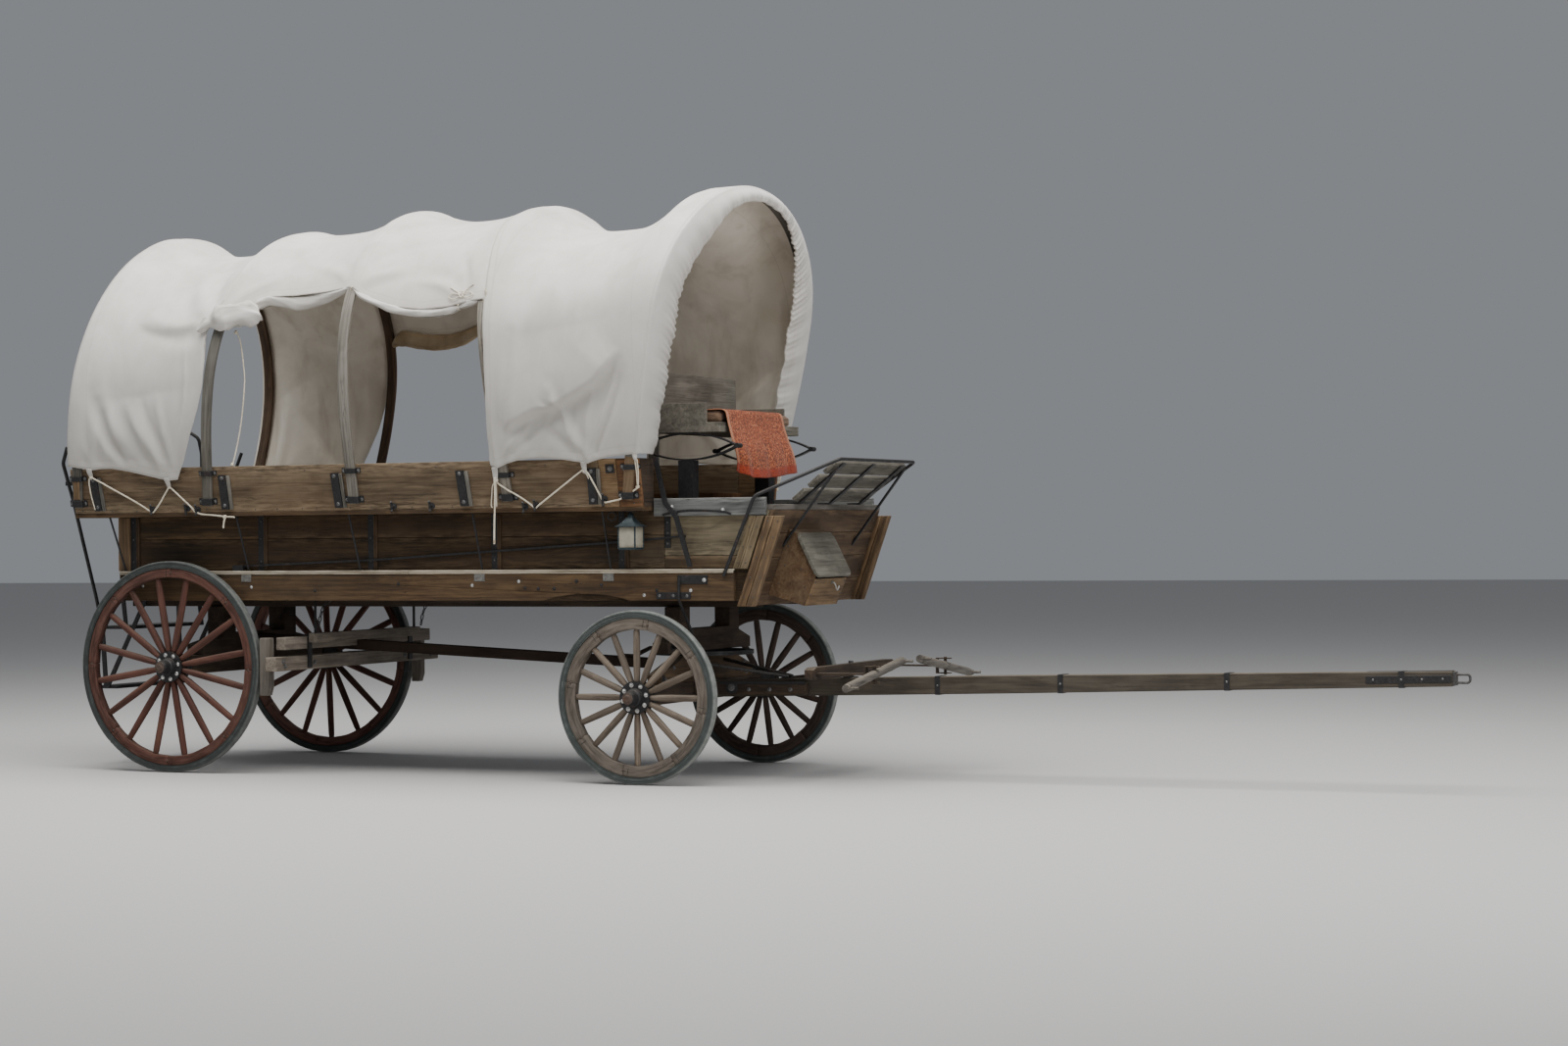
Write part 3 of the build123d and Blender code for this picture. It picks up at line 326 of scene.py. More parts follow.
# ------------------------------------------------------------------ materials
def nt_new(name):
    m = bpy.data.materials.new(name)
    m.use_nodes = True
    nt = m.node_tree
    nt.nodes.clear()
    out = nt.nodes.new("ShaderNodeOutputMaterial")
    b = nt.nodes.new("ShaderNodeBsdfPrincipled")
    nt.links.new(b.outputs[0], out.inputs[0])
    return m, nt, b


class G:
    """Short ways to add nodes."""

    def __init__(self, nt):
        self.nt = nt

    def n(self, kind, **kw):
        x = self.nt.nodes.new(kind)
        for k, v in kw.items():
            setattr(x, k, v)
        return x

    def l(self, a, b):
        self.nt.links.new(a, b)

    def put(self, sock, v):
        if hasattr(v, "is_output"):
            self.nt.links.new(v, sock)
        else:
            sock.default_value = v

    def math(self, op, a, b=0.0, c=0.0, clamp=False):
        x = self.n("ShaderNodeMath", operation=op, use_clamp=clamp)
        self.put(x.inputs[0], a)
        self.put(x.inputs[1], b)
        if op in ("MULTIPLY_ADD", "SMOOTH_MIN", "COMPARE"):
            self.put(x.inputs[2], c)
        return x.outputs[0]

    def vmath(self, op, a, b=(0, 0, 0), scale=1.0):
        x = self.n("ShaderNodeVectorMath", operation=op)
        self.put(x.inputs[0], a)
        if op == "SCALE":
            self.put(x.inputs[3], scale)
        else:
            self.put(x.inputs[1], b)
        return x.outputs[1] if op in ("LENGTH", "DOT_PRODUCT", "DISTANCE") else x.outputs[0]

    def noise(self, vec, scale=1.0, detail=4.0, rough=.6, dist=0.0):
        x = self.n("ShaderNodeTexNoise")
        self.put(x.inputs["Vector"], vec)
        x.inputs["Scale"].default_value = scale
        x.inputs["Detail"].default_value = detail
        x.inputs["Roughness"].default_value = rough
        x.inputs["Distortion"].default_value = dist
        return x.outputs[0]

    def ramp(self, fac, stops, interp="LINEAR"):
        x = self.n("ShaderNodeValToRGB")
        x.color_ramp.interpolation = interp
        el = x.color_ramp.elements
        while len(el) < len(stops):
            el.new(.5)
        for e, (p, c) in zip(el, stops):
            e.position = p
            e.color = (*c, 1) if len(c) == 3 else c
        self.put(x.inputs[0], fac)
        return x.outputs[0]

    def fac(self, v, lo, hi, a=0.0, b=1.0):
        x = self.n("ShaderNodeMapRange")
        x.clamp = True
        self.put(x.inputs[0], v)
        for i, q in zip((1, 2, 3, 4), (lo, hi, a, b)):
            x.inputs[i].default_value = q
        return x.outputs[0]

    def mix(self, f, a, b, mode="MIX"):
        x = self.n("ShaderNodeMix", data_type="RGBA", blend_type=mode)
        x.clamp_factor = True
        self.put(x.inputs[0], f)
        self.put(x.inputs[6], a if hasattr(a, "is_output") else (*a, 1) if len(a) == 3 else a)
        self.put(x.inputs[7], b if hasattr(b, "is_output") else (*b, 1) if len(b) == 3 else b)
        return x.outputs[2]

    def xyz(self, v):
        x = self.n("ShaderNodeSeparateXYZ")
        self.put(x.inputs[0], v)
        return x.outputs

    def comb(self, x, y, z):
        c = self.n("ShaderNodeCombineXYZ")
        for i, q in enumerate((x, y, z)):
            self.put(c.inputs[i], q)
        return c.outputs[0]

    def attr(self, name):
        x = self.n("ShaderNodeAttribute")
        x.attribute_name = name
        return x.outputs

    def bump(self, h, strength=.5, dist=.002, normal=None):
        x = self.n("ShaderNodeBump")
        x.inputs["Strength"].default_value = strength
        x.inputs["Distance"].default_value = dist
        self.put(x.inputs["Height"], h)
        if normal is not None:
            self.put(x.inputs["Normal"], normal)
        return x.outputs[0]


def srgb(*c):
    return tuple((x / 12.92 if x <= .04045 else ((x + .055) / 1.055) ** 2.4) for x in (q / 255 for q in c))


def wood(name, dark, mid, light, grey=None, greyness=.35, coord="gv", axis="x", rough=.82, grain=1.0, crack=.5, dirt=.5,
         bump=.6, red=None, paint=0.0, centre=None, r_split=None, edge_light=.5, dust=.25, top_z=None, stain=None):
    """Sawn, weathered wood. coord gv: grain coordinates kept on the mesh; object: the row frame, with the grain along axis;
    wheel: grain along the spokes inside r_split and round the felloe outside it."""
    m, nt, b = nt_new(name)
    g = G(nt)
    tc = g.n("ShaderNodeTexCoord")
    obj = tc.outputs["Object"]
    wear = None
    if coord == "gv":
        vec = g.attr("gv")[1]
        bid = g.attr("bid")[2]
        wear = g.attr("wear")[2]
        vec = g.vmath("ADD", vec, g.comb(g.math("MULTIPLY", bid, 37.0), g.math("MULTIPLY", bid, 11.3), g.math("MULTIPLY", bid, 5.1)))
    elif coord == "object":
        s = g.xyz(obj)
        order = {"x": (0, 2, 1), "y": (1, 0, 2), "z": (2, 0, 1)}[axis]
        vec = g.comb(*(s[i] for i in order))
        bid = .5
    else:
        s = g.xyz(g.vmath("SUBTRACT", obj, centre))
        r = g.math("SQRT", g.math("ADD", g.math("MULTIPLY", s[0], s[0]), g.math("MULTIPLY", s[2], s[2])))
        an = g.math("ARCTAN2", s[2], s[0])
        outside = g.math("GREATER_THAN", r, r_split)
        arc = g.math("MULTIPLY", an, r_split)
        sector = g.math("FLOOR", g.math("MULTIPLY", g.math("ADD", an, 10.0), 16 / (2 * math.pi)))
        bid = g.math("FRACT", g.math("MULTIPLY", g.math("SINE", g.math("MULTIPLY", g.math("ADD", sector, g.math("MULTIPLY", outside, 31.0)), 12.9898)), 43.7585))
        u = g.math("ADD", g.math("MULTIPLY", outside, arc), g.math("MULTIPLY", g.math("SUBTRACT", 1.0, outside), g.math("ADD", r, g.math("MULTIPLY", bid, 7.0))))
        w = g.math("ADD", g.math("MULTIPLY", outside, r), g.math("MULTIPLY", g.math("SUBTRACT", 1.0, outside), g.math("MULTIPLY", an, .35)))
        vec = g.comb(u, w, s[1])
    st = g.vmath("MULTIPLY", vec, (1.1, 16.0 * grain, 16.0 * grain))
    warpv = g.noise(g.vmath("MULTIPLY", vec, (1.6, 7.0, 7.0)), 1.0, 2.0, .5)
    st2 = g.vmath("ADD", st, g.comb(0.0, g.math("MULTIPLY", warpv, 5.5), g.math("MULTIPLY", warpv, 3.0)))
    bands = g.noise(st2, 1.0, 3.0, .55, .3)
    fine = g.noise(g.vmath("MULTIPLY", vec, (5.0, 230.0 * grain, 230.0 * grain)), 1.0, 4.0, .65, .2)
    mid_n = g.noise(g.vmath("MULTIPLY", vec, (2.4, 70.0 * grain, 70.0 * grain)), 1.0, 4.0, .6, .4)
    big = g.noise(g.vmath("MULTIPLY", vec, (.9, 2.6, 2.6)), 1.0, 3.0, .6)
    v = g.math("ADD", g.math("MULTIPLY", bands, .45), g.math("ADD", g.math("MULTIPLY", mid_n, .35), g.math("MULTIPLY", fine, .20)))
    col = g.ramp(v, [(.34, dark), (.48, mid), (.62, light)])
    if hasattr(bid, "is_output"):
        tone = g.fac(bid, 0, 1, .78, 1.18)
        col = g.mix(1.0, col, g.comb(tone, tone, tone), "MULTIPLY")
    if red is not None:
        col = g.mix(g.fac(big, .42, .68, 0.0, .75), col, red)
    if grey is not None:
        gf = g.math("MULTIPLY", g.fac(g.math("ADD", g.math("MULTIPLY", big, .6), g.math("MULTIPLY", mid_n, .4)), .38, .62), greyness, clamp=True)
        col = g.mix(gf, col, grey)
    if paint > 0 and stain is not None:
        pf = g.fac(g.math("ADD", g.math("MULTIPLY", fine, .35), g.math("MULTIPLY", big, .65)), .36, .60, paint, paint * .45)
        col = g.mix(pf, col, stain)
    # cracks along the grain
    ck = g.noise(g.vmath("MULTIPLY", vec, (1.7, 46.0, 46.0)), 1.0, 5.0, .55, .6)
    ckl = g.fac(g.math("ABSOLUTE", g.math("SUBTRACT", ck, .5)), 0.0, .014, 1.0, 0.0)
    ckm = g.math("MULTIPLY", ckl, g.fac(g.noise(g.vmath("MULTIPLY", vec, (1.3, 9.0, 9.0)), 1.0, 2.0, .5), .50, .62, 0.0, crack))
    col = g.mix(ckm, col, tuple(.25 * x for x in dark))
    # dirt and dust
    dn = g.noise(obj, 3.2, 5.0, .65)
    col = g.mix(g.fac(dn, .46, .74, 0.0, dirt), col, tuple(.45 * x for x in dark))
    geo = g.n("ShaderNodeNewGeometry")
    nz = g.xyz(geo.outputs["Normal"])[2]
    dustc = srgb(176, 164, 146)
    col = g.mix(g.math("MULTIPLY", g.fac(nz, .35, .95), g.fac(g.noise(obj, 9.0, 4.0, .6), .3, .7, dust * .5, dust)), col, dustc)
    if wear is not None and edge_light > 0:
        wf = g.math("MULTIPLY", g.fac(wear, .35, 1.0), g.fac(g.noise(g.vmath("MULTIPLY", vec, (9.0, 60.0, 60.0)), 1.0, 3.0, .6), .42, .62, 0.0, edge_light))
        col = g.mix(wf, col, tuple(min(1, 1.35 * x + .02) for x in light))
    g.put(b.inputs["Base Color"], col)
    g.put(b.inputs["Roughness"], g.fac(g.math("ADD", g.math("MULTIPLY", mid_n, .6), g.math("MULTIPLY", dn, .4)), .3, .7, rough - .12, min(1.0, rough + .1)))
    h = g.math("ADD", g.math("MULTIPLY", fine, .35), g.math("ADD", g.math("MULTIPLY", mid_n, .65), g.math("MULTIPLY", ckm, -1.6)))
    g.put(b.inputs["Normal"], g.bump(h, bump, .0022))
    b.inputs["Specular IOR Level"].default_value = .35
    return m


def iron(name, base=(.028, .028, .030), rust=.25, rough=.48, dust=.3, bare=.12, metallic=.35):
    m, nt, b = nt_new(name)
    g = G(nt)
    obj = g.n("ShaderNodeTexCoord").outputs["Object"]
    n1 = g.noise(obj, 14.0, 6.0, .65)
    n2 = g.noise(obj, 70.0, 4.0, .6)
    n3 = g.noise(obj, 300.0, 2.0, .5)
    col = g.mix(g.fac(n2, .35, .65), base, tuple(1.9 * x for x in base))
    col = g.mix(g.fac(n1, .56, .72, 0.0, rust), col, srgb(94, 62, 44))
    col = g.mix(g.fac(g.math("ADD", g.math("MULTIPLY", n2, .6), g.math("MULTIPLY", n1, .4)), .58, .66, 0.0, bare), col, srgb(140, 140, 142))
    geo = g.n("ShaderNodeNewGeometry")
    nz = g.xyz(geo.outputs["Normal"])[2]
    col = g.mix(g.math("MULTIPLY", g.fac(nz, .2, .95), g.fac(n1, .3, .7, dust * .4, dust)), col, srgb(150, 140, 126))
    g.put(b.inputs["Base Color"], col)
    b.inputs["Metallic"].default_value = metallic
    g.put(b.inputs["Roughness"], g.fac(n1, .35, .7, rough - .1, rough + .25))
    g.put(b.inputs["Normal"], g.bump(g.math("ADD", n2, g.math("MULTIPLY", n3, .5)), .35, .0012))
    return m


def rubber(name, centre, R, gain=1.0):
    m, nt, b = nt_new(name)
    g = G(nt)
    obj = g.n("ShaderNodeTexCoord").outputs["Object"]
    s = g.xyz(g.vmath("SUBTRACT", obj, centre))
    r = g.math("SQRT", g.math("ADD", g.math("MULTIPLY", s[0], s[0]), g.math("MULTIPLY", s[2], s[2])))
    an = g.math("MULTIPLY", g.math("ARCTAN2", s[2], s[0]), R)
    loc = g.comb(an, r, s[1])
    n1 = g.noise(g.vmath("MULTIPLY", loc, (3.0, 60.0, 60.0)), 1.0, 5.0, .6)
    n2 = g.noise(obj, 22.0, 6.0, .7)
    n3 = g.noise(obj, 160.0, 3.0, .6)
    col = g.ramp(g.math("ADD", g.math("MULTIPLY", n1, .5), g.math("MULTIPLY", n2, .5)),
                 [(.34, tuple(gain * x for x in srgb(34, 39, 38))), (.52, tuple(gain * x for x in srgb(55, 62, 60))), (.68, tuple(gain * x for x in srgb(86, 92, 90)))])
    tread = g.fac(r, R - .010, R - .002)
    col = g.mix(g.math("MULTIPLY", tread, g.fac(n2, .3, .6, .35, .8)), col, tuple(gain * x for x in srgb(124, 126, 122)))
    # joint between rubber and channel, and two ribs
    ch = g.fac(g.math("ABSOLUTE", g.math("SUBTRACT", r, R - .036)), 0.0, .0022, 1.0, 0.0)
    rib = g.fac(g.math("ABSOLUTE", g.math("SUBTRACT", r, R - .019)), 0.0, .0030, 1.0, 0.0)
    col = g.mix(g.math("MULTIPLY", ch, .85), col, (.008, .008, .008))
    col = g.mix(g.math("MULTIPLY", rib, .55), col, (.014, .015, .015))
    g.put(b.inputs["Base Color"], col)
    g.put(b.inputs["Roughness"], g.fac(n2, .3, .7, .62, .86))
    h = g.math("ADD", g.math("ADD", g.math("MULTIPLY", n2, .5), g.math("MULTIPLY", n3, .35)), g.math("ADD", g.math("MULTIPLY", ch, -1.6), g.math("MULTIPLY", rib, -1.3)))
    g.put(b.inputs["Normal"], g.bump(h, .6, .003))
    return m


def canvas_mat(name, c1, c2, stain, inside=False, weave=900.0):
    m, nt, b = nt_new(name)
    g = G(nt)
    obj = g.n("ShaderNodeTexCoord").outputs["Object"]
    big = g.noise(obj, .9, 5.0, .62, .5)
    mid = g.noise(obj, 4.5, 6.0, .6, .3)
    streak = g.noise(g.vmath("MULTIPLY", obj, (5.0, 5.0, .9)), 1.0, 5.0, .6, .3)
    fine = g.noise(obj, 60.0, 3.0, .6)
    col = g.mix(g.fac(mid, .35, .65), c1, c2)
    # on the inner face the streaks and blotches are much heavier: partly real staining, partly painted shade for the
    # brownish dimness inside the cover
    col = g.mix(g.fac(streak, .50, .74, 0.0, .75 if inside else .28), col, stain)
    col = g.mix(g.fac(big, .50, .70, 0.0, .6 if inside else .18), col, tuple(.8 * x for x in stain))
    hem = g.attr("hem")[2]
    # grime near the hem, and the stitched line of the turned edge
    col = g.mix(g.math("MULTIPLY", g.fac(hem, 0.0, .22, 1.0, 0.0), g.fac(mid, .38, .66, .05, .45)), col, srgb(168, 160, 146))
    st = g.fac(g.math("ABSOLUTE", g.math("SUBTRACT", hem, .052)), 0.0, .0022, 1.0, 0.0)
    st2 = g.fac(g.math("ABSOLUTE", g.math("SUBTRACT", hem, .046)), 0.0, .0022, 1.0, 0.0)
    col = g.mix(g.math("MULTIPLY", g.math("MAXIMUM", st, st2), .35), col, srgb(146, 138, 124))
    # sewn seams of the cloth widths, across the wagon
    sx = g.xyz(obj)[0]
    pan = g.math("FRACT", g.math("DIVIDE", g.math("ADD", sx, 20.13), .93))
    seam = g.fac(g.math("ABSOLUTE", g.math("SUBTRACT", pan, .5)), 0.0, .0045, 1.0, 0.0)
    col = g.mix(g.math("MULTIPLY", seam, .16), col, srgb(150, 142, 130))
    if not inside:
        # painted shade: the cloth greys and darkens towards its lower edge, for the dimmer light on its upright sides
        col = g.mix(g.math("MULTIPLY", g.fac(g.xyz(obj)[2], 1.90, 2.95, .62, 0.0), g.fac(mid, .25, .7, .75, 1.0)), col, srgb(160, 158, 153))
    g.put(b.inputs["Base Color"], col)
    b.inputs["Roughness"].default_value = .9
    b.inputs["Specular IOR Level"].default_value = .25
    b.inputs["Sheen Weight"].default_value = .12
    b.inputs["Sheen Roughness"].default_value = .5
    b.inputs["Subsurface Weight"].default_value = 0.0
    s = g.xyz(obj)
    wv = g.n("ShaderNodeTexWave", wave_type="BANDS", bands_direction="X")
    wv.inputs["Scale"].default_value = 160.0
    wv.inputs["Distortion"].default_value = .6
    g.l(obj, wv.inputs["Vector"])
    wz = g.n("ShaderNodeTexWave", wave_type="BANDS", bands_direction="Z")
    wz.inputs["Scale"].default_value = 160.0
    wz.inputs["Distortion"].default_value = .6
    g.l(obj, wz.inputs["Vector"])
    h = g.math("ADD", g.math("MULTIPLY", g.math("ADD", wv.outputs[1], wz.outputs[1]), .12), g.math("MULTIPLY", fine, .22))
    h = g.math("ADD", h, g.math("ADD", g.math("MULTIPLY", mid, .5), g.math("MULTIPLY", g.math("ADD", g.math("MAXIMUM", st, st2), seam), -.5)))
    h = g.math("ADD", h, g.math("MULTIPLY", g.fac(hem, .040, .056, 1.0, 0.0), .8))
    g.put(b.inputs["Normal"], g.bump(h, .45, .0022))
    return m


def rope_mat(name="rope_cotton"):
    m, nt, b = nt_new(name)
    g = G(nt)
    s = g.xyz(g.attr("gv")[1])
    obj = g.n("ShaderNodeTexCoord").outputs["Object"]
    fib = g.noise(g.vmath("MULTIPLY", obj, (1, 1, 1)), 420.0, 3.0, .6)
    n = g.noise(obj, 30.0, 4.0, .6)
    groove = g.fac(g.math("ABSOLUTE", g.math("SUBTRACT", s[1], .5)), .32, .5, 0.0, 1.0)
    col = g.mix(g.fac(n, .35, .7), srgb(226, 218, 200), srgb(196, 184, 160))
    col = g.mix(g.math("MULTIPLY", groove, .55), col, srgb(120, 108, 88))
    g.put(b.inputs["Base Color"], col)
    b.inputs["Roughness"].default_value = .88
    b.inputs["Sheen Weight"].default_value = .15
    g.put(b.inputs["Normal"], g.bump(g.math("ADD", fib, g.math("MULTIPLY", groove, -.6)), .5, .0012))
    return m


# palette
W_DARK = dict(dark=srgb(34, 25, 19), mid=srgb(58, 44, 33), light=srgb(88, 70, 53), grey=srgb(96, 84, 72))
W_OAK = dict(dark=srgb(58, 44, 32), mid=srgb(104, 84, 62), light=srgb(144, 122, 94), grey=srgb(128, 116, 100))
W_GREY = dict(dark=srgb(70, 64, 58), mid=srgb(112, 105, 96), light=srgb(150, 143, 133), grey=srgb(140, 136, 130))
W_HONEY = dict(dark=srgb(78, 50, 28), mid=srgb(124, 84, 50), light=srgb(160, 120, 80), grey=srgb(120, 106, 90))



def tone(pal, f, warm=1.0, green=1.0):
    """A palette made darker or lighter, and warmer or greener."""
    return {k: (min(1, v[0] * f * warm), min(1, v[1] * f * green), min(1, v[2] * f / warm)) for k, v in pal.items()}


M = {}
M["oak"] = wood("weathered_oak", dark=srgb(50, 39, 27), mid=srgb(99, 82, 62), light=srgb(138, 119, 93), grey=srgb(120, 110, 94), greyness=.40, dirt=.35, crack=1.0, red=srgb(104, 74, 44), bump=.9)
M["dark"] = wood("dark_oak", dark=srgb(24, 17, 9), mid=srgb(49, 36, 20), light=srgb(80, 61, 37), grey=srgb(76, 65, 48), greyness=.22, dirt=.45, crack=.6, red=srgb(58, 38, 24), dust=.12)
M["grey"] = wood("grey_wood", **tone(W_GREY, .62, .98, 1.03), greyness=.5, dirt=.3, crack=.8, dust=.25)
M["foot"] = wood("footboard_wood", **tone(W_GREY, .40, 1.02, 1.04), greyness=.5, dirt=.4, crack=.9, dust=.2)
M["honey"] = wood("honey_wood", dark=srgb(58, 42, 26), mid=srgb(104, 80, 54), light=srgb(142, 116, 84), grey=srgb(120, 106, 88), greyness=.35, dirt=.5, crack=.9)
M["orange"] = wood("orange_wood", dark=srgb(42, 27, 15), mid=srgb(84, 55, 31), light=srgb(120, 82, 48), grey=srgb(96, 80, 62), greyness=.3, dirt=.85, crack=1.0)
M["front"] = wood("front_wood", dark=srgb(40, 28, 18), mid=srgb(66, 49, 33), light=srgb(92, 72, 50), grey=srgb(84, 74, 62), greyness=.3, dirt=.4, crack=.7, dust=.15)
M["blue_grey"] = wood("front_rail_wood", dark=srgb(54, 55, 54), mid=srgb(86, 87, 85), light=srgb(116, 117, 114), grey=srgb(106, 107, 106), greyness=.5, dirt=.3, crack=.8)
M["panel"] = wood("front_panel_wood", dark=srgb(52, 44, 32), mid=srgb(92, 82, 64), light=srgb(126, 115, 92), grey=srgb(104, 97, 82), greyness=.4, dirt=.5, crack=1.0)
M["wall_mid"] = wood("front_wall_wood", dark=srgb(38, 29, 19), mid=srgb(72, 57, 40), light=srgb(102, 84, 62), grey=srgb(88, 78, 62), greyness=.35, dirt=.5, crack=1.0)
M["bow_light"] = wood("bow_light_wood", **tone(W_GREY, 1.0, .99, 1.02), greyness=.5, dirt=.3, crack=.7)
# darker wood for the far halves of the rear bows: painted shade inside the cover
M["bow_dark"] = wood("bow_dark_wood", **tone(W_DARK, 1.7), greyness=.2, dirt=.3, crack=.6)
M["post"] = wood("front_post_wood", dark=srgb(48, 33, 20), mid=srgb(88, 66, 43), light=srgb(124, 99, 69), grey=srgb(120, 106, 86), greyness=.4, dirt=.4, crack=1.0)
M["cleat"] = wood("front_cleat_wood", dark=srgb(62, 50, 34), mid=srgb(104, 89, 65), light=srgb(136, 121, 94), grey=srgb(116, 105, 86), greyness=.4, dirt=.35, crack=1.0)
M["cream"] = wood("ledge_wood", dark=srgb(102, 90, 75), mid=srgb(148, 137, 118), light=srgb(180, 170, 152), grey=srgb(167, 160, 145), greyness=.5, dirt=.35, crack=.7)
for k, pal, ax in (("dark_x", tone(W_DARK, .7), "x"), ("dark_y", tone(W_DARK, .7), "y"), ("dark_z", tone(W_DARK, .7), "z"),
                   ("grey_x", tone(W_GREY, .55), "x"), ("grey_y", tone(W_GREY, .60), "y"), ("oak_x", W_OAK, "x"), ("oak_y", W_OAK, "y"), ("oak_z", W_OAK, "z"),
                   ("sill_x", dict(dark=srgb(36, 25, 14), mid=srgb(69, 50, 31), light=srgb(102, 79, 52), grey=srgb(80, 69, 53)), "x"), ("honey_x", tone(W_HONEY, .8), "x"), ("honey_y", tone(W_HONEY, .62, .96, 1.02), "y"),
                   ("lid_y", tone(W_GREY, .58, 1.0, 1.05), "y"), ("tongue_x", tone(W_GREY, .26, 1.12, 1.03), "x"), ("box_y", tone(W_HONEY, .60, .90, 1.02), "y"), ("bolster_y", dict(dark=srgb(34, 26, 18), mid=srgb(66, 50, 35), light=srgb(96, 76, 54), grey=srgb(84, 72, 58)), "y"), ("beam_y", tone(W_GREY, .84, 1.06), "y"), ("post_z", tone(W_GREY, .80, 1.05), "z"),
                   ("shoe_z", tone(W_GREY, 0.66, 1.02), "z"), ("seat_y", tone(W_GREY, .74, 1.02, 1.03), "y")):
    M[k] = wood("wood_" + k, **pal, coord="object", axis=ax, greyness=.4, dirt=.4, crack=.7)
M["reach"] = wood("reach_wood", dark=srgb(22, 15, 11), mid=srgb(40, 28, 20), light=srgb(56, 41, 30), grey=srgb(54, 44, 36), greyness=.25, coord="object", axis="x", dust=.04)
M["iron"] = iron("black_iron", base=(.013, .013, .014), rough=.55, dust=.14, bare=.08)
M["bright"] = iron("bright_bolts", base=(.34, .34, .33), rust=.10, rough=.34, bare=.0, metallic=.85, dust=.05)
M["iron_worn"] = iron("worn_iron", base=(.045, .044, .043), rust=.5, rough=.55, bare=.4)
M["rust"] = iron("rusty_iron", base=(.050, .034, .026), rust=.85, rough=.7, bare=.1, metallic=.15)
M["bolt"] = iron("bolt_iron", base=(.10, .10, .10), rust=.25, rough=.38, bare=.9, metallic=.75, dust=.1)
M["galv"] = iron("galvanised_iron", base=(.105, .102, .094), rust=.08, rough=.60, bare=.0, metallic=.25, dust=.10)
M["verdigris"] = iron("lantern_metal", base=(.018, .029, .034), rust=.12, rough=.55, bare=.12, metallic=.3, dust=.06)
M["canvas_out"] = canvas_mat("canvas", srgb(212, 208, 200), srgb(226, 222, 216), srgb(176, 169, 157))
# inner face of the cover: warm and heavily streaked, partly painted shade
M["canvas_in"] = canvas_mat("canvas_inside", srgb(230, 222, 206), srgb(238, 231, 218), srgb(192, 179, 160), inside=True)
# painted shade: brown cloth for the far rolled flap, standing for its underside and the cover's inside seen in shade
M["canvas_brown"] = canvas_mat("canvas_flap_painted_shade", srgb(164, 142, 112), srgb(188, 166, 134), srgb(98, 78, 56), inside=True)
M["rope"] = rope_mat()


def pane_mat():
    m, nt, b = nt_new("frosted_glass")
    g = G(nt)
    obj = g.n("ShaderNodeTexCoord").outputs["Object"]
    n1 = g.noise(obj, 26.0, 5.0, .6)
    n2 = g.noise(obj, 420.0, 2.0, .6)
    z = g.xyz(obj)[2]
    edge = g.math("MAXIMUM", g.fac(z, 1.330, 1.352, 1.0, 0.0), g.fac(z, 1.428, 1.446, 0.0, 1.0))
    col = g.mix(g.fac(n1, .35, .7), srgb(186, 182, 166), srgb(166, 158, 140))
    col = g.mix(g.math("MULTIPLY", edge, g.fac(n1, .3, .6, .15, .6)), col, srgb(112, 100, 80))
    g.put(b.inputs["Base Color"], col)
    g.put(b.inputs["Roughness"], g.fac(n1, .3, .7, .42, .62))
    b.inputs["Transmission Weight"].default_value = .25
    b.inputs["IOR"].default_value = 1.46
    g.put(b.inputs["Normal"], g.bump(n2, .25, .0006))
    return m


def cushion_mat():
    m, nt, b = nt_new("cushion_cloth")
    g = G(nt)
    obj = g.n("ShaderNodeTexCoord").outputs["Object"]
    n1 = g.noise(obj, 7.0, 5.0, .6)
    warp_ = g.noise(g.vmath("MULTIPLY", obj, (900, 120, 900)), 1.0, 2.0, .5)
    weft = g.noise(g.vmath("MULTIPLY", obj, (120, 900, 120)), 1.0, 2.0, .5)
    th = g.math("ADD", warp_, weft)
    col = g.mix(g.fac(th, .7, 1.3), srgb(92, 70, 54), srgb(140, 112, 88))
    col = g.mix(g.fac(n1, .5, .75, 0.0, .5), col, srgb(70, 54, 42))
    g.put(b.inputs["Base Color"], col)
    b.inputs["Roughness"].default_value = .92
    b.inputs["Sheen Weight"].default_value = .2
    g.put(b.inputs["Normal"], g.bump(th, .5, .0016))
    return m


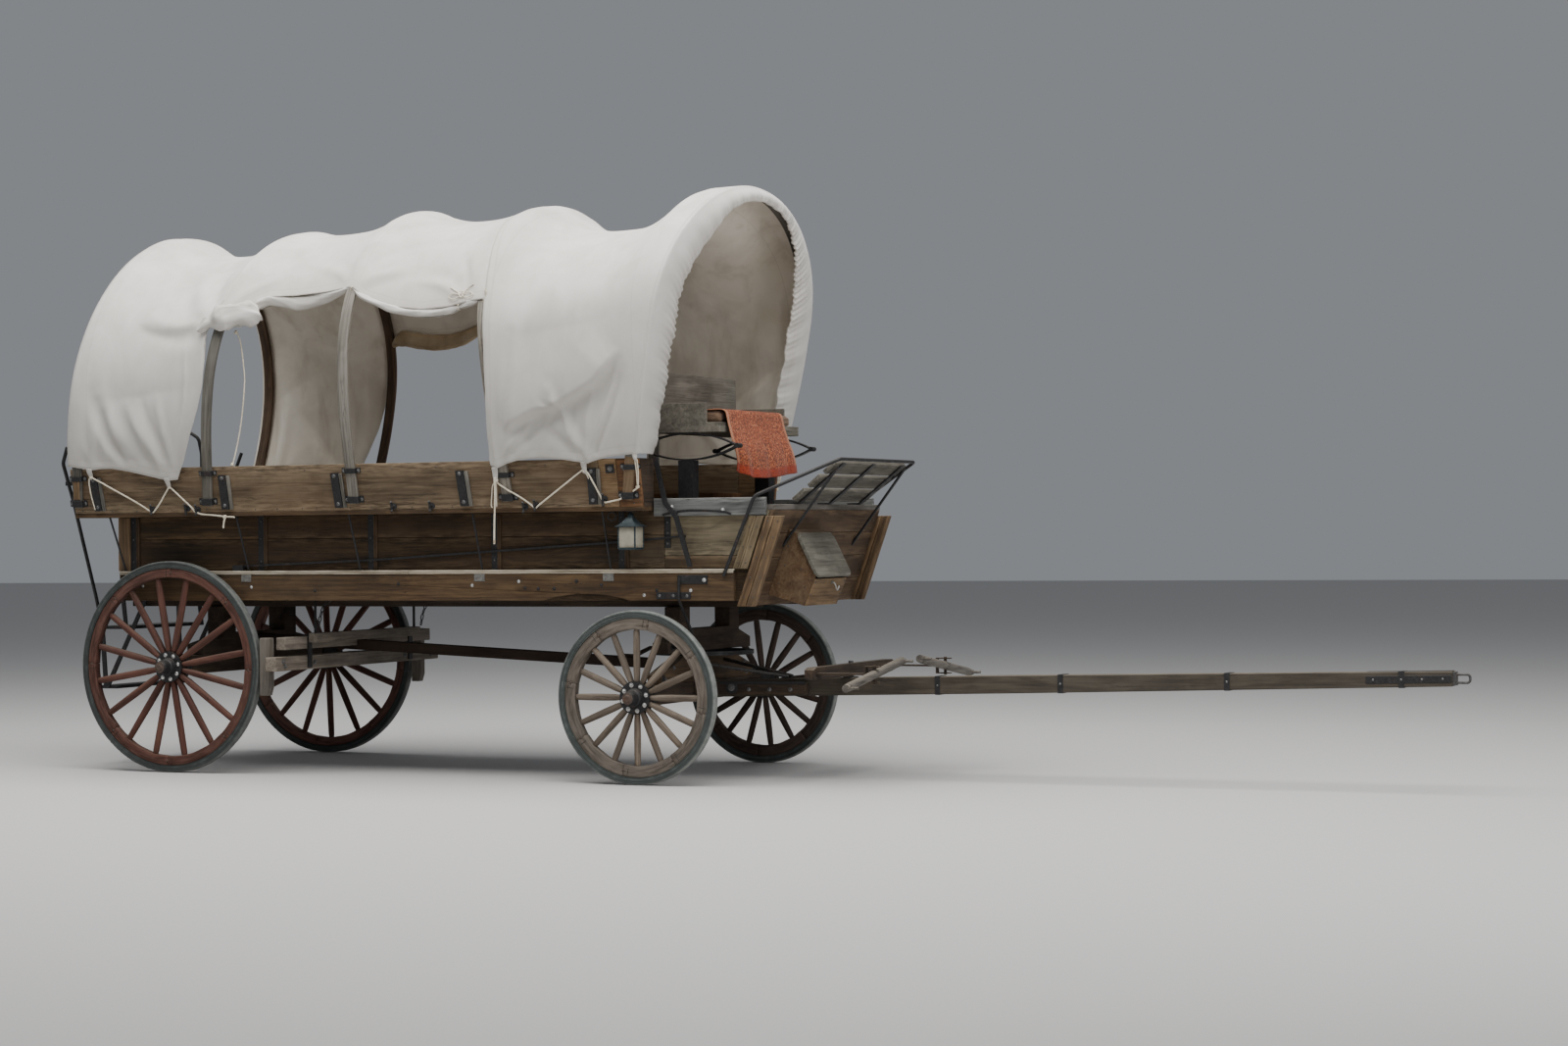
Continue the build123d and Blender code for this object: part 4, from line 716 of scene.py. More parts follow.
def rug_mat():
    """Speckled wool with ribbed selvages and a plain red border at its foot."""
    m, nt, b = nt_new("rug_wool")
    g = G(nt)
    obj = g.n("ShaderNodeTexCoord").outputs["Object"]
    bd, sv = g.attr("border")[2], g.attr("selvage")[2]
    sp_ = g.noise(g.vmath("MULTIPLY", obj, (86, 62, 86)), 1.0, 2.0, .6)
    sp2 = g.noise(g.vmath("MULTIPLY", obj, (60, 44, 60)), 1.7, 2.0, .6)
    big = g.noise(obj, 6.0, 4.0, .6)
    col = g.mix(g.fac(sp_, .40, .55), srgb(106, 46, 24), srgb(156, 78, 42))
    col = g.mix(g.fac(sp2, .56, .61, 0.0, .9), col, srgb(74, 36, 24))
    col = g.mix(g.fac(sp2, .42, .38, 0.0, .6), col, srgb(206, 138, 98))
    rib = g.math("SINE", g.math("MULTIPLY", sv, 2 * math.pi / .007))
    ribc = g.mix(g.fac(rib, -.4, .6), srgb(140, 78, 50), srgb(204, 144, 108))
    col = g.mix(g.fac(sv, .026, .030, 1.0, 0.0), col, ribc)
    red = g.mix(g.fac(sp_, .35, .6), srgb(122, 38, 16), srgb(156, 58, 26))
    col = g.mix(g.fac(bd, .046, .052, 1.0, 0.0), col, red)
    line_ = g.fac(g.math("ABSOLUTE", g.math("SUBTRACT", bd, .056)), .0, .004, 1.0, 0.0)
    col = g.mix(g.math("MULTIPLY", line_, .6), col, srgb(150, 60, 36))
    col = g.mix(g.fac(big, .5, .75, 0.0, .25), col, srgb(120, 66, 44))
    g.put(b.inputs["Base Color"], col)
    b.inputs["Roughness"].default_value = .95
    b.inputs["Sheen Weight"].default_value = .08
    h = g.math("ADD", g.math("MULTIPLY", sp_, 1.0), g.math("MULTIPLY", g.math("MULTIPLY", rib, .35), g.fac(sv, .026, .030, 1.0, 0.0)))
    g.put(b.inputs["Normal"], g.bump(h, .7, .003))
    return m


M["pane"], M["cushion"], M["rug"] = pane_mat(), cushion_mat(), rug_mat()

# ------------------------------------------------------------------ CAD nodes that stay
WHEELS = {}
for end, x, R, yc, rf in (("rear", 0.0, .635, .867, .537), ("front", 3.13, .490, .857, .382)):
    for side, s in (("right", -1), ("left", 1)):
        WHEELS[end, side] = dict(c=np.array(P(x, s * yc, R)), R=R, rf=rf, s=s)


def finish_node(name, mat, bevel=.003, segs=2, angle=32, smooth_angle=35):
    """A CAD node keeps its shape and gets its finish and slightly worn edges."""
    o = N[name]
    o.data.materials.clear()
    o.data.materials.append(mat)
    if bevel:
        w = o.modifiers.new("weld", "WELD")
        w.merge_threshold = .00002
        b = o.modifiers.new("worn_edges", "BEVEL")
        b.width = bevel
        b.segments = segs
        b.limit_method = "ANGLE"
        b.angle_limit = math.radians(angle)
        b.harden_normals = False
        b.use_clamp_overlap = True
    return o


red_pal = dict(dark=srgb(42, 24, 20), mid=srgb(84, 51, 42), light=srgb(118, 80, 66), grey=srgb(118, 94, 82))
# dark palette for the far front wheel: partly its own darker wood, partly painted shade for its shaded far side
far_wheel_shade_pal = dict(dark=srgb(28, 21, 18), mid=srgb(48, 36, 31), light=srgb(70, 54, 46), grey=srgb(84, 72, 64))
tau_pal = dict(dark=srgb(66, 56, 47), mid=srgb(118, 105, 92), light=srgb(156, 143, 129), grey=srgb(140, 133, 123))
TURNED = {("rear", "right"): 0.43, ("rear", "left"): 0.10, ("front", "right"): 0.0, ("front", "left"): 0.3}


def wheel_wood(end, side):
    """Eight sawn felloes and sixteen shaved spokes."""
    w = WHEELS[end, side]
    c, s, R, rf = w["c"], w["s"], w["R"], w["rf"]
    ro, hw = R - .0422, .024
    fel, spk = Acc(), Acc()
    turn = TURNED[end, side]
    sec = []
    r = .0050
    for cx, cy, a0 in ((0, 0, 180), (1, 0, 270), (1, 1, 0), (0, 1, 90)):
        for q in range(4):
            an = math.radians(a0 + 30 * q)
            sec.append(((r if cx == 0 else (ro - rf) - r) + r * math.cos(an), (r if cy == 0 else 2 * hw - r) + r * math.sin(an)))
    for i in range(8):
        a0 = 2 * math.pi * (2 * i + turn - .5) / 16 + .0008 / ro
        a1 = 2 * math.pi * (2 * i + turn + 1.5) / 16 - .0008 / ro
        bid = RNG.uniform()
        v, g, e = [], [], []
        ts = np.r_[a0, a0 + .0035, np.linspace(a0, a1, 17)[1:-1], a1 - .0035, a1]
        for q, an in enumerate(ts):
            k = .93 if q in (0, len(ts) - 1) else 1.0
            for a_, b_ in sec:
                rad = rf + (ro - rf) / 2 + (a_ - (ro - rf) / 2) * k
                if a_ < .5 * (ro - rf):
                    rad += .0010 * math.sin(an * 23 + i)
                y = (b_ - hw) * k
                v.append(c + np.array((rad * math.cos(an), -s * y, rad * math.sin(an))))
                g.append((an * ro, a_, b_))
                e.append(1.0 if min(b_, 2 * hw - b_) < .003 or q in (0, len(ts) - 1) else 0.0)
        f = ring_faces(len(ts), len(sec))
        fel.add(v, f if s > 0 else [q[::-1] for q in f], g, bid, 0, True, e)
    for i in range(16):
        an = 2 * math.pi * (i + turn) / 16
        rad_, tan_, ax_ = np.array((math.cos(an), 0, math.sin(an))), np.array((-math.sin(an), 0, math.cos(an))), np.array((0, 1.0, 0))
        L = rf - .084
        v, g = [], []
        m = 14
        thin = .94 if end == "front" else 1.0
        for t in (0, .04, .10, .18, .30, .45, .60, .75, .88, .95, .972, .985, 1.008):
            a_ = np.interp(t, [0, .10, .18, .45, .75, .95, .972, 1], [.0215, .0205, .0185, .0182, .0172, .0160, .0150, .0138]) * thin
            b_ = np.interp(t, [0, .10, .18, .45, .75, .95, .972, 1], [.0158, .0160, .0172, .0178, .0170, .0160, .0150, .0138]) * thin
            a_, b_ = a_ * np.interp(t, [0, .16, 1], [1, 1.12, 1.12]), b_ * np.interp(t, [0, .16, 1], [1, 1.20, 1.20])
            for q in range(m):
                th = 2 * math.pi * q / m
                wob = 1 + .02 * math.sin(5 * t + i * 1.7 + th * 2)
                v.append(c + rad_ * (.084 + L * t) + ax_ * (a_ * wob * math.cos(th)) + tan_ * (b_ * wob * math.sin(th)))
                g.append((L * t, a_ * math.cos(th), b_ * math.sin(th)))
        f = ring_faces(13, m)
        spk.add(v, f, g, RNG.uniform())
    body = f"{end}_wheel_{side}"
    near = side == "right"
    if end == "rear":
        pf, ps, kw = (tone(red_pal, .62), tone(red_pal, .80, 1.0), dict(greyness=.18, paint=.45, stain=srgb(84, 48, 39))) if near else (tone(red_pal, .78), tone(red_pal, .80, 1.0), dict(greyness=.3))
    else:
        # the near front wheel is grey; the far one takes the dark palette, which is partly painted shade
        pf, ps, kw = (tone(tau_pal, .47, .99), tone(tau_pal, .58, 1.05), dict(greyness=.45)) if near else (tone(far_wheel_shade_pal, 1.15), tone(far_wheel_shade_pal, 1.25), dict(greyness=.3))
    m1 = wood(f"wheel_felloe_{end}_{side}", **pf, dirt=.35, crack=.7, dust=.10, edge_light=.4, **kw)
    m2 = wood(f"wheel_spokes_{end}_{side}", **ps, dirt=.40, crack=.9, dust=.15, edge_light=.3, **kw)
    o = fel.obj(f"{end}_felloes_{side}", m1, body)
    o2 = spk.obj(f"{end}_spokes_{side}", m2, body)
    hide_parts(f"{end}_felloe_and_spokes_{side}")
    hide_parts(f"{end}_felloe_and_spokes_{side}")


for (end, side), w in WHEELS.items():
    wheel_wood(end, side)
    finish_node(f"{end}_tyre_{side}", rubber(f"tyre_rubber_{end}_{side}", tuple(w["c"]), w["R"], .80 if end == "rear" else 1.25), 0)
    finish_node(f"{end}_hub_{side}", M["iron"], .0015)

PLAN = {
    "rear_axle": ("dark_y", .004), "rear_bolster": ("dark_y", .004), "front_axle": ("dark_y", .004), "front_bolster": ("bolster_y", .004),
    "turning_ring_lower": ("iron", .0015), "turning_ring_upper": ("iron", .0015), "upper_bolster": ("dark_y", .004), "reach_pole": ("reach", .004),
    "hounds": ("dark_x", .004), "tongue": ("tongue_x", .005), "tongue_irons": ("iron_worn", .0015), "doubletree": ("dark_y", .003),
    "singletree_right": ("grey_y", .002), "singletree_left": ("grey_y", .002), "bed_floor": ("dark_x", .003), "side_shelves": ("sill_x", .003),
    "side_irons": ("iron", .0012), "tail_boards": ("oak_y", .003), "door_hinge_pins": ("iron", .001), "front_bulkhead": ("dark_y", .003),
    "driver_floor": ("grey_y", .003), "benches": ("honey_x", .004), "driver_seat": ("seat_y", .004),
    "seat_springs": ("iron", .0015), "footboard_irons": ("iron", .0012), "tool_box": ("box_y", .003), "tool_box_lid": ("lid_y", .003),
    "brake_linkage": ("iron", .0012), "brake_hangers": ("iron", .0012),
    "brake_beam": ("beam_y", .004), "brake_shoes": ("shoe_z", .006), "rear_ladder": ("iron", .0012), "step_rails": ("sill_x", .004),
}
for k, (m, b) in PLAN.items():
    finish_node(k, M[m], b)

# ------------------------------------------------------------------ boards that replace plain CAD blocks
XT, XO, XF = -.440, -.665, 3.200
Z_F1, Z_LEDGE, Z_W1, Z_S1, Z_FL = 1.060, 1.206, 1.535, 1.560, 1.830
dash = lambda z: 3.725 + (190.0 / 530.0) * (z - 1.000)
flare_y = lambda z: .905 + .055 * (z - 1.560) / .270

a = Acc()
for s in (-1, 1):
    zs = [1.030, 1.212, 1.398, 1.535]
    for z0, z1 in zip(zs, zs[1:]):
        z0_, z1_ = z0 + .0012, z1 - .0012
        c = np.zeros((2, 2, 2, 3))
        for i in range(2):
            for j, z in enumerate((z0_, z1_)):
                for k, y in enumerate((.735, .765)):
                    c[i, j, k] = P(XT if i == 0 else 3.030, s * y, z)
        board(a, c, r=.0035, warp=.0006)
        c[0, :, :, 0], c[1, :, :, 0] = 3.032 + OX, 3.2635 + OX
        board(a, c, r=.0035, mat=3)
    zs = [1.030, 1.212, 1.283, 1.535]
    for q, (z0, z1) in enumerate(zip(zs, zs[1:])):
        c = np.zeros((2, 2, 2, 3))
        for i in range(2):
            for j, z in enumerate((z0 + .0012, z1 - .0012)):
                for k, y in enumerate((.735, .765)):
                    c[i, j, k] = P(3.2655 if i == 0 else dash(z), s * y, z)
        board(a, c, r=.0035, mat=(0, 2, 1)[q])
o = a.obj("lower_side_boards", [M["dark"], M["panel"], M["wall_mid"], M["wall_mid"]], "wagon")
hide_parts("lower_sides")


def flare_piece(acc, s, x0, x1, z0, z1, out=0.0, mat=0, **kw):
    c = np.zeros((2, 2, 2, 3))
    for i, x in enumerate((x0, x1)):
        for j, z in enumerate((z0, z1)):
            for k, d in enumerate((-.025, out)):
                c[i, j, k] = P(x, s * (flare_y(z) + d), z)
    board(acc, c, mat=mat, **kw)


a = Acc()
for s in (-1, 1):
    flare_piece(a, s, XO, 2.944, Z_S1, Z_FL, r=.0045, warp=.0, mat=0)
    flare_piece(a, s, 2.946, 3.057, Z_S1, Z_FL, r=.004, mat=1)
    flare_piece(a, s, 3.060, XF, Z_S1, Z_FL, r=.004, mat=2)
o = a.obj("flared_side_boards", [M["oak"], M["honey"], M["orange"]], "wagon")
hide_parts("flare_boards")

# pale worn strip along the top of the long rail
a = Acc()
for s in (-1, 1):
    x = -.420
    for x1 in (1.62, 3.705):
        c = np.zeros((2, 2, 2, 3))
        for i, xx in enumerate((x, x1)):
            for j, y in enumerate((.7655, .806)):
                for k, z in enumerate((1.186, 1.2085)):
                    c[i, j, k] = P(xx, s * y, z)
        board(a, c, r=.004, rough=.002)
        x = x1 + .002
o = a.obj("ledge_strips", M["cream"], "wagon")

# rails beside the driver's floor, and the sloping posts and cleats of the front corner
a = Acc()
for s in (-1, 1):
    y0, y1 = sorted((s * .7655, s * .793))
    board(a, corners(3.210, 3.900, y0, y1, 1.505, 1.605, "x", "z"), r=.005, mat=0)
    for x0, x1, zb, zt, ya, yb, mt in ((0, .051, 1.000, 1.500, .7655, .800, 1), (.054, .105, 1.000, 1.500, .7655, .800, 1), (-.105, -.062, 1.2085, 1.5035, .7655, .790, 2), (-.060, -.014, 1.2085, 1.5035, .7655, .790, 2)):
        c = np.zeros((2, 2, 2, 3))
        for i, z in enumerate((zb, zt)):
            for j, dx in enumerate((x0, x1)):
                for k, y in enumerate((ya, yb)):
                    c[i, j, k] = P(dash(z) + dx, s * y, z)
        board(a, c, r=.004, rough=.002, mat=mt)
o = a.obj("front_corner_boards", [M["blue_grey"], M["post"], M["cleat"]], "wagon")
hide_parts("front_side_boards")

# sloping front board as four planks
a = Acc()
zs = [1.000, 1.135, 1.270, 1.405, 1.535]
for z0, z1 in zip(zs, zs[1:]):
    c = np.zeros((2, 2, 2, 3))
    for i, y in enumerate((-.765, .765)):
        for j, z in enumerate((z0 + .001, z1 - .001)):
            for k, d in enumerate((0, .030)):
                c[i, j, k] = P(dash(z) + d, y, z)
    board(a, c, r=.003)
o = a.obj("front_planks", M["front"], "wagon")
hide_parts("front_board")

# footboard planks
A38 = math.radians(38.5)
UX, UZ = math.cos(A38), math.sin(A38)
fbp = lambda s_, n: (3.950 + UX * s_ - UZ * n, 1.575 + UZ * s_ + UX * n)
a = Acc()
for s0 in (.006, .127, .248):
    c = np.zeros((2, 2, 2, 3))
    for i, y in enumerate((-.520, .520)):
        for j, q in enumerate((s0, s0 + .094)):
            for k, n_ in enumerate((.001, .026)):
                x, z = fbp(q, n_)
                c[i, j, k] = P(x, y, z)
    board(a, c, r=.004, rough=.002)
o = a.obj("footboard_planks", M["foot"], "wagon")
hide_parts("footboard")

# rear door of upright planks
DX = -.670
a = Acc()
n = 6
for i in range(n):
    y0, y1 = -.352 + .704 * i / n, -.352 + .704 * (i + 1) / n
    board(a, corners(DX - .024, DX - .001, y0 + .001, y1 - .001, 1.072, 1.800, "z", "y"), r=.003)
for z in (1.180, 1.690):
    board(a, corners(DX - .001, DX + .0, -.30, .30, z - .0, z + .001, "y", "z"), r=.0003)
o = a.obj("rear_door_planks", M["oak"], "rear_door")
ir = Acc()
for z in (1.180, 1.690):
    hx, hy = -.703, .364
    lathe(ir, P(hx, hy, z), (0, 0, 1), [(.0042, .0), (.008, .0), (.008, .032), (.0042, .032)], 16)
    strip(ir, [P(hx - .001, hy - .001, z + .016), P(hx + .002, hy - .030, z + .016), P(hx + .005, hy - .24, z + .016)], (0, 0, 1), .030, .005)
    for dy in (.06, .13, .21):
        bolt(ir, P(hx + .001, hy - dy, z + .016), (-1, 0, 0), .008)
tube(ir, curve_line([P(-.697, -.27, 1.38), P(-.735, -.27, 1.39), P(-.740, -.27, 1.45), P(-.735, -.27, 1.51), P(-.697, -.27, 1.52)], .008), .007, 8)
o2 = ir.obj("rear_door_irons", M["iron"], "rear_door")
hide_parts("rear_door")

# ------------------------------------------------------------------ bows and the shape of the canvas
BOWS = [(-.600, .125, 3.288, 2.210), (.340, .12, 3.284, 2.310), (1.333, 0.0, 3.374, 2.400), (2.338, -.09, 3.352, 2.500), (3.160, .185, 3.404, 2.640)]
CROWN = [3.157, 3.270, 3.300, 3.190]
TH = math.atan2(.055, .270)
ZL = 1.950
BT = .022


def profile(z_up, z_top, off, fall=0.0, z0=1.600, n=(24, 14, 64)):
    """Dense (y, z) points from the foot to the crown of a bow, off outwards from its inner face."""
    z = np.linspace(z0, ZL, n[0], endpoint=False)
    y = flare_y(z) + off
    r = (z_up - ZL) / math.sin(TH)
    a_ = flare_y(ZL) + r * (1 - math.cos(TH))
    th = TH * (1 - np.linspace(0, 1, n[1], endpoint=False))
    zb = z_up - r * np.sin(th)
    yb = a_ - r * (1 - np.cos(th)) + off - fall * ((zb - ZL) / (z_up - ZL)) ** 2
    b_ = z_top - BT + off - z_up
    gm = np.linspace(0, math.pi / 2, n[2])
    zc = z_up + b_ * np.sin(gm)
    yc_ = (a_ + off - fall) * np.cos(gm)
    return np.r_[y, yb, yc_], np.r_[z, zb, zc]


def station(u):
    """Bow parameters at a place along the canvas: lean, top, upright height, inward fall."""
    xs = [b[0] for b in BOWS]
    if u <= xs[0]:
        return BOWS[0][1], BOWS[0][2], BOWS[0][3], 0.0
    if u >= xs[-1]:
        return BOWS[-1][1], BOWS[-1][2], BOWS[-1][3], 0.0
    i = max(j for j in range(4) if u >= xs[j])
    L = xs[i + 1] - xs[i]
    t = (u - xs[i]) / L
    tt = min(1, max(0, (u - xs[i] - .034) / (L - .034 - (.034 if i != 3 else .088))))
    p = 2.4 if i != 3 else 2.8
    f = 1 - abs(2 * tt - 1) ** p
    k = BOWS[i][1] + (BOWS[i + 1][1] - BOWS[i][1]) * t
    zt = BOWS[i][2] + (BOWS[i + 1][2] - BOWS[i][2]) * t
    zu = BOWS[i][3] + (BOWS[i + 1][3] - BOWS[i][3]) * t
    mid = (BOWS[i][2] + BOWS[i + 1][2]) / 2
    return k, zt - (mid - (CROWN[i] - .0066)) * f, zu, .030 * f


# the wooden bows, swept along the same line
a = Acc()
# materials of each bow's near and far half: the far halves of the two rear bows, and of the fourth, get darker wood
# than their near halves, painted shade for the inside of the cover where they are seen
BOW_MAT = [(0, 2), (0, 2), (1, 1), (1, 0), (0, 0)]
for (x0, k, zt, zu), bm in zip(BOWS, BOW_MAT):
    y, z = profile(zu, zt, BT / 2)
    yy, zz = np.r_[-y, y[-2::-1]], np.r_[z, z[-2::-1]]
    pts = resample(np.stack([x0 + k * (zz - 1.83) + OX, yy, zz], 1), .035)
    tg = np.gradient(pts, axis=0)
    tg /= np.linalg.norm(tg, axis=1)[:, None]
    side = np.tile((1.0, 0, 0), (len(pts), 1))
    side = side - tg * (side * tg).sum(1)[:, None]
    side /= np.linalg.norm(side, axis=1)[:, None]
    nr = np.cross(side, tg)
    w, t_, r = .0645, .0212, .0045
    prof_ = []
    for cx, cy, a0 in ((-1, -1, 180), (1, -1, 270), (1, 1, 0), (-1, 1, 90)):
        for q in range(3):
            an = math.radians(a0 + 45 * q)
            prof_.append((cx * (w / 2 - r) + r * math.cos(an), cy * (t_ / 2 - r) + r * math.sin(an)))
    d = np.r_[0, np.cumsum(np.linalg.norm(np.diff(pts, axis=0), axis=1))]
    bid = RNG.uniform()
    v = np.array([p + aa * s_ + bb * q for p, s_, q in zip(pts, side, nr) for aa, bb in prof_])
    g_ = np.array([(d[i], aa, bb) for i in range(len(pts)) for aa, bb in prof_])
    fcs = ring_faces(len(pts), 12)
    half = len(pts) // 2
    a.add(v, fcs, g_, bid, 0, True)
    tags = []
    for q in fcs:
        i = min(q) // 12
        low = pts[min(i, len(pts) - 1)][2] < 1.83
        tags.append(3 if (x0 > 3 and low) else bm[0] if i < half else bm[1])
    a.m[-len(fcs):] = tags
o = a.obj("bent_bows", [M["grey"], M["bow_light"], M["bow_dark"], M["honey"]], "wagon")
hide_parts("canopy_bows")

# lower edge of the cloth: (u, z) along the wagon, right side from the photographed line, left its like
EDGE_R = [(-.70, 1.850), (-.636, 1.846), (-.578, 1.837), (-.484, 1.820), (-.412, 1.829), (-.340, 1.830), (-.218, 1.811), (-.077, 1.782), (.029, 1.760), (.079, 1.752),
          (.140, 1.756), (.155, 1.790), (.190, 1.863), (.230, 2.000), (.265, 2.100), (.285, 2.170), (.310, 2.307), (.325, 2.450), (.333, 2.600), (.340, 2.665), (.37, 2.700), (.417, 2.730),
          (.526, 2.800), (.613, 2.832), (.856, 2.828), (1.125, 2.842), (1.305, 2.860), (1.345, 2.858), (1.432, 2.800), (1.669, 2.733), (1.872, 2.708), (2.076, 2.714), (2.202, 2.735), (2.342, 2.748), (2.40, 2.752)]
EDGE_L = [(-.70, 1.850), (-.60, 1.842), (-.484, 1.818), (-.36, 1.836), (-.20, 1.838), (-.05, 1.812), (.075, 1.758), (.150, 1.766), (.197, 1.863), (.235, 2.000), (.268, 2.110),
          (.300, 2.300), (.322, 2.502), (.3355, 2.650), (.42, 2.720), (.60, 2.705), (.75, 2.690), (.95, 2.700), (1.13, 2.760), (1.305, 2.80), (1.345, 2.80), (1.42, 2.76), (1.60, 2.690),
          (1.80, 2.650), (2.0, 2.670), (2.202, 2.722), (2.342, 2.745), (2.40, 2.750)]
EDGE_F = [(2.20, 1.838), (2.244, 1.822), (2.307, 1.783), (2.384, 1.812), (2.455, 1.829), (2.529, 1.837), (2.623, 1.839), (2.748, 1.828), (2.841, 1.814), (2.890, 1.800), (2.946, 1.818),
          (3.026, 1.838), (3.149, 1.848), (3.192, 1.852), (3.30, 1.855)]
TIES_R = {"rear": [-.484, .079], "front": [2.307, 2.890, 3.195]}

# folds: (side, points (x, z), half width, height); height above zero is a ridge
FOLDS = [
    (-1, [(.20, 3.03), (.307, 2.886), (.40, 2.74)], .060, -.016),
    (-1, [(.02, 3.08), (.12, 2.93), (.25, 2.80), (.36, 2.71)], .050, .012),
    (-1, [(-.16, 2.75), (.047, 2.671), (.248, 2.664), (.38, 2.70)], .034, .007),
    (-1, [(-.10, 2.66), (.08, 2.60), (.26, 2.60), (.37, 2.66)], .040, -.006),
    (-1, [(-.45, 2.29), (-.352, 2.047), (-.26, 1.93), (-.20, 1.86)], .036, -.017),
    (-1, [(-.37, 2.27), (-.29, 2.07), (-.20, 1.93)], .040, .016),
    (-1, [(-.20, 2.22), (-.120, 2.07), (-.02, 1.92), (.06, 1.80)], .032, .018),
    (-1, [(-.10, 2.25), (-.03, 2.08), (.045, 1.93), (.08, 1.80)], .026, -.015),
    (-1, [(.02, 2.25), (.069, 2.026), (.10, 1.86)], .024, .015),
    (-1, [(-.53, 1.99), (-.50, 1.88), (-.487, 1.82)], .022, .010),
    (-1, [(-.40, 2.02), (-.45, 1.90), (-.48, 1.83)], .022, -.010),
    (-1, [(2.902, 1.84), (2.960, 1.95), (3.010, 2.05), (3.069, 2.186), (3.130, 2.34)], .018, .015),
    (-1, [(2.945, 1.85), (3.010, 1.98), (3.070, 2.10), (3.130, 2.25)], .022, -.012),
    (-1, [(2.880, 1.85), (2.905, 1.98), (2.925, 2.10), (2.95, 2.20)], .016, .008),
    (-1, [(2.800, 1.86), (2.812, 1.95), (2.815, 2.05), (2.82, 2.12)], .014, -.007),
    (-1, [(3.185, 1.86), (3.200, 2.00), (3.225, 2.15), (3.255, 2.30)], .013, -.009),
    (-1, [(3.150, 1.86), (3.165, 2.00), (3.190, 2.15), (3.22, 2.30)], .013, .008),
    (-1, [(3.10, 1.87), (3.12, 2.0), (3.15, 2.13)], .013, -.006),
    (-1, [(2.33, 1.81), (2.41, 1.90), (2.50, 1.99), (2.58, 2.07)], .018, .010),
    (-1, [(2.35, 1.82), (2.47, 1.91), (2.60, 1.99), (2.70, 2.06)], .018, -.008),
    (-1, [(2.50, 1.85), (2.56, 1.92), (2.62, 2.00), (2.67, 2.07)], .014, .007),
    (-1, [(2.66, 1.86), (2.70, 1.94), (2.73, 2.02)], .013, .006),
    (-1, [(2.74, 2.20), (2.73, 2.15), (2.76, 2.09), (2.78, 2.04)], .012, .009),
    (-1, [(2.64, 2.17), (2.69, 2.13), (2.75, 2.13)], .012, -.007),
    (-1, [(-.377, 2.16), (-.37, 2.09), (-.33, 1.99), (-.27, 1.90), (-.23, 1.85)], .022, -.013),
    (-1, [(-.33, 2.14), (-.31, 2.05), (-.25, 1.94), (-.20, 1.87)], .020, .010),
    (-1, [(-.168, 2.122), (-.12, 2.04), (-.07, 1.93), (-.03, 1.84)], .016, .009),
    (-1, [(.20, 2.58), (.23, 2.40), (.22, 2.20), (.17, 2.02), (.115, 1.86)], .016, .007),
    (-1, [(2.300, 1.80), (2.31, 2.10), (2.32, 2.50), (2.34, 2.80)], .020, .010),
    (-1, [(2.36, 1.83), (2.396, 2.074), (2.429, 2.319), (2.45, 2.55)], .026, -.012),
    (-1, [(2.897, 1.83), (2.814, 1.966), (2.748, 2.114), (2.70, 2.22)], .028, .016),
    (-1, [(2.86, 1.84), (2.74, 1.93), (2.63, 2.02)], .030, -.012),
    (-1, [(1.36, 2.87), (1.50, 2.93), (1.66, 2.96)], .030, .012),
    (-1, [(1.33, 2.88), (1.40, 3.00), (1.52, 3.10)], .030, -.010),
    (-1, [(1.31, 2.88), (1.20, 2.95), (1.02, 3.00)], .030, .010),
    (-1, [(2.10, 2.76), (1.95, 2.84), (1.78, 2.88)], .030, .012),
    (-1, [(2.15, 2.77), (2.10, 2.90), (2.02, 3.02)], .026, -.010),
    (-1, [(.45, 2.76), (.60, 2.88), (.80, 2.96)], .030, .010),
    (1, [(-.30, 2.25), (-.16, 2.05), (-.02, 1.90), (.06, 1.80)], .040, .018),
    (1, [(-.40, 2.30), (-.42, 2.10), (-.46, 1.86)], .036, -.016),
    (1, [(.16, 2.40), (.12, 2.15), (.09, 1.86)], .030, .016),
    (1, [(-.15, 2.70), (.05, 2.62), (.25, 2.62), (.36, 2.68)], .040, .016),
    (1, [(2.38, 1.86), (2.52, 2.05), (2.74, 2.22), (2.95, 2.40)], .045, .024),
    (1, [(2.90, 1.84), (2.98, 2.05), (3.08, 2.25), (3.16, 2.48)], .034, .018),
    (1, [(2.86, 1.84), (2.74, 1.98), (2.62, 2.10)], .034, -.016),
    (1, [(2.34, 1.84), (2.36, 2.15), (2.38, 2.50)], .026, -.012),
    (1, [(1.40, 2.82), (1.55, 2.92), (1.75, 2.98)], .034, .012),
    (1, [(1.90, 2.74), (1.80, 2.88), (1.66, 2.98)], .034, -.012),
    (1, [(.50, 2.76), (.66, 2.88), (.90, 2.94)], .034, .012),
]


# hanging folds: (side, line from the rear to the front, height above it, width, depth below it, width)
CREASES = [
    (-1, [(2.34, 1.960), (2.42, 2.035), (2.50, 2.075), (2.60, 2.115), (2.698, 2.130), (2.789, 2.171), (2.90, 2.225), (2.99, 2.278), (3.08, 2.375), (3.15, 2.45)], .032, .24, .032, .046),
    (-1, [(-.20, 2.735), (-.13, 2.690), (-.05, 2.668), (.046, 2.656), (.15, 2.660), (.24, 2.675), (.31, 2.70)], .009, .09, .006, .040),
    (1, [(2.36, 2.00), (2.55, 2.13), (2.80, 2.20), (3.00, 2.33), (3.14, 2.46)], .020, .24, .016, .055),
    (1, [(-.18, 2.72), (.0, 2.65), (.15, 2.655), (.30, 2.70)], .012, .09, .009, .030),
]


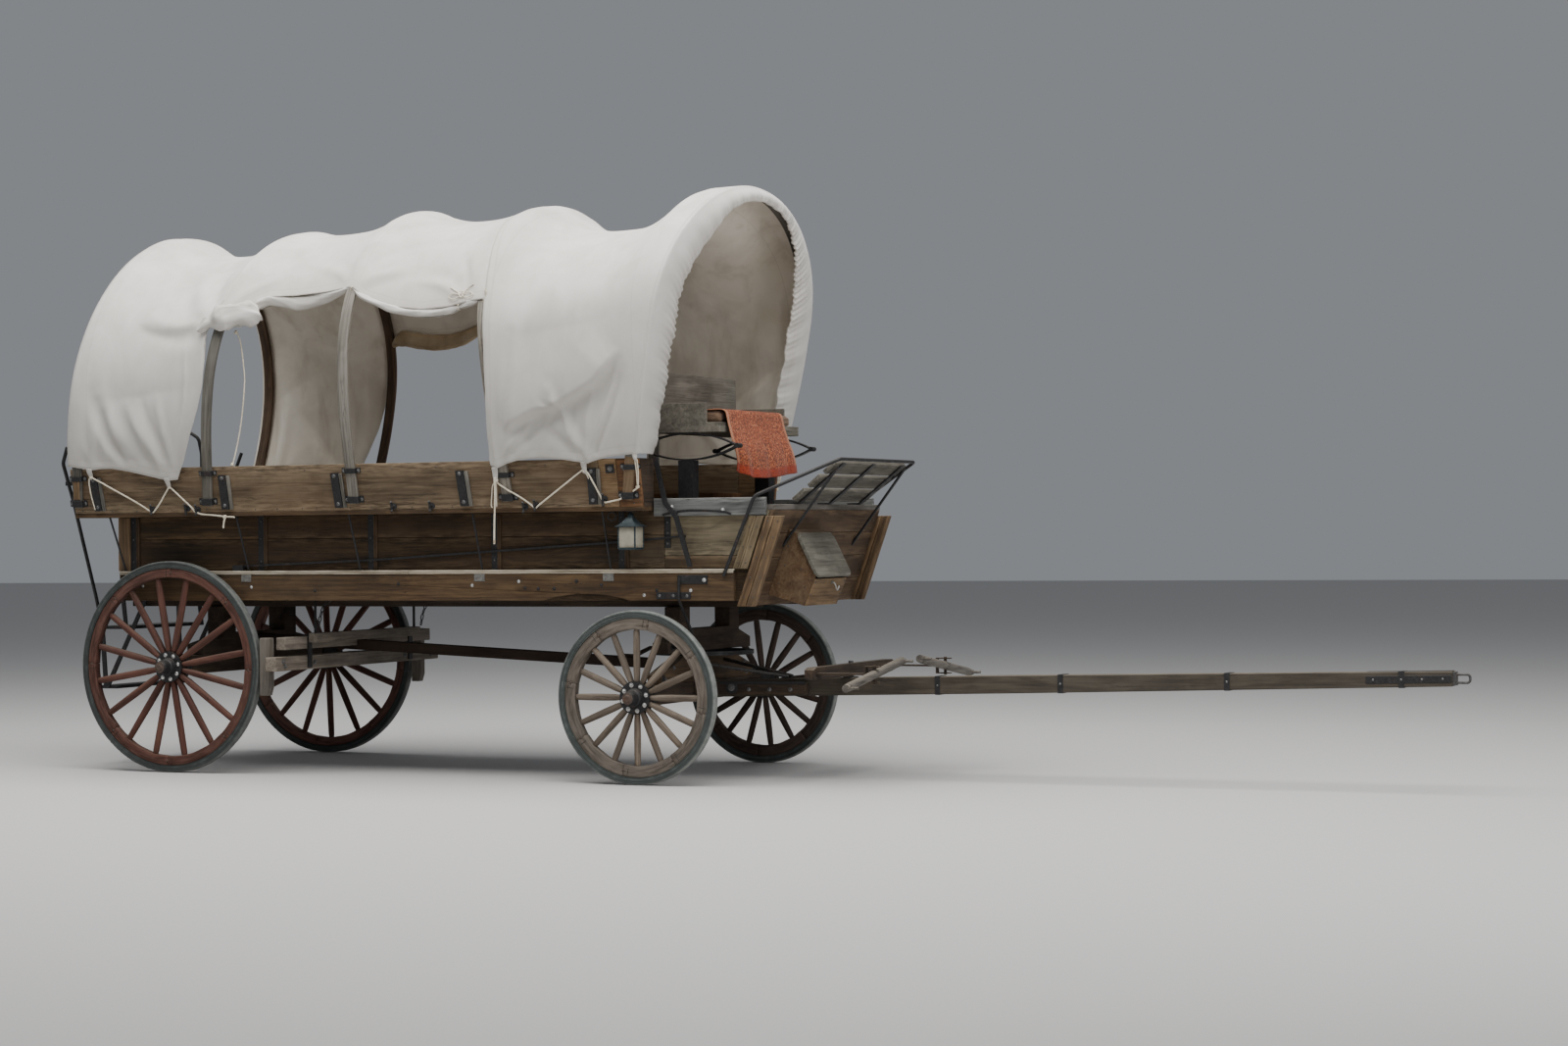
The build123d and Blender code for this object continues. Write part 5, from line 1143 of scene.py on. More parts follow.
def fold_field(x, z, side_mask, side):
    out = np.zeros_like(x)
    for s, line, h0, w0, h1, w1 in CREASES:
        if s != side:
            continue
        q = curve_line([(a_, 0, b_) for a_, b_ in line], .01)[:, [0, 2]]
        L = np.r_[0, np.cumsum(np.linalg.norm(np.diff(q, axis=0), axis=1))]
        idx = np.nonzero((x > q[:, 0].min() - .25) & (x < q[:, 0].max() + .12) & (z > 1.70) & (z < q[:, 1].max() + 2.5 * w0) & side_mask)[0]
        if not len(idx):
            continue
        px, pz = x[idx], z[idx]
        j = ((px[:, None] - q[None, :, 0]) ** 2 + (pz[:, None] - q[None, :, 1]) ** 2).argmin(1)
        d = np.hypot(px - q[j, 0], pz - q[j, 1])
        tg = np.gradient(q, axis=0)
        sd = d * np.sign((pz - q[j, 1]) * tg[j, 0] - (px - q[j, 0]) * tg[j, 1])
        tap = np.clip(np.minimum(L[j], L[-1] - L[j]) / (.20 * L[-1]), 0, 1)
        tap = tap * tap * (3 - 2 * tap)
        end = np.exp(-(np.maximum(0, np.maximum(q[0, 0] - px, px - q[-1, 0])) / .05) ** 2)
        up = h0 * np.exp(-(sd / w0) ** 2)
        t = np.clip(-sd / w1, 0, 1)
        dn = h0 + (-h1 - h0) * t * t * (3 - 2 * t)
        dn = np.where(-sd > w1, -h1 * np.exp(-((-sd - w1) / (2.6 * w1)) ** 2), dn)
        hem_fade = np.clip((pz - 1.84) / .10, 0, 1)
        out[idx] += np.where(sd >= 0, up, dn * hem_fade) * tap * end
    for s, line, w, h in FOLDS:
        if s != side:
            continue
        q = curve_line([(a_, 0, b_) for a_, b_ in line], .02)[:, [0, 2]]
        seg = np.diff(q, axis=0)
        L = np.r_[0, np.cumsum(np.linalg.norm(seg, axis=1))]
        near = (x > q[:, 0].min() - 4 * w) & (x < q[:, 0].max() + 4 * w) & (z > q[:, 1].min() - 4 * w) & (z < q[:, 1].max() + 4 * w) & side_mask
        idx = np.nonzero(near)[0]
        if not len(idx):
            continue
        px, pz = x[idx], z[idx]
        d2 = (px[:, None] - q[None, :, 0]) ** 2 + (pz[:, None] - q[None, :, 1]) ** 2
        j = d2.argmin(1)
        d = np.sqrt(d2[np.arange(len(idx)), j])
        tgt = np.gradient(q, axis=0)
        sg = np.sign((px - q[j, 0]) * tgt[j, 1] - (pz - q[j, 1]) * tgt[j, 0])
        sd = d * sg
        t = L[j] / L[-1]
        tap = np.sin(np.clip(t, .04, .96) * math.pi) ** .6
        prof_ = np.exp(-(sd / w) ** 2) - .45 * np.exp(-((sd - 1.9 * w) / (1.3 * w)) ** 2)
        out[idx] += h * tap * prof_
    return out


def undulate(x, s_, seed, amp):
    """Soft unevenness of hung cloth."""
    r = np.random.default_rng(seed)
    out = np.zeros_like(x)
    for k in range(14):
        f = r.uniform(1.2, 7.5)
        an = r.uniform(0, math.pi)
        ph = r.uniform(0, 6.28)
        wob = .5 * np.sin(1.7 * x + 2.3 * s_ + ph * 3)
        out += np.sin(f * (math.cos(an) * x + math.sin(an) * s_) * 2.2 + ph + wob) / f
    return out * amp / 1.2


def cloth(name, stations_u, edge_r, edge_l, K, ties, seed, amp=.0045, lift=0.0, u_edge=None, pull=False):
    """One sheet from the right lower edge over the crown to the left lower edge."""
    er, el = np.array(edge_r), np.array(edge_l)
    cols, hem, us = [], [], []
    for u in stations_u:
        k, zt, zu, fall = station(u)
        y, z = profile(zu, zt, BT + .0066 + lift, fall)
        d = np.r_[0, np.cumsum(np.hypot(np.diff(y), np.diff(z)))]
        zr, zl = np.interp(u, er[:, 0], er[:, 1]), np.interp(u, el[:, 0], el[:, 1])
        dr, dl = np.interp(zr, z, d), np.interp(zl, z, d)
        qr = dr + (d[-1] - dr) * np.linspace(0, 1, K)
        ql = dl + (d[-1] - dl) * np.linspace(0, 1, K)
        yr, zr_ = np.interp(qr, d, y), np.interp(qr, d, z)
        yl, zl_ = np.interp(ql, d, y), np.interp(ql, d, z)
        yy = np.r_[-yr, yl[-2::-1]]
        zz = np.r_[zr_, zl_[-2::-1]]
        cols.append(np.stack([np.full(len(yy), u) + k * (zz - 1.83), yy, zz], 1))
        hem.append(np.r_[qr - dr, (ql - dl)[-2::-1]])
        us.append(u)
    V = np.array(cols)
    H = np.array(hem)
    U = np.repeat(np.array(us)[:, None], V.shape[1], 1)
    if u_edge is not None:
        # the sheet's rear edge runs down the bow at its own place for each height
        ut, ua = np.array(u_edge), np.array(us)
        i0 = int(np.argmin(np.abs(ua - 2.32)))
        t = np.linspace(0, 1, len(ua))
        V2, H2, U2 = V.copy(), H.copy(), U.copy()
        for j in range(V.shape[1]):
            u0 = np.interp(V[i0, j, 2], ut[:, 0], ut[:, 1])
            un = u0 + (ua[-1] - u0) * t
            for c in range(3):
                V2[:, j, c] = np.interp(un, ua, V[:, j, c])
            H2[:, j] = np.minimum(np.interp(un, ua, H[:, j]), (un - u0) * 1.5)
            U2[:, j] = un
        V, H, U = V2, H2, U2
    if pull:
        # the panel's free edge leans back below the rolled flap
        dz = np.interp(V[..., 2], [2.30, 2.45, 2.566, 2.65, 2.74, 2.82, 2.92], [0, -.025, -.05, -.075, -.06, -.02, 0])
        w = np.clip((U - .08) / .2, 0, 1) * np.clip((.385 - U) / .05, 0, 1)
        V[..., 0] += dz * w * w * (3 - 2 * w) * (V[..., 1] < 0)
    # outward normals of the smooth sheet
    du = np.gradient(V, axis=0)
    dv = np.gradient(V, axis=1)
    nrm = np.cross(dv, du)
    nrm /= np.linalg.norm(nrm, axis=2)[..., None]
    flip = np.sign((nrm * (V - np.array([V[..., 0].mean(), 0, 2.0]))).sum(2).mean())
    nrm *= flip
    x, y, z = V[..., 0].ravel(), V[..., 1].ravel(), V[..., 2].ravel()
    girth = np.cumsum(np.r_[np.zeros((1, V.shape[0])), np.linalg.norm(np.diff(V, axis=1), axis=2).T], axis=0).T.ravel()
    disp = undulate(x, girth, seed, amp)
    for s in (-1, 1):
        disp += fold_field(x, z, (y * s > 0), s)
    # gathers above each tie
    hh = H.ravel()
    for s in (-1, 1):
        for ut in ties:
            m_ = (y * s > 0) & (np.abs(U.ravel() - ut) < .30) & (z < 2.6)
            dx = U.ravel()[m_] - ut
            g_ = np.exp(-hh[m_] / .22) * np.exp(-(dx / .085) ** 2) * np.cos(dx / (.022 + .05 * hh[m_]) * 1.6 + s)
            disp[m_] += .011 * g_
            disp[m_] -= .006 * np.exp(-hh[m_] / .08) * np.exp(-(dx / .05) ** 2)
    # the cloth lies on its bows and cannot go through them
    near_bow = np.zeros_like(disp)
    for b in BOWS:
        near_bow = np.maximum(near_bow, np.exp(-((U.ravel() - b[0]) / .055) ** 2))
    disp = np.where(disp < 0, disp * (1 - near_bow), disp * (1 - .55 * near_bow))
    over_board = np.clip((1.86 - z) / .03, 0, 1)
    disp = np.where(over_board > 0, np.maximum(disp, -.002), disp)
    V = V + (nrm.reshape(-1, 3) * disp[:, None]).reshape(V.shape)
    rim = (V[-1].copy(), nrm[-1].copy())
    nu, nv = V.shape[:2]
    V[..., 0] += OX
    f = []
    idx = np.arange(nu * nv).reshape(nu, nv)
    q = np.stack([idx[:-1, :-1], idx[:-1, 1:], idx[1:, 1:], idx[1:, :-1]], -1).reshape(-1, 4)
    # faces look outwards
    p = V.reshape(-1, 3)
    c0 = q[len(q) // 4]
    nn = np.cross(p[c0[1]] - p[c0[0]], p[c0[2]] - p[c0[0]])
    if np.dot(nn, p[c0[0]] - np.array([p[:, 0].mean(), 0, 2.0])) < 0:
        q = q[:, ::-1]
    me = bpy.data.meshes.new(name)
    me.from_pydata([tuple(x_) for x_ in p], [], [tuple(int(k) for k in r_) for r_ in q])
    me.polygons.foreach_set("use_smooth", [True] * len(q))
    at = me.attributes.new("hem", "FLOAT", "POINT")
    at.data.foreach_set("value", H.ravel().astype(np.float32))
    me.materials.append(M["canvas_out"])
    me.materials.append(M["canvas_in"])
    me.update()
    o = bpy.data.objects.new(name, me)
    bpy.context.scene.collection.objects.link(o)
    sol = o.modifiers.new("cloth_thickness", "SOLIDIFY")
    sol.thickness = .0030
    sol.offset = -1.0
    sol.use_even_offset = False
    sol.material_offset = 1
    sol.material_offset_rim = 0
    area = 0.0
    tri = np.concatenate([q[:, [0, 1, 2]], q[:, [0, 2, 3]]])
    area = float(np.linalg.norm(np.cross(p[tri[:, 1]] - p[tri[:, 0]], p[tri[:, 2]] - p[tri[:, 0]]), axis=1).sum() / 2)
    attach(o, "wagon")
    return o, area, rim


st_rear = np.unique(np.round(np.r_[np.arange(-.658, .165, .019), np.linspace(.165, .345, 28), np.arange(.362, 2.372, .019)], 4))
rear, area_r, rim_r = cloth("canvas_rear", st_rear, EDGE_R, EDGE_L, 120, TIES_R["rear"], 11, pull=True)
# height against the place of the front sheet's rear edge
FRONT_EDGE = [(1.70, 2.268), (1.83, 2.275), (2.00, 2.290), (2.22, 2.325), (2.50, 2.345), (2.80, 2.350), (2.95, 2.338), (3.10, 2.310), (3.20, 2.285), (3.30, 2.215), (3.40, 2.180)]
st_front = np.unique(np.round(np.r_[np.arange(2.16, 3.201, .0135), 3.201], 4))
front, area_f, rim_f = cloth("canvas_front", st_front, EDGE_F, EDGE_F, 150, TIES_R["front"], 23, lift=.0042, u_edge=FRONT_EDGE)

# the lip: cloth drawn in from the last bow to a narrower opening, ruffled by its cord
LIP_IN = [(.780, 1.852), (.780, 2.200), (.785, 2.500), (.770, 2.800), (.720, 2.920), (.655, 3.000), (.580, 3.100), (.470, 3.200), (.300, 3.285), (.150, 3.320), (.0, 3.332)]


def lip_mesh():
    base, bn = rim_f
    n = len(base) // 2
    inner = curve_line([(0, y, z) for y, z in LIP_IN], .01)[:, 1:]
    La = np.r_[0, np.cumsum(np.linalg.norm(np.diff(inner, axis=0), axis=1))]
    out_v, out_h = None, None
    halves = []
    for sgn, B, Bn in ((-1, base[:n + 1], bn[:n + 1]), (1, base[n:][::-1], bn[n:][::-1])):
        d = np.r_[0, np.cumsum(np.linalg.norm(np.diff(B, axis=0), axis=1))]
        keep = np.linspace(0, d[-1], 420)
        Bp = np.stack([np.interp(keep, d, B[:, c]) for c in range(3)], 1)
        Nn = np.stack([np.interp(keep, d, Bn[:, c]) for c in range(3)], 1)
        fr = keep / d[-1]
        iy, iz = np.interp(fr * La[-1], La, inner[:, 0]), np.interp(fr * La[-1], La, inner[:, 1])
        dx = np.interp(iz, [1.8, 2.8, 3.0, 3.1, 3.2, 3.34], [-.004, .006, .035, .050, .058, .055])
        I = np.stack([3.213 + .185 * (iz - 1.83) + dx, sgn * iy, iz], 1)
        S = Bp + np.array([1, 0, 0]) * .017 - Nn * .012
        arc = keep * La[-1] / d[-1]
        rows, hem = [Bp - Nn * .0035 - np.array([1, 0, 0]) * .012, Bp + np.array([1, 0, 0]) * .004, Bp + np.array([1, 0, 0]) * .013 - Nn * .004], [.3, .3, .3]
        for t in np.linspace(0, 1, 15) ** .85:
            p = S + (I - S) * t
            wide = .0050 * t * np.sin(arc * 2 * math.pi / .31 + sgn + 1.3 * np.sin(arc * 2.2)) + .004 * t * np.sin(arc * 2 * math.pi / .12 + 2.1 * sgn)
            ruff = .0055 * t ** 3.0 * np.sin(arc * 2 * math.pi / .036 + 1.8 * np.sin(arc * 6.3 + sgn)) * (.6 + .4 * np.sin(arc * 5.1 + 2 * sgn))
            p = p + np.array([1, 0, 0]) * (.020 * math.sin(math.pi * t) + wide + ruff)[:, None]
            rows.append(p)
            hem.append(.004 + (1 - t) * .26)
        cen = np.stack([np.zeros_like(iy), -sgn * np.ones_like(iy), -.55 * np.ones_like(iy) * np.clip((iz - 2.7) / .3, 0, 3)], 1)
        cen /= np.linalg.norm(cen, axis=1)[:, None]
        # turned edge round the cord
        for q in range(1, 6):
            an = q * math.pi / 4.2
            rows.append(rows[17] + cen * (.0075 * math.sin(an)) + np.array([-1, 0, 0]) * .0085 * (1 - math.cos(an)))
            hem.append(.03)
        halves.append((np.array(rows), hem))
    V = np.concatenate([halves[0][0], halves[1][0][:, ::-1][:, 1:]], axis=1)
    V[..., 0] += OX
    nu, nv = V.shape[:2]
    H = np.repeat(np.array(halves[0][1])[:, None], nv, 1)
    idx = np.arange(nu * nv).reshape(nu, nv)
    q = np.stack([idx[:-1, :-1], idx[1:, :-1], idx[1:, 1:], idx[:-1, 1:]], -1).reshape(-1, 4)
    p = V.reshape(-1, 3)
    k = q[len(q) // 2]
    nn = np.cross(p[k[1]] - p[k[0]], p[k[2]] - p[k[0]])
    if nn[0] < 0:
        q = q[:, ::-1]
    me = bpy.data.meshes.new("canvas_front_lip")
    me.from_pydata([tuple(x_) for x_ in p], [], [tuple(int(k_) for k_ in r_) for r_ in q])
    me.polygons.foreach_set("use_smooth", [True] * len(q))
    at = me.attributes.new("hem", "FLOAT", "POINT")
    at.data.foreach_set("value", H.ravel().astype(np.float32))
    me.materials.append(M["canvas_out"])
    me.update()
    o = bpy.data.objects.new("canvas_front_lip", me)
    bpy.context.scene.collection.objects.link(o)
    sol = o.modifiers.new("cloth_thickness", "SOLIDIFY")
    sol.thickness = .0026
    sol.offset = -1.0
    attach(o, "wagon")
    tri = np.concatenate([q[:, [0, 1, 2]], q[:, [0, 2, 3]]])
    return o, float(np.linalg.norm(np.cross(p[tri[:, 1]] - p[tri[:, 0]], p[tri[:, 2]] - p[tri[:, 0]]), axis=1).sum() / 2)


lip, area_lip = lip_mesh()
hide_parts("canvas_cover")
print("cloth areas", round(area_r, 3), round(area_f, 3), round(area_lip, 3))


def on_sheet(u, z, off=0.0):
    """x and |y| of the cover's surface at a place along it and a height."""
    k, zt, zu, fall = station(u)
    yy, zz = profile(zu, zt, BT + .0066 + off, fall)
    return u + k * (z - 1.83), float(np.interp(z, zz, yy))


def rolled(name, side, ctrl, turns, seed, mat, ties=(), crumple=1.0, step=.014):
    """A rolled piece of cloth: one spiral swept along (x, |y|, z, half depth, half height) rows, gathered at its ties."""
    c = np.array(ctrl, float)
    line = curve_line(c[:, :3], step)
    ry_, rz_ = np.interp(line[:, 0], c[:, 0], c[:, 3]), np.interp(line[:, 0], c[:, 0], c[:, 4])
    nphi = int(20 * turns)
    phi = np.linspace(0, 2 * math.pi * turns, nphi)
    rows = []
    for (x, y, z), ry, rz in zip(line, ry_, rz_):
        tie = min([1.0] + [1 - .45 * math.exp(-((x - t) / .035) ** 2) for t in ties])
        bul = 1 + crumple * (.07 * math.sin(x * 9 + seed) + .05 * math.sin(x * 27 + 2 * seed))
        rad = .22 + .78 * phi / phi[-1]
        wr = 1 + crumple * (.075 * np.sin(2 * phi + x * 9 + seed) + .060 * np.sin(4 * phi - x * 17 + 2 * seed) + .050 * np.sin(7 * phi + x * 33 + 3 * seed)
                            + .035 * np.sin(11 * phi - x * 61 + seed) + .022 * np.sin(17 * phi + x * 23 + 5 * seed))
        an = phi + .8 * math.sin(x * 3.1 + seed) + math.pi * .2
        cy = np.cos(an)
        yy = y + ry * tie * bul * rad * wr * cy
        zz = z + rz * tie * bul * rad * wr * np.sin(an)
        rows.append(np.stack([np.full(nphi, x) + crumple * .006 * np.sin(phi * 2 + x * 20) + OX, side * yy, zz], 1))
    V = np.array(rows)
    for i, f_ in ((0, .25), (1, .62), (2, .86), (-1, .25), (-2, .62), (-3, .86)):
        m_ = V[i].mean(0)
        V[i] = m_ + (V[i] - m_) * f_
    nu, nv = V.shape[:2]
    idx = np.arange(nu * nv).reshape(nu, nv)
    q = np.stack([idx[:-1, :-1], idx[:-1, 1:], idx[1:, 1:], idx[1:, :-1]], -1).reshape(-1, 4)
    if side < 0:
        q = q[:, ::-1]
    p = V.reshape(-1, 3)
    me = bpy.data.meshes.new(name)
    me.from_pydata([tuple(x_) for x_ in p], [], [tuple(int(k_) for k_ in r_) for r_ in q])
    me.polygons.foreach_set("use_smooth", [True] * len(q))
    at = me.attributes.new("hem", "FLOAT", "POINT")
    hv = np.full((nu, nv), .5, np.float32)
    hv[:, -4:] = (.03, .049, .03, .02)
    at.data.foreach_set("value", hv.ravel())
    me.materials.append(mat)
    me.update()
    o = bpy.data.objects.new(name, me)
    bpy.context.scene.collection.objects.link(o)
    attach(o, "wagon")
    tri = np.concatenate([q[:, [0, 1, 2]], q[:, [0, 2, 3]]])
    area = float(np.linalg.norm(np.cross(p[tri[:, 1]] - p[tri[:, 0]], p[tri[:, 2]] - p[tri[:, 0]]), axis=1).sum() / 2)
    return o, area


def under_edge(rows):
    """Roll rows from (u, edge height, half depth, half height): hung just under the cover's edge."""
    out = []
    for u, ze, ry, rz in rows:
        x, y = on_sheet(u, ze)
        out.append((x, y - ry + .006, ze - rz + .009, ry, rz))
    return out


ROLL_R = under_edge([(.44, 2.745, .018, .020), (.52, 2.795, .026, .028), (.62, 2.832, .030, .030), (.72, 2.830, .034, .038), (.85, 2.828, .038, .050), (.95, 2.832, .038, .048), (1.10, 2.842, .034, .036),
                     (1.22, 2.850, .026, .024), (1.325, 2.860, .018, .016), (1.40, 2.818, .024, .020), (1.55, 2.765, .028, .024), (1.669, 2.733, .030, .027), (1.872, 2.708, .032, .029),
                     (2.076, 2.714, .028, .026), (2.20, 2.735, .022, .020), (2.30, 2.746, .016, .016)])
ROLL_L = under_edge([(.36, 2.665, .028, .030), (.45, 2.722, .040, .050), (.60, 2.707, .050, .055), (.75, 2.692, .050, .055), (.95, 2.702, .045, .050), (1.13, 2.762, .035, .040), (1.30, 2.802, .024, .028),
                     (1.42, 2.762, .035, .040), (1.60, 2.692, .050, .060), (1.80, 2.652, .055, .068), (2.0, 2.672, .050, .060), (2.2, 2.724, .028, .034), (2.3, 2.746, .018, .018)])
roll_r, ar = rolled("rolled_flap_right", -1, ROLL_R, 5.6, 1.0, M["canvas_out"], [ROLL_R[0][0], 1.333, 2.085])
# the far flap is made of the brown cloth that is painted shade
roll_l, al = rolled("rolled_flap_left", 1, ROLL_L, 4.6, 2.3, M["canvas_brown"], [.42, 1.333, 2.25])
bunch = []
for x, z, out_, ry, rz in ((.335, 2.640, .022, .014, .018), (.385, 2.662, .030, .026, .036), (.45, 2.690, .034, .036, .054), (.53, 2.716, .028, .046, .072), (.61, 2.728, .018, .048, .080), (.68, 2.722, .010, .042, .066), (.725, 2.712, .004, .030, .046), (.745, 2.706, .002, .016, .024)):
    x -= .030
    bunch.append((x, on_sheet(max(.30, x - .12 * (z - 1.83)), z)[1] + out_, z, ry * 1.05, rz * 1.08))
bun_r, ab = rolled("rolled_flap_bunch_right", -1, bunch, 4.2, 4.1, M["canvas_out"], [.405], crumple=2.5, step=.008)
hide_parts("rolled_flaps")
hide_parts("rolled_flaps")
print("roll areas", round(ar, 3), round(al, 3), round(ab, 3))

# ------------------------------------------------------------------ small irons, bolts and ropes
COS, SIN = math.cos(TH), math.sin(TH)


def on_flare(x, z, off=0.0, s=-1):
    return P(x, s * (flare_y(max(z, Z_S1)) + off * (COS if z >= Z_S1 else 1.0)), z - (off * SIN if z >= Z_S1 else 0.0))


def flare_n(s=-1):
    return np.array((0.0, s * COS, -SIN))


def flare_up(s=-1):
    return np.array((0.0, s * SIN, COS))


iron_a, bolt_a, galv_a, wood_a, rope_a, nail_a, bright_a, tan_a = Acc(), Acc(), Acc(), Acc(), Acc(), Acc(), Acc(), Acc()

for s in (-1, 1):
    # staples that hold the bows to the flared boards
    for (x0, k, zt, zu), ztop in zip(BOWS, (1.775, 1.793, 1.793, 1.752, 1.785)):
        for z, w in ((ztop, .030), (1.625, .040)):
            x = x0 + k * (z - 1.83)
            pts = [on_flare(x + dx, z, off, s) for dx, off in ((-.062, .0035), (-.039, .0035), (-.036, .0062), (-.0345, .0225), (-.031, .0262), (.031, .0262), (.0345, .0225), (.036, .0062), (.039, .0035), (.062, .0035))]
            strip(iron_a, pts, flare_up(s), w, .0042)
            for dx in (-.050, .050):
                bolt(bolt_a, on_flare(x + dx, z, .0056, s), flare_n(s), .0075, "hex" if RNG.uniform() < .5 else "dome")
    # light wood let in at the rear bow's foot
    c = np.zeros((2, 2, 2, 3))
    for i, z in enumerate((1.652, 1.772)):
        for j, dx in enumerate((-.022, .022)):
            for k_, off in enumerate((.0215, .0262)):
                c[i, j, k_] = on_flare(-.600 + .125 * (z - 1.83) + dx, z, off, s)
    board(tan_a, c, r=.0018)
    # cleats: bolts and the pale wood strip beside each iron
    for xt, xb in ((-.491, -.482), (.437, .437), (1.219, 1.227), (2.058, 2.069), (2.906, 2.900)):
        n_ = np.array((0, s * 1.0, 0))
        for x, z in ((xt, 1.762), (xb, 1.600)):
            bolt(bolt_a, P(x, s * (flare_y(z) + .016), z), n_, .0085, "dome")
        c = np.zeros((2, 2, 2, 3))
        for i, (xx, z) in enumerate(((xb, 1.577), (xt, 1.776))):
            for j, d in enumerate((.0275, .050)):
                for k_, off in enumerate((.0006, .011)):
                    c[i, j, k_] = on_flare(xx + d, z, off, s)
        board(wood_a, c, r=.002, rough=.0006)
    # wood strip beside each wall strap
    for x in (-.337, .583, 1.347, 2.176, 2.998):
        y0, y1 = sorted((s * .7655, s * .7745))
        board(wood_a, corners(x + .0205, x + .0445, y0, y1, 1.2125, 1.532, "z", "x"), r=.002, rough=.0006, mat=1)
        for z in (1.262, 1.400, 1.505):
            bolt(nail_a, P(x, s * .7712, z), (0, s, 0), .0062, "dome", washer=False)
    # horn hooks for the cover's ropes
    for x, z in ((-.087, 1.582), (.161, 1.585), (.234, 1.578), (1.592, 1.58), (1.847, 1.58), (2.458, 1.567), (2.531, 1.577), (2.969, 1.606)):
        lathe(iron_a, on_flare(x, z, 0, s), flare_n(s), [(.019, -.001), (.019, .004), (.013, .007), (.0085, .010), (.0080, .022), (.0092, .026), (.006, .034), (.0008, .0355)], 12)
        tube(iron_a, curve_line([on_flare(x + b_, z + a_ * .0335, off, s) for a_, b_, off in ((-1, .004, .037), (-.7, .001, .030), (-.3, 0, .0265), (0, 0, .0265), (.3, 0, .0265), (.7, .001, .030), (1, .004, .037))], .005), .0072, 8,
             taper=None)
    # nails along the lower and upper edge
    xs = [-.60, -.40, -.22, .04, .30, .632, .80, .960, 1.054, 1.30, 1.45, 1.72, 1.98, 2.20, 2.64, 2.80, 3.00, 3.14]
    for x in xs:
        if s < 0 or RNG.uniform() < .8:
            bolt(nail_a, on_flare(x + RNG.uniform(-.01, .01), 1.572 + RNG.uniform(0, .006), 0, s), flare_n(s), .0042, "nail")
    for x in (-.30, .12, .70, 1.02, 1.62, 1.90, 2.60):
        bolt(nail_a, on_flare(x + RNG.uniform(-.02, .02), 1.800, 0, s), flare_n(s), .0042, "nail")
    # end of the flared board: two bolts on plates
    strip(iron_a, [on_flare(2.992, 1.774, .0015, s), on_flare(3.046, 1.774, .0015, s)], flare_up(s), .050, .003, r=.001)
    bolt(bolt_a, on_flare(3.019, 1.774, .003, s), flare_n(s), .010, "hex")
    lathe(galv_a, on_flare(3.12, 1.774, 0, s), flare_n(s), [(.022, -.001), (.022, .0018), (.019, .0028)], 18)
    bolt(bolt_a, on_flare(3.12, 1.774, .0028, s), flare_n(s), .010, "hex")
    # rail: clips, bolts, plates
    yS = s * .800
    n_ = (0, s, 0)
    for x in (.497, 2.093, 2.927):
        strip(galv_a, [P(x - .034, yS + s * .0018, 1.165), P(x + .034, yS + s * .0018, 1.165)], (0, 0, 1), .046, .0035, r=.0012)
    for x, z in ((.532, 1.112), (.978, 1.090), (-.25, 1.120), (1.55, 1.128), (2.044, 1.120), (2.35, 1.142), (2.723, 1.142), (2.391, 1.105), (2.476, 1.100), (2.579, 1.100), (2.882, 1.120), (3.152, 1.063), (3.231, 1.090), (3.442, 1.090)):
        bolt(bright_a if RNG.uniform() < .45 else iron_a, P(x, yS, z), n_, .0068, "dome")
    if s < 0:
        strip(iron_a, [P(3.229, yS + s * .0015, 1.060), P(3.442, yS + s * .0015, 1.060)], (0, 0, 1), .038, .003, r=.001)
        for x in (3.25, 3.335, 3.42):
            bolt(bolt_a, P(x, yS + s * .003, 1.060), n_, .0062, "dome")
        strip(iron_a, [P(3.362, yS + s * .0018, 1.150), P(3.548, yS + s * .0018, 1.150)], (0, 0, 1), .050, .0035, r=.0012)
        bolt(bright_a, P(3.527, yS + s * .0035, 1.148), n_, .0080, "hex")
    # front rail: bolts, arc strap and plate
    yR = s * .793
    for x, z in ((3.326, 1.557), (3.641, 1.537)):
        bolt(bright_a, P(x, yR, z), n_, .0080, "hex")
    y2 = s * .7955
    strip(iron_a, curve_line([P(3.268, y2, 1.512), P(3.366, y2, 1.530), P(3.475, y2, 1.535), P(3.638, y2, 1.527), P(3.692, y2, 1.512)], .02), (0, 0, 1), .013, .004)
    y3 = s * .7685
    strip(iron_a, [P(3.287, y3, 1.500), P(3.287, y3, 1.327)], (1, 0, 0), .036, .005)
    for z in (1.47, 1.41, 1.35):
        bolt(nail_a, P(3.287, y3 + s * .0025, z), n_, .0070, "dome", washer=False)
    # nails in the front posts and cleats
    for z in (1.05, 1.16, 1.27, 1.38, 1.47):
        for dx in (.024, .082):
            bolt(nail_a, P(dash(z) + dx + RNG.uniform(-.006, .006), yS, z), n_, .0045, "nail")
    for z in (1.24, 1.33, 1.44):
        for dx in (-.082, -.036):
            bolt(nail_a, P(dash(z) + dx, s * .790, z), n_, .0045, "nail")
# nails in the sloping front board
fn = np.array((math.cos(math.atan2(190, 530)), 0, -math.sin(math.atan2(190, 530))))
for z in (1.065, 1.20, 1.34, 1.47):
    for y in (-.735, -.715, .725, .745):
        bolt(nail_a, P(dash(z) + .0302, y + RNG.uniform(-.006, .006), z + RNG.uniform(-.015, .015)), fn, .0045, "nail")
# footboard screws
for q in (.035, .085, .150, .205, .265, .325):
    for y in (-.44, 0, .44):
        x, z = fbp(q, .0252)
        bolt(nail_a, P(x, y + RNG.uniform(-.01, .01), z), (-UZ, 0, UX), .0055, "nail")
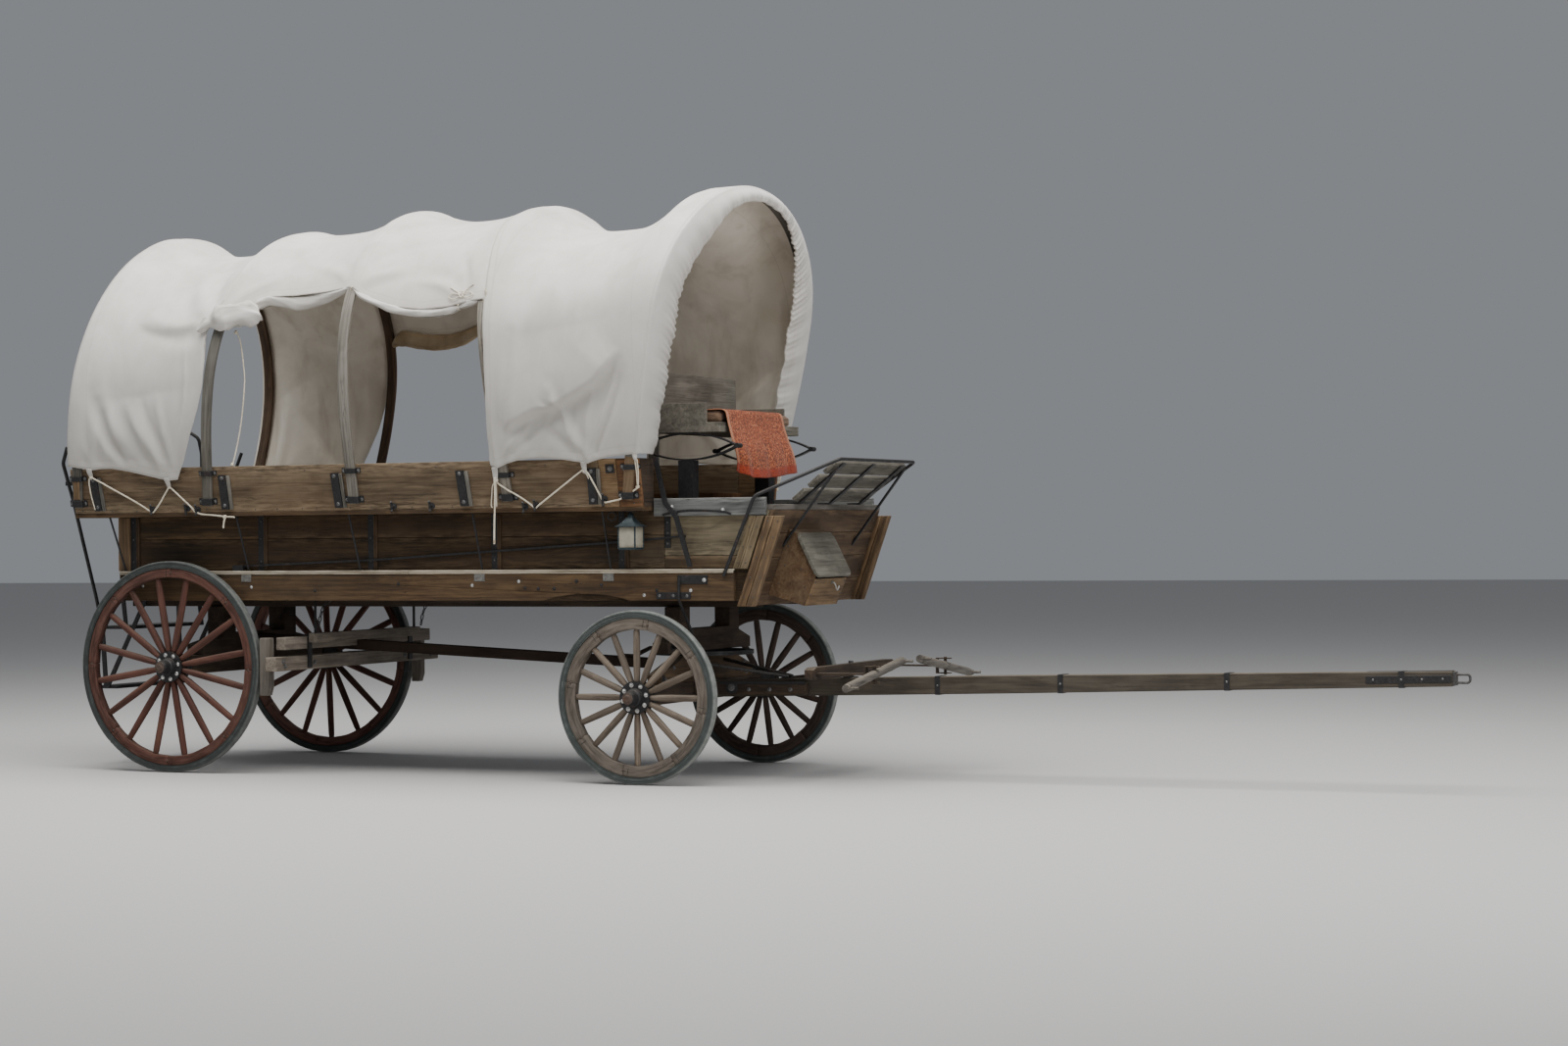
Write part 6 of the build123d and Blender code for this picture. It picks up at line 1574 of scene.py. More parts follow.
# tool box: hook latch with its washer, and nails
tube(bright_a, curve_line([P(4.066, -.243, 1.124), P(4.076, -.242, 1.118), P(4.080, -.232, 1.100), P(4.074, -.205, 1.081), P(4.068, -.178, 1.080), P(4.068, -.165, 1.090), P(4.071, -.164, 1.102)], .004), .0042, 8)
lathe(galv_a, P(4.060, -.243, 1.124), (.919, 0, -.394), [(.011, -.002), (.011, .003), (.005, .006), (.004, .010)], 12)
for y in (-.487, -.470, -.066, -.050):
    for z in (1.06, 1.13):
        bolt(nail_a, P(3.995 + .075 * (z - .995) / .175 + .0092, y, z - .0036), (.92, 0, -.39), .0045, "nail")
for y, x, z in ((-.4905, 3.84, 1.12), (-.4905, 3.90, 1.33), (-.4905, 4.00, 1.10), (-.4905, 3.88, 1.22), (-.4905, 3.98, 1.20)):
    bolt(nail_a, P(x, y, z), (0, -1, 0), .0045, "nail")
# brake: fixing bolts, and hanging chains with their plates
for y in (-.86, -.84, .86, .84):
    bolt(bolt_a, P(.7905, y, .672 if abs(y) > .85 else .645), (1, 0, 0), .009, "hex")
for s in (-1, 1):
    bolt(bolt_a, P(.7905, s * .520, .655), (1, 0, 0), .010, "hex")


def chain(acc, ctrl, link=.040, wide=.023, r=.0034):
    """Oval links along a line, each turned a quarter from the last."""
    pts = curve_line(ctrl, link - 2.6 * r)
    _, sd, up = frames(pts)
    for i in range(len(pts) - 1):
        c, d = (pts[i] + pts[i + 1]) / 2, pts[i + 1] - pts[i]
        d = d / np.linalg.norm(d)
        a_ = sd[i] if i % 2 else up[i]
        a_ = a_ - d * np.dot(a_, d)
        a_ /= np.linalg.norm(a_)
        hl, hw = link / 2 - r, wide / 2 - r
        loop = []
        for q in np.linspace(0, 2 * math.pi, 14, endpoint=False):
            X = hw * math.cos(q) + math.copysign(hl - hw, math.cos(q)) * min(1, abs(math.cos(q)) * 6)
            loop.append(c + d * X + a_ * hw * math.sin(q))
        tube(acc, loop, r, 6, close=True)


chain(iron_a, [P(.955, -.600, 1.028), P(.915, -.600, 1.000), P(.888, -.600, .940), P(.874, -.600, .880), P(.862, -.600, .838)])
chain(iron_a, [P(.955, .600, 1.028), P(.915, .600, .990), P(.880, .600, .920), P(.862, .600, .838)])
for s in (-1, 1):
    lathe(iron_a, P(.955, s * .600, 1.0305), (0, 0, -1), [(.020, -.001), (.020, .004), (.008, .008), (.006, .012), (.001, .013)], 12)
# lantern: the disc under its bracket, its frame and top, and the short tube above it
lathe(iron_a, P(3.105, -.868, 1.5345), (0, 0, -1), [(.030, -.0008), (.030, .003), (.012, .005), (.007, .009)], 16)
lan = Acc()
LX, LY = 3.105, -.868


def square_rings(acc, rows):
    """Square rings (half width, z), with soft corners."""
    v = []
    for h, z in rows:
        q = min(.004, h * .3)
        v += [P(LX + a_, LY + b_, z) for a_, b_ in ((-h, -h + q), (-h + q, -h), (h - q, -h), (h, -h + q), (h, h - q), (h - q, h), (-h + q, h), (-h, h - q))]
    acc.add(v, ring_faces(len(rows), 8), None, RNG.uniform(), 0, False)


square_rings(lan, [(.048, 1.318), (.052, 1.321), (.056, 1.327), (.056, 1.3305)])
for a_ in (-1, 1):
    for b_ in (-1, 1):
        x0, y0 = sorted((LX + a_ * .0475, LX + a_ * .0555)), sorted((LY + b_ * .0475, LY + b_ * .0555))
        board(lan, corners(x0[0], x0[1], y0[0], y0[1], 1.329, 1.449, "z", "x"), r=.0015)
square_rings(lan, [(.056, 1.4465), (.068, 1.4475), (.069, 1.4505), (.055, 1.4585), (.042, 1.4695), (.0315, 1.4825), (.0225, 1.4965), (.0225, 1.4995), (.0145, 1.5015), (.0130, 1.5095), (.0165, 1.5125), (.011, 1.520), (.006, 1.5235)])
tube(lan, [P(LX, LY, 1.520), P(LX, LY, 1.5345)], .0055, 8)
lo_ = lan.obj("lantern_frame", M["verdigris"], "wagon")
pn = Acc()
for a_, b_ in ((-1, 0), (1, 0), (0, -1), (0, 1)):
    if a_:
        xs_ = sorted((LX + a_ * .0500, LX + a_ * .0522))
        board(pn, corners(xs_[0], xs_[1], LY - .0472, LY + .0472, 1.3308, 1.4462, "z", "y"), r=.0006)
    else:
        ys_ = sorted((LY + b_ * .0500, LY + b_ * .0522))
        board(pn, corners(LX - .0472, LX + .0472, ys_[0], ys_[1], 1.3308, 1.4462, "z", "x"), r=.0006)
po_ = pn.obj("lantern_glass", M["pane"], "wagon")
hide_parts("lantern")
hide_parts("lantern_panes")
# iron ring of the lantern's bracket
tube(iron_a, [np.array(P(2.988, -.868, 1.5075)) + .024 * np.array((math.cos(q), .15 * math.cos(q), math.sin(q))) for q in np.linspace(0, 2 * math.pi, 22, endpoint=False)], .0045, 8, close=True)
lathe(galv_a, P(3.105, -.868, 1.330), (0, 0, 1), [(.034, 0), (.034, .018), (.020, .026), (.012, .030), (.012, .046), (.004, .048)], 16)
# front gear: hound straps with a large washer and bolt, bands round the tongue, plates on the bolster's ends
gear_i, gear_b = Acc(), Acc()
hy = lambda x: .290 - .2064 * (x - 2.895)
for s in (-1, 1):
    n_ = np.array((.2022, s * .979, 0))
    lathe(gear_i, P(3.400, s * (hy(3.400) + .0003), .516), n_, [(.036, -.003), (.036, .003), (.031, .0045), (.026, .0035), (.024, .0060), (.022, .0065)], 24)
    bolt(gear_b, P(3.400 + .001, s * (hy(3.400) + .0045), .516), n_, .015, "hex", washer=False)
    for x0, x1 in ((3.330, 3.830), (2.92, 3.05)):
        strip(gear_i, [P(x0, s * (hy(x0) + .0022), .5435), P(x1, s * (hy(x1) + .0022), .5435)], (0, 0, 1), .016, .0035)
    for x in (3.50, 3.62, 3.74):
        bolt(gear_b, P(x, s * (hy(x) + .0005), .505), n_, .008, "dome")
    for z, y in ((.575, .585), (.575, .500), (.640, .480)):
        bolt(gear_b, P(3.1755, s * y, z), (1, 0, 0), .009, "hex")
    strip(gear_i, [P(3.1765, s * .615, .556), P(3.1765, s * .615, .604)], (0, 1, 0), .034, .003)
for x in (4.62, 5.35, 6.30, 7.25):
    zc = .505 + (x - 3.35) * .0235
    hh = .0515 if x < 5.1 else .0515 - .010 * (x - 5.1) / 2.42
    yh = .0518
    for a_, b_ in (((-yh, -hh), (yh, -hh)), ((yh, -hh), (yh, hh)), ((yh, hh), (-yh, hh)), ((-yh, hh), (-yh, -hh))):
        strip(gear_i, [P(x, a_[0], zc + a_[1]), P(x, b_[0], zc + b_[1])], (1, 0, 0), .030, .0035)
    for s in (-1, 1):
        bolt(gear_b, P(x, s * (yh + .0015), zc), (0, s, 0), .007, "dome", washer=False)
# shoe along the tongue's tip
for s in (-1, 1):
    strip(gear_i, [P(7.06, s * .0515, .5925), P(7.515, s * .0515, .6030)], (0, 0, 1), .040, .0032)
    for x in (7.10, 7.36, 7.47):
        bolt(gear_b, P(x, s * .0530, .5925 + (x - 7.06) * .0231), (0, s, 0), .0070, "dome", washer=False)
strip(gear_i, [P(7.06, 0, .6345), P(7.515, 0, .6445)], (0, 1, 0), .060, .0032)
# strut from the rail's plate to the upper bolster
tube(iron_a, curve_line([P(3.372, -.806, 1.168), P(3.372, -.806, 1.100), P(3.371, -.803, 1.035), P(3.366, -.700, .925), P(3.350, -.585, .818), P(3.300, -.545, .785), P(3.230, -.520, .762), P(3.178, -.505, .757)], .012), .0085, 8)
lathe(iron_a, P(3.180, -.505, .757), (1, 0, 0), [(.022, -.001), (.022, .004), (.010, .007)], 14)
for end in ("rear", "front"):
    for side in ("right", "left"):
        w = WHEELS[end, side]
        c, s = w["c"], w["s"]
        b = Acc()
        yf = c[1] + s * .0355
        for i in range(8):
            an = 2 * math.pi * (i + .3) / 8
            p = (c[0] + .0735 * math.cos(an), yf, c[2] + .0735 * math.sin(an))
            bolt(b, p, (0, s, 0), .0088, "hex" if end == "front" else "dome", mat=0)
        # cap of the nose
        yn = c[1] + s * .122
        lathe(b, (c[0], yn, c[2]), (0, s, 0), [(.033, -.003), (.033, .001), (.020, .004), (.018, .007), (.004, .008)], 20, mat=1)
        # felloe joints: a rivet and a thin iron strip at each joint
        rf, R = w["rf"], w["R"]
        turned = TURNED[end, side]
        rm = (rf + R - .042) / 2
        for i in range(16):
            an = 2 * math.pi * (i + turned - .5) / 16
            if i % 2 == 0:
                p = np.array((c[0] + rm * math.cos(an), c[1] + s * .0240, c[2] + rm * math.sin(an)))
                rad_, tan_ = np.array((math.cos(an), 0, math.sin(an))), np.array((-math.sin(an), 0, math.cos(an)))
                lathe(b, p, (0, s, 0), [(.0075, -.001), (.0075, .001), (.005, .0028), (.001, .0032)], 8, mat=1)
                strip(b, [p - rad_ * .022 + tan_ * .030, p + rad_ * .022 + tan_ * .030], tan_, .0024, .0012, mat=2)
        o = b.obj(f"{end}_wheel_bolts_{side}", [M["bright"], M["rust"], M["iron"]], f"{end}_wheel_{side}", sharp=40)

# white tabs that hang from the cover, and its ropes
tab_r, tab_f = Acc(), Acc()
for s in (-1, 1):
    for x, z0, z1, o0, o1, w in ((-.500, 1.840, 1.768, .0335, .019, .038), (.056, 1.775, 1.706, .0335, .017, .038), (2.302, 1.800, 1.712, .0335, .034, .038), (2.872, 1.820, 1.752, .0335, .022, .036), (3.199, 1.868, 1.822, .0335, .034, .032)):
        acc = tab_r if x < 2.2 else tab_f
        ts = np.linspace(0, 1, 10)
        c = np.array([on_flare(x + .002 * math.sin(5 * t_ + x), z0 + (z1 - z0) * t_, o0 + (o1 - o0) * t_ + .003 * math.sin(t_ * 6 + x), s) for t_ in ts])
        nr = flare_n(s)
        v = []
        for p, t_ in zip(c, ts):
            hw = w * (1 - .5 * t_ * t_) / 2
            for q, dn in [(q_, 0) for q_ in (-1, -.6, -.2, .2, .6, 1)] + [(q_, -.0026) for q_ in (1, .6, .2, -.2, -.6, -1)]:
                v.append(p + np.array((q * hw, 0, 0)) + nr * (.0045 * t_ * math.cos(q * 4.2) + dn))
        f = ring_faces(len(ts), 12)
        acc.add(v, f if s > 0 else [q[::-1] for q in f], None, 0)


def FR(s, *rows):
    return [on_flare(x, z, off, s) if z >= Z_S1 else P(x, s * (.905 + off), z) for x, z, off in rows]


def knot(acc, c, d, turns=2.2, r=.010, axis=(1, 0, 0), mat=0):
    """A few close turns of rope pulled into a lump."""
    ax, a_, b_ = basis(axis)
    c = np.asarray(c, float)
    pts = [c + ax * (d * .85 * (q / turns - .5) * 2) + (r * .75) * (math.cos(2 * math.pi * q) * a_ + math.sin(2 * math.pi * q) * b_) for q in np.linspace(0, turns, int(turns * 10))]
    rope(acc, pts, d, mat, step=.0035)


D = .0105
for s in (-1, 1):
    near = s < 0
    o = .015
    # first rope: tab, hook, tab, hook, away to a knot on the board's lower edge
    rope(rope_a, FR(s, (-.499, 1.786, .024), (-.460, 1.768, .024), (-.425, 1.748, .017), (-.36, 1.713, o), (-.20, 1.631, o), (-.105, 1.578, .020), (-.087, 1.567, .0225), (-.068, 1.576, .020), (-.02, 1.628, o), (.04, 1.700, o), (.058, 1.716, .016),
                    (.076, 1.704, o), (.14, 1.646, o), (.205, 1.590, .020), (.222, 1.567, .0215), (.240, 1.557, .020), (.270, 1.549, .016), (.36, 1.541, .014), (.432, 1.533, .014), (.475, 1.531, .015), (.502, 1.528, .015)), D)
    knot(rope_a, FR(s, (.432, 1.532, .016))[0], .0085)
    rope(rope_a, FR(s, (.437, 1.534, .016), (.430, 1.51, .022), (.424, 1.485, .020), (.421, 1.462, .019)), D)
    knot(rope_a, FR(s, (-.499, 1.784, .018))[0], .0090, axis=(0, 0, 1))
    rope(rope_a, FR(s, (-.510, 1.782, .020), (-.521, 1.748, .017), (-.520, 1.68, .0145), (-.512, 1.63, .0145), (-.503, 1.584, .0145)), .009)
    # second rope: front panel
    rope(rope_a, FR(s, (2.303, 1.716, .030), (2.322, 1.700, .0300), (2.350, 1.682, .0295), (2.380, 1.663, .0290), (2.415, 1.640, .018), (2.46, 1.611, o), (2.512, 1.577, .020), (2.531, 1.563, .0225), (2.552, 1.577, .020), (2.62, 1.622, o), (2.75, 1.705, o), (2.835, 1.759, .018), (2.867, 1.772, .0235),
                    (2.892, 1.752, .0235), (2.922, 1.692, .0225), (2.948, 1.632, .018), (2.958, 1.610, .019), (2.969, 1.592, .0225), (2.990, 1.590, .020), (3.03, 1.597, o), (3.073, 1.606, o), (3.14, 1.640, o), (3.190, 1.668, .016)), D)
    rope(rope_a, [on_flare(3.199, 1.826, .034, s), on_flare(3.196, 1.75, .024, s), on_flare(3.190, 1.676, .018, s)], .0085)
    rope(rope_a, [on_flare(3.212, 1.830, .036, s), on_flare(3.207, 1.75, .026, s), on_flare(3.194, 1.678, .019, s)], .0085)
    knot(rope_a, on_flare(3.190, 1.672, .018, s), .0085, axis=(0, 0, 1))
    knot(rope_a, FR(s, (2.304, 1.724, .036))[0], .0105, turns=2.6, r=.0125, axis=(0, 0, 1))
    rope(rope_a, FR(s, (2.296, 1.718, .032), (2.272, 1.692, .022), (2.256, 1.64, .0145), (2.248, 1.60, .0145), (2.246, 1.575, .0150), (2.254, 1.567, .0160)), .0085)
    rope(rope_a, FR(s, (2.301, 1.712, .032), (2.293, 1.66, .024), (2.286, 1.61, .022), (2.283, 1.572, .022)), .0085)
    knot(rope_a, FR(s, (2.868, 1.766, .019))[0], .0085, axis=(0, 0, 1))
    rope(rope_a, FR(s, (2.872, 1.762, .021), (2.884, 1.742, .021), (2.889, 1.72, .018)), .0085)
# inner tie of the rear panel, from the roll to the rail
rope(rope_a, [P(.505, -.885, 2.630), P(.535, -.893, 2.560), P(.556, -.898, 2.44), P(.566, -.902, 2.322), P(.548, -.912, 2.10), P(.520, -.926, 1.93), P(.503, -.940, 1.842)], .0085)
knot(rope_a, P(.503, -.943, 1.840), .0085, axis=(1, 0, 0))
knot(rope_a, P(.502, -.892, 2.628), .0085, axis=(1, 0, 0))
# ties round the rolled flap, with a bow and loose ends
RR = np.array(ROLL_R)
for x, d_ in ((2.085, .008), (1.333, .007), (2.262, .006)):
    y, z, ry, rz = (float(np.interp(x, RR[:, 0], RR[:, k_])) for k_ in (1, 2, 3, 4))
    t_ = .70
    loop = [P(x + .004 * math.sin(q), -(y + (ry * t_ + .004) * math.cos(q)), z + (rz * t_ + .004) * math.sin(q)) for q in np.linspace(0, 2 * math.pi, 22)]
    rope(rope_a, loop, d_)
x_, y_ = on_sheet(2.352, 2.792, .008)
rope(rope_a, [P(x_ - .012, -(y_ + .004), 2.800), P(x_ + .010, -(y_ + .006), 2.786), P(x_ - .002, -(y_ + .006), 2.752), P(x_ - .008, -(y_ + .006), 2.715)], .006)
rope(rope_a, [P(x_ + .016, -(y_ + .003), 2.812), P(x_ + .002, -(y_ + .006), 2.792), P(x_ + .008, -(y_ + .006), 2.765)], .006)

for acc, name, mats, slot_ in ((iron_a, "small_irons", [M["iron"]], "black_iron"), (bolt_a, "body_bolts", [M["bolt"]], "black_iron"), (galv_a, "small_plates", [M["galv"]], "black_iron"),
                               (wood_a, "strap_strips", [M["grey"], M["dark"]], "grey_wood"), (nail_a, "nail_heads", [M["iron_worn"]], "black_iron"),
                               (rope_a, "cover_ropes", [M["rope"]], "rope"), (bright_a, "bright_bolts", [M["bright"]], "black_iron"), (tan_a, "bow_foot_pieces", [M["honey"]], "honey_wood")):
    o = acc.obj(name, mats, "wagon", sharp=None if acc in (rope_a, wood_a, tan_a) else 38)
for acc, name, m_ in ((gear_i, "gear_straps", M["iron"]), (gear_b, "gear_bolts", M["bolt"])):
    o = acc.obj(name, m_, "front_gear", sharp=38)
tabs_rear = tab_r.obj("cover_tabs_rear", M["canvas_out"], "wagon")
tabs_front = tab_f.obj("cover_tabs_front", M["canvas_out"], "wagon")

# board across the tool box's front, below the lid's drip edge
a = Acc()
c = np.zeros((2, 2, 2, 3))
for i, y in enumerate((-.4895, -.0455)):
    for j, z in enumerate((.9985, 1.148)):
        for k_, off in enumerate((.0004, .0092)):
            c[i, j, k_] = P(3.995 + .075 * (z - .995) / .175 + off * .919, y, z - off * .394)
board(a, c, r=.0025)
o = a.obj("tool_box_front", M["post"], "wagon")

# corner board at the back
a = Acc()
board(a, corners(-.440, -.356, .7655, .783, 1.210, 1.533, "z", "x"), r=.002)
board(a, corners(-.440, -.356, -.783, -.7655, 1.210, 1.533, "z", "x"), r=.002)
o = a.obj("rear_corner_boards", M["post"], "wagon")

# ------------------------------------------------------------------ floor, light, camera
world = bpy.data.worlds.new("studio")
bpy.context.scene.world = world
world.use_nodes = True
bg = world.node_tree.nodes["Background"]
bg.inputs[0].default_value = (.80, .84, .90, 1)
bg.inputs[1].default_value = .285

me = bpy.data.meshes.new("floor")
me.from_pydata([(-60, -60, 0), (60, -60, 0), (60, 60, 0), (-60, 60, 0)], [], [(0, 1, 2, 3)])
floor = bpy.data.objects.new("floor", me)
bpy.context.scene.collection.objects.link(floor)
m, nt, b = nt_new("floor")
b.inputs["Base Color"].default_value = (.52, .51, .50, 1)
b.inputs["Roughness"].default_value = .9
me.materials.append(m)


def area_light(name, loc, target, size, energy, color=(1, 1, 1)):
    l = bpy.data.lights.new(name, "AREA")
    l.shape = "RECTANGLE"
    l.size, l.size_y = size
    l.energy = energy
    l.color = color
    o = bpy.data.objects.new(name, l)
    o.location = loc
    o.rotation_euler = (Vector(target) - Vector(loc)).to_track_quat("-Z", "Y").to_euler()
    bpy.context.scene.collection.objects.link(o)


area_light("sky_soft", (-.5, -2.0, 9.5), (-.3, 0, 1), (13, 9), 2150, (1.0, .99, .97))
area_light("key_soft", (5.0, -9.5, 5.6), (1.0, 0, 1.4), (6, 4), 84, (1.0, .985, .96))
area_light("front_fill", (9.5, -4.0, 3.2), (-.5, .3, 2.3), (5, 4), 250, (.98, .985, 1.0))

yaw, pitch, roll_ = -.4195, .0020, -.0099
fw = Vector((math.sin(yaw) * math.cos(pitch), math.cos(yaw) * math.cos(pitch), math.sin(pitch)))
r0 = fw.cross(Vector((0, 0, 1))).normalized()
u0 = r0.cross(fw)
cR = math.cos(roll_) * r0 + math.sin(roll_) * u0
cU = -math.sin(roll_) * r0 + math.cos(roll_) * u0
cam_d = bpy.data.cameras.new("camera")
cam_d.lens = 3111.0 / 1600.0 * 36.0
cam_d.sensor_width = 36.0
cam_d.clip_end = 300
cam = bpy.data.objects.new("camera", cam_d)
mat = Matrix(((cR.x, cU.x, -fw.x, 10.848 + OX), (cR.y, cU.y, -fw.y, -16.120), (cR.z, cU.z, -fw.z, 1.426), (0, 0, 0, 1)))
cam.matrix_world = mat
bpy.context.scene.collection.objects.link(cam)
bpy.context.scene.camera = cam

# the bow of the flap's tie lies on the cloth where it is seen
from mathutils.bvhtree import BVHTree
cloths = [BVHTree.FromPolygons([v.co for v in o_.data.vertices], [tuple(p_.vertices) for p_ in o_.data.polygons]) for o_ in (rear, roll_r)]


def on_cloth(rows, rise):
    pts = []
    for px_, py_, up_ in rows:
        d_ = (fw + cR * ((px_ - 800.0) / 3111.0) - cU * ((py_ - 533.5) / 3111.0)).normalized()
        hits = [h_ for h_ in (b_.ray_cast(Vector(cam.matrix_world.translation), d_) for b_ in cloths) if h_[0] is not None]
        if hits:
            h_ = min(hits, key=lambda h_: h_[3])
            n_ = h_[1] if h_[1].dot(d_) < 0 else -h_[1]
            pts.append(np.array(h_[0]) + np.array(n_) * (rise + up_))
    return pts


tie = Acc()
for rows in ([(471, 301, .003), (465, 297, .002), (459.5, 293.5, 0)], [(471, 301, .003), (476, 297, .003), (480, 293, .001), (484, 290, 0)],
             [(470, 302, .003), (464, 306, .008), (459, 303.5, .007), (462, 300, .004), (470, 301, .003)], [(471, 302, .003), (478, 304, .008), (483, 301, .006), (480, 298, .003), (472, 301, .003)],
             [(468, 299, .004), (471, 304, .005), (474, 299, .004), (470, 298, .005)]):
    pts_ = on_cloth(rows, .0036)
    if len(pts_) > 2:
        rope(tie, pts_, .0065)
tie_o = tie.obj("flap_tie_bow", M["rope"], "wagon")

# ------------------------------------------------------------------ soft pieces
# ---- cushion: a stuffed pad, swollen by simulated pressure inside its cover
def cushion():
    src = N["seat_cushion"]
    mw = src.matrix_world
    me = src.data.copy()
    co = np.array([tuple(mw @ v.co) for v in me.vertices])
    lo, hi = co.min(0), co.max(0)
    mid = (lo + hi) / 2
    start = mid + (co - mid) * np.array([.975, .985, .70])
    start[:, 2] -= .004
    me.vertices.foreach_set("co", start.ravel())
    me.materials.clear()
    o = bpy.data.objects.new("seat_cushion_pad", me)
    bpy.context.scene.collection.objects.link(o)
    rm = o.modifiers.new("remesh", "REMESH")
    rm.mode = "VOXEL"
    rm.voxel_size = .0095
    dg = bpy.context.evaluated_depsgraph_get()
    me1 = bpy.data.meshes.new_from_object(o.evaluated_get(dg))
    o.modifiers.clear()
    o.data = me1
    n = len(me1.vertices)
    base = np.empty(n * 3)
    me1.vertices.foreach_get("co", base)
    base = base.reshape(-1, 3)
    cl = o.modifiers.new("stuffing", "CLOTH")
    st = cl.settings
    st.quality = 5
    st.mass = .25
    st.tension_stiffness = st.compression_stiffness = 12
    st.bending_stiffness = .6
    st.use_pressure = True
    st.uniform_pressure_force = 4
    st.effector_weights.gravity = 0
    cl.collision_settings.use_collision = False
    cl.point_cache.frame_start, cl.point_cache.frame_end = 1, 20
    sc = bpy.context.scene
    for f in range(1, 21):
        sc.frame_set(f)
    dg = bpy.context.evaluated_depsgraph_get()
    ev = o.evaluated_get(dg).to_mesh()
    c = np.empty(n * 3)
    ev.vertices.foreach_get("co", c)
    c = c.reshape(-1, 3)
    o.evaluated_get(dg).to_mesh_clear()
    o.modifiers.clear()
    sc.frame_set(1)
    mv = c - base
    d = np.linalg.norm(mv, axis=1)
    c = base + mv * np.minimum(1, .026 / np.maximum(d, 1e-9))[:, None]
    # worn hollows, wrinkles near the corners, and the seat under it
    u, v = (c[:, 0] - mid[0]) / (.5 * (hi[0] - lo[0])), (c[:, 1] - mid[1]) / (.5 * (hi[1] - lo[1]))
    top = c[:, 2] > mid[2]
    c[:, 2] -= np.where(top, .0030 * np.exp(-((v - .45) / .28) ** 2 - (u / .6) ** 2) + .0035 * np.exp(-((v + .40) / .25) ** 2 - (u / .6) ** 2), 0)
    c[:, 2] += np.where(top, .0010 * np.sin(c[:, 1] * 46 + 3 * np.sin(c[:, 0] * 20)) * np.clip(np.abs(u) - .6, 0, 1) * 2.5, 0)
    c[:, 2] = np.clip(c[:, 2], lo[2] + .0003, hi[2] - .0006)
    c[:, 0] = np.clip(c[:, 0], lo[0] - .001, hi[0] + .001)
    c[:, 1] = np.clip(c[:, 1], lo[1] - .003, hi[1] + .003)
    me1.vertices.foreach_set("co", c.ravel())
    me1.polygons.foreach_set("use_smooth", [True] * len(me1.polygons))
    me1.materials.clear()
    me1.materials.append(M["cushion"])
    me1.update()
    ss = o.modifiers.new("round", "SUBSURF")
    ss.levels = ss.render_levels = 1
    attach(o, "wagon")
    # welt sewn round the top and bottom edge of the side
    from mathutils.bvhtree import BVHTree
    tree = BVHTree.FromPolygons([Vector(p) for p in c], [tuple(p.vertices) for p in me1.polygons])
    w = Acc()
    hx, hy_ = (hi[0] - lo[0]) / 2, (hi[1] - lo[1]) / 2
    for z in (lo[2] + .020, hi[2] - .022):
        loop = []
        for x, y in [(hx * a_, -hy_) for a_ in np.linspace(-.93, .93, 34)] + [(hx, hy_ * a_) for a_ in np.linspace(-.975, .975, 90)] + [(hx * a_, hy_) for a_ in np.linspace(.93, -.93, 34)] + [(-hx, hy_ * a_) for a_ in np.linspace(.975, -.975, 90)]:
            fr = Vector((mid[0] + x * 1.3, mid[1] + y * 1.15, z))
            to = Vector((mid[0] + x * .5, mid[1] + y * .8, z))
            hit = tree.ray_cast(fr, (to - fr).normalized())
            if hit[0] is not None:
                loop.append(tuple(hit[0]))
        lp = np.array(loop)
        for _ in range(3):
            lp = (np.roll(lp, 1, 0) + 2 * lp + np.roll(lp, -1, 0)) / 4
        lp = np.clip(lp, [lo[0] + .0015, lo[1] - .001, -9], [hi[0] + .0005, hi[1] + .001, 9])
        tube(w, lp, .0028, 6, close=True)
    wo = w.obj("seat_cushion_welts", M["cushion"], "wagon")
    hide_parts("seat_cushion")
    return o


cushion()


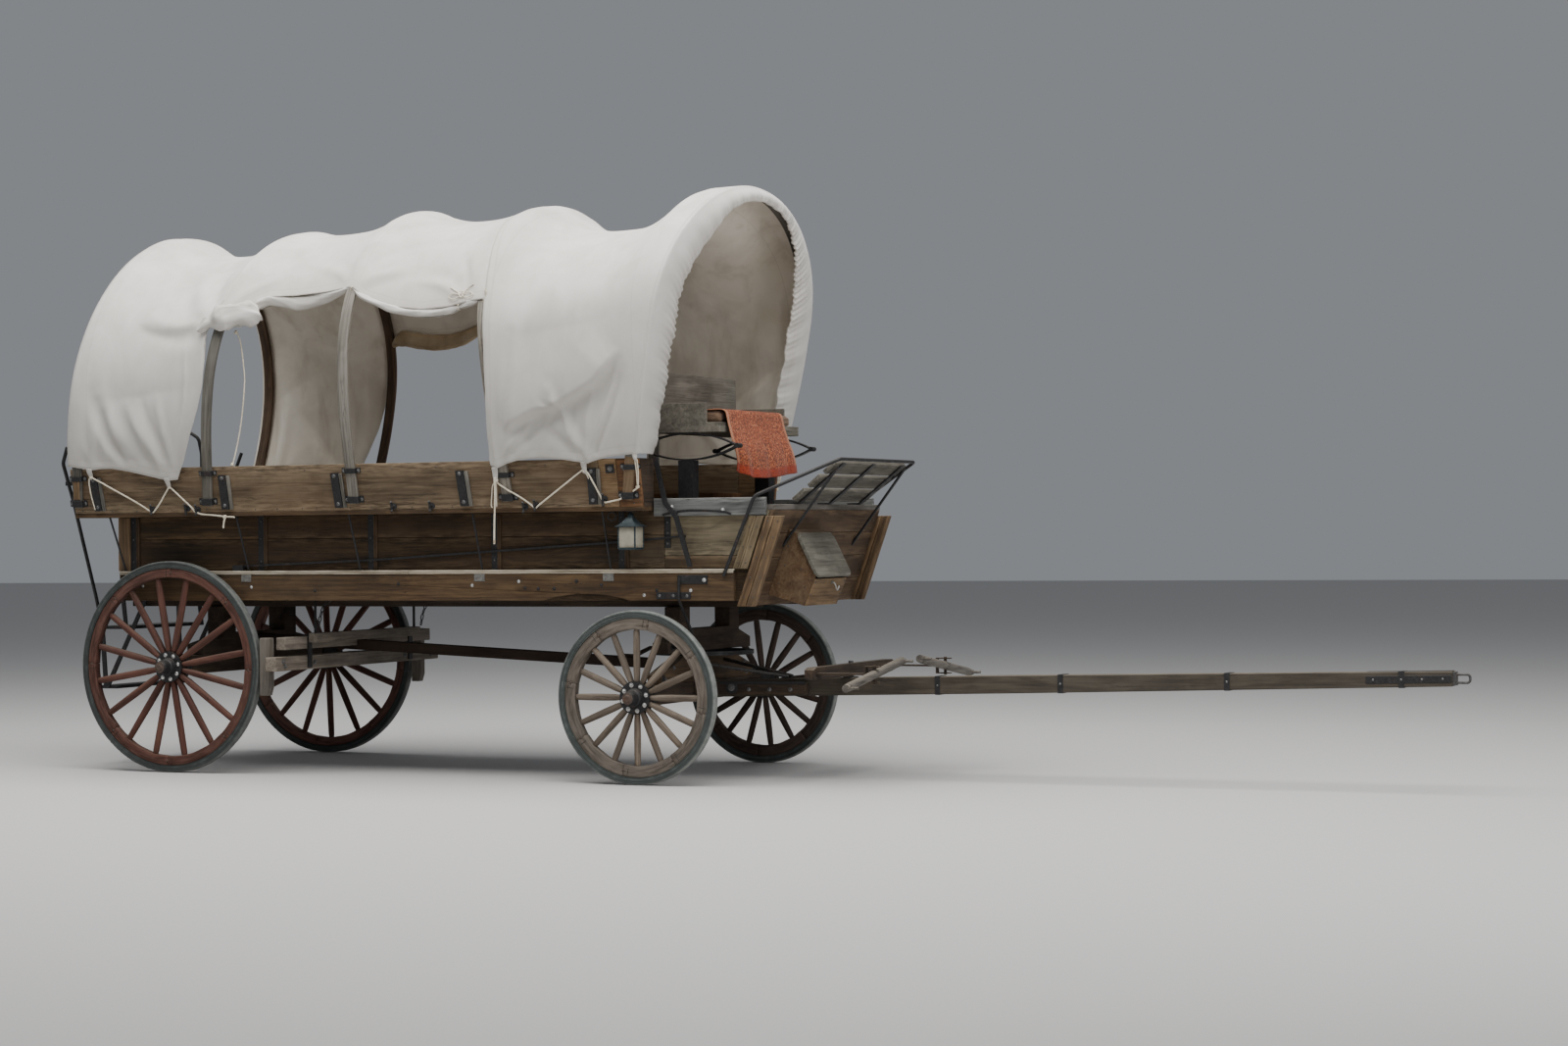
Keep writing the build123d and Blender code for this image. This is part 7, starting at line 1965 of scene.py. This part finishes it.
# ---- rug over the driver's seat
def rug():
    path = curve_line([(3.215, 0, 2.1115), (3.30, 0, 2.1120), (3.44, 0, 2.1120), (3.498, 0, 2.1105), (3.521, 0, 2.098), (3.531, 0, 2.066), (3.541, 0, 2.020), (3.566, 0, 1.950), (3.594, 0, 1.880), (3.612, 0, 1.800), (3.622, 0, 1.715), (3.625, 0, 1.690)], .009)[:, [0, 2]]
    L = np.r_[0, np.cumsum(np.hypot(*np.diff(path, axis=0).T))]
    ys = np.linspace(-.488, .292, 88)
    zb = np.interp(ys, [-.488, -.45, -.32, -.17, 0, .165, .322], [1.760, 1.745, 1.722, 1.720, 1.728, 1.745, 1.758])
    K = 74
    V = np.zeros((len(ys), K, 3))
    B = np.zeros((len(ys), K))
    S = np.zeros((len(ys), K))
    zmax = path[:, 1][::-1]
    for i, (y, z0) in enumerate(zip(ys, zb)):
        Lb = np.interp(z0, zmax, L[::-1])
        q = np.linspace(0, Lb, K)
        x, z = np.interp(q, L, path[:, 0]), np.interp(q, L, path[:, 1])
        hang = np.clip((2.05 - z) / .33, 0, 1)
        near = np.clip((-.36 - y) / .10, 0, 1)
        x = x + hang * (.0040 * math.sin(y * 27 + .6) + .0022 * math.sin(y * 51 + 2)) - near ** 2 * hang ** 2 * .050 + .002 * np.sin(q * 31 + y * 9) * hang
        yy = y + hang * (.006 * np.sin(q * 17 + y * 7)) + np.where(y < -.40, .010 * np.sin(q * 24) * hang, 0) + .022 * near * np.clip((1.86 - z) / .12, 0, 1)
        zz = z + .0008 * np.sin(x * 40 + y * 23) * (1 - hang)
        V[i] = np.stack([np.minimum(x, 3.6385) + OX, yy, zz], 1)
        B[i] = Lb - q
        S[i] = min(y - ys[0], ys[-1] - y)
    nu, nv = V.shape[:2]
    idx = np.arange(nu * nv).reshape(nu, nv)
    q = np.stack([idx[:-1, :-1], idx[1:, :-1], idx[1:, 1:], idx[:-1, 1:]], -1).reshape(-1, 4)
    p = V.reshape(-1, 3)
    k = q[5]
    if np.cross(p[k[1]] - p[k[0]], p[k[2]] - p[k[0]])[2] < 0:
        q = q[:, ::-1]
    me = bpy.data.meshes.new("seat_rug_cloth")
    me.from_pydata([tuple(a_) for a_ in p], [], [tuple(int(b_) for b_ in r_) for r_ in q])
    me.polygons.foreach_set("use_smooth", [True] * len(q))
    for nm, arr in (("border", B), ("selvage", S)):
        at = me.attributes.new(nm, "FLOAT", "POINT")
        at.data.foreach_set("value", arr.ravel().astype(np.float32))
    me.materials.append(M["rug"])
    me.update()
    o = bpy.data.objects.new("seat_rug_cloth", me)
    bpy.context.scene.collection.objects.link(o)
    sol = o.modifiers.new("wool_thickness", "SOLIDIFY")
    sol.thickness = .0055
    sol.offset = -1.0
    bv = o.modifiers.new("soft_edges", "BEVEL")
    bv.width = .0018
    bv.segments = 2
    bv.limit_method = "ANGLE"
    bv.angle_limit = math.radians(50)
    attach(o, "wagon")
    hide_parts("seat_rug")


rug()

# ---- the free tail of rope: its route's points are the control points of one smooth line
TAIL = [(-1.06102, -.988, 1.736), (-1.06102, -.988, 1.670), (-1.06352, -.986, 1.592), (-1.06802, -.984, 1.513), (-1.07002, -.9845, 1.435), (-1.06952, -.987, 1.357)]
cu = bpy.data.curves.new("rope_tail_line", "CURVE")
cu.dimensions = "3D"
sp = cu.splines.new("NURBS")
sp.points.add(len(TAIL) - 1)
for q, c in zip(sp.points, TAIL):
    q.co = (*c, 1)
sp.order_u = 3
sp.use_endpoint_u = True
sp.resolution_u = 16
line_o = bpy.data.objects.new("rope_tail_line", cu)
bpy.context.scene.collection.objects.link(line_o)
line_m = bpy.data.meshes.new_from_object(line_o)
line = [tuple(v.co) for v in line_m.vertices]
bpy.data.objects.remove(line_o)
bpy.data.meshes.remove(line_m)
a = Acc()
rope(a, line, .011, straight=True, step=.0035, taper_end=False)
tail = a.obj("rope_tail_strands", M["rope"], "wagon")
# whipping twine on its end
a = Acc()
e = np.array(line[-1])
d_ = e - np.array(line[-4])
d_ /= np.linalg.norm(d_)
n_, b1, b2 = basis(d_)
pts = [e - d_ * (.022 - .0145 * q / (2 * math.pi * 9)) + .0058 * (math.cos(q) * b1 + math.sin(q) * b2) for q in np.linspace(0, 2 * math.pi * 9, 150)]
tube(a, pts, .0009, 5)
whip = a.obj("rope_tail_whipping", M["canvas_brown"], "wagon")
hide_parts("rope_tail")
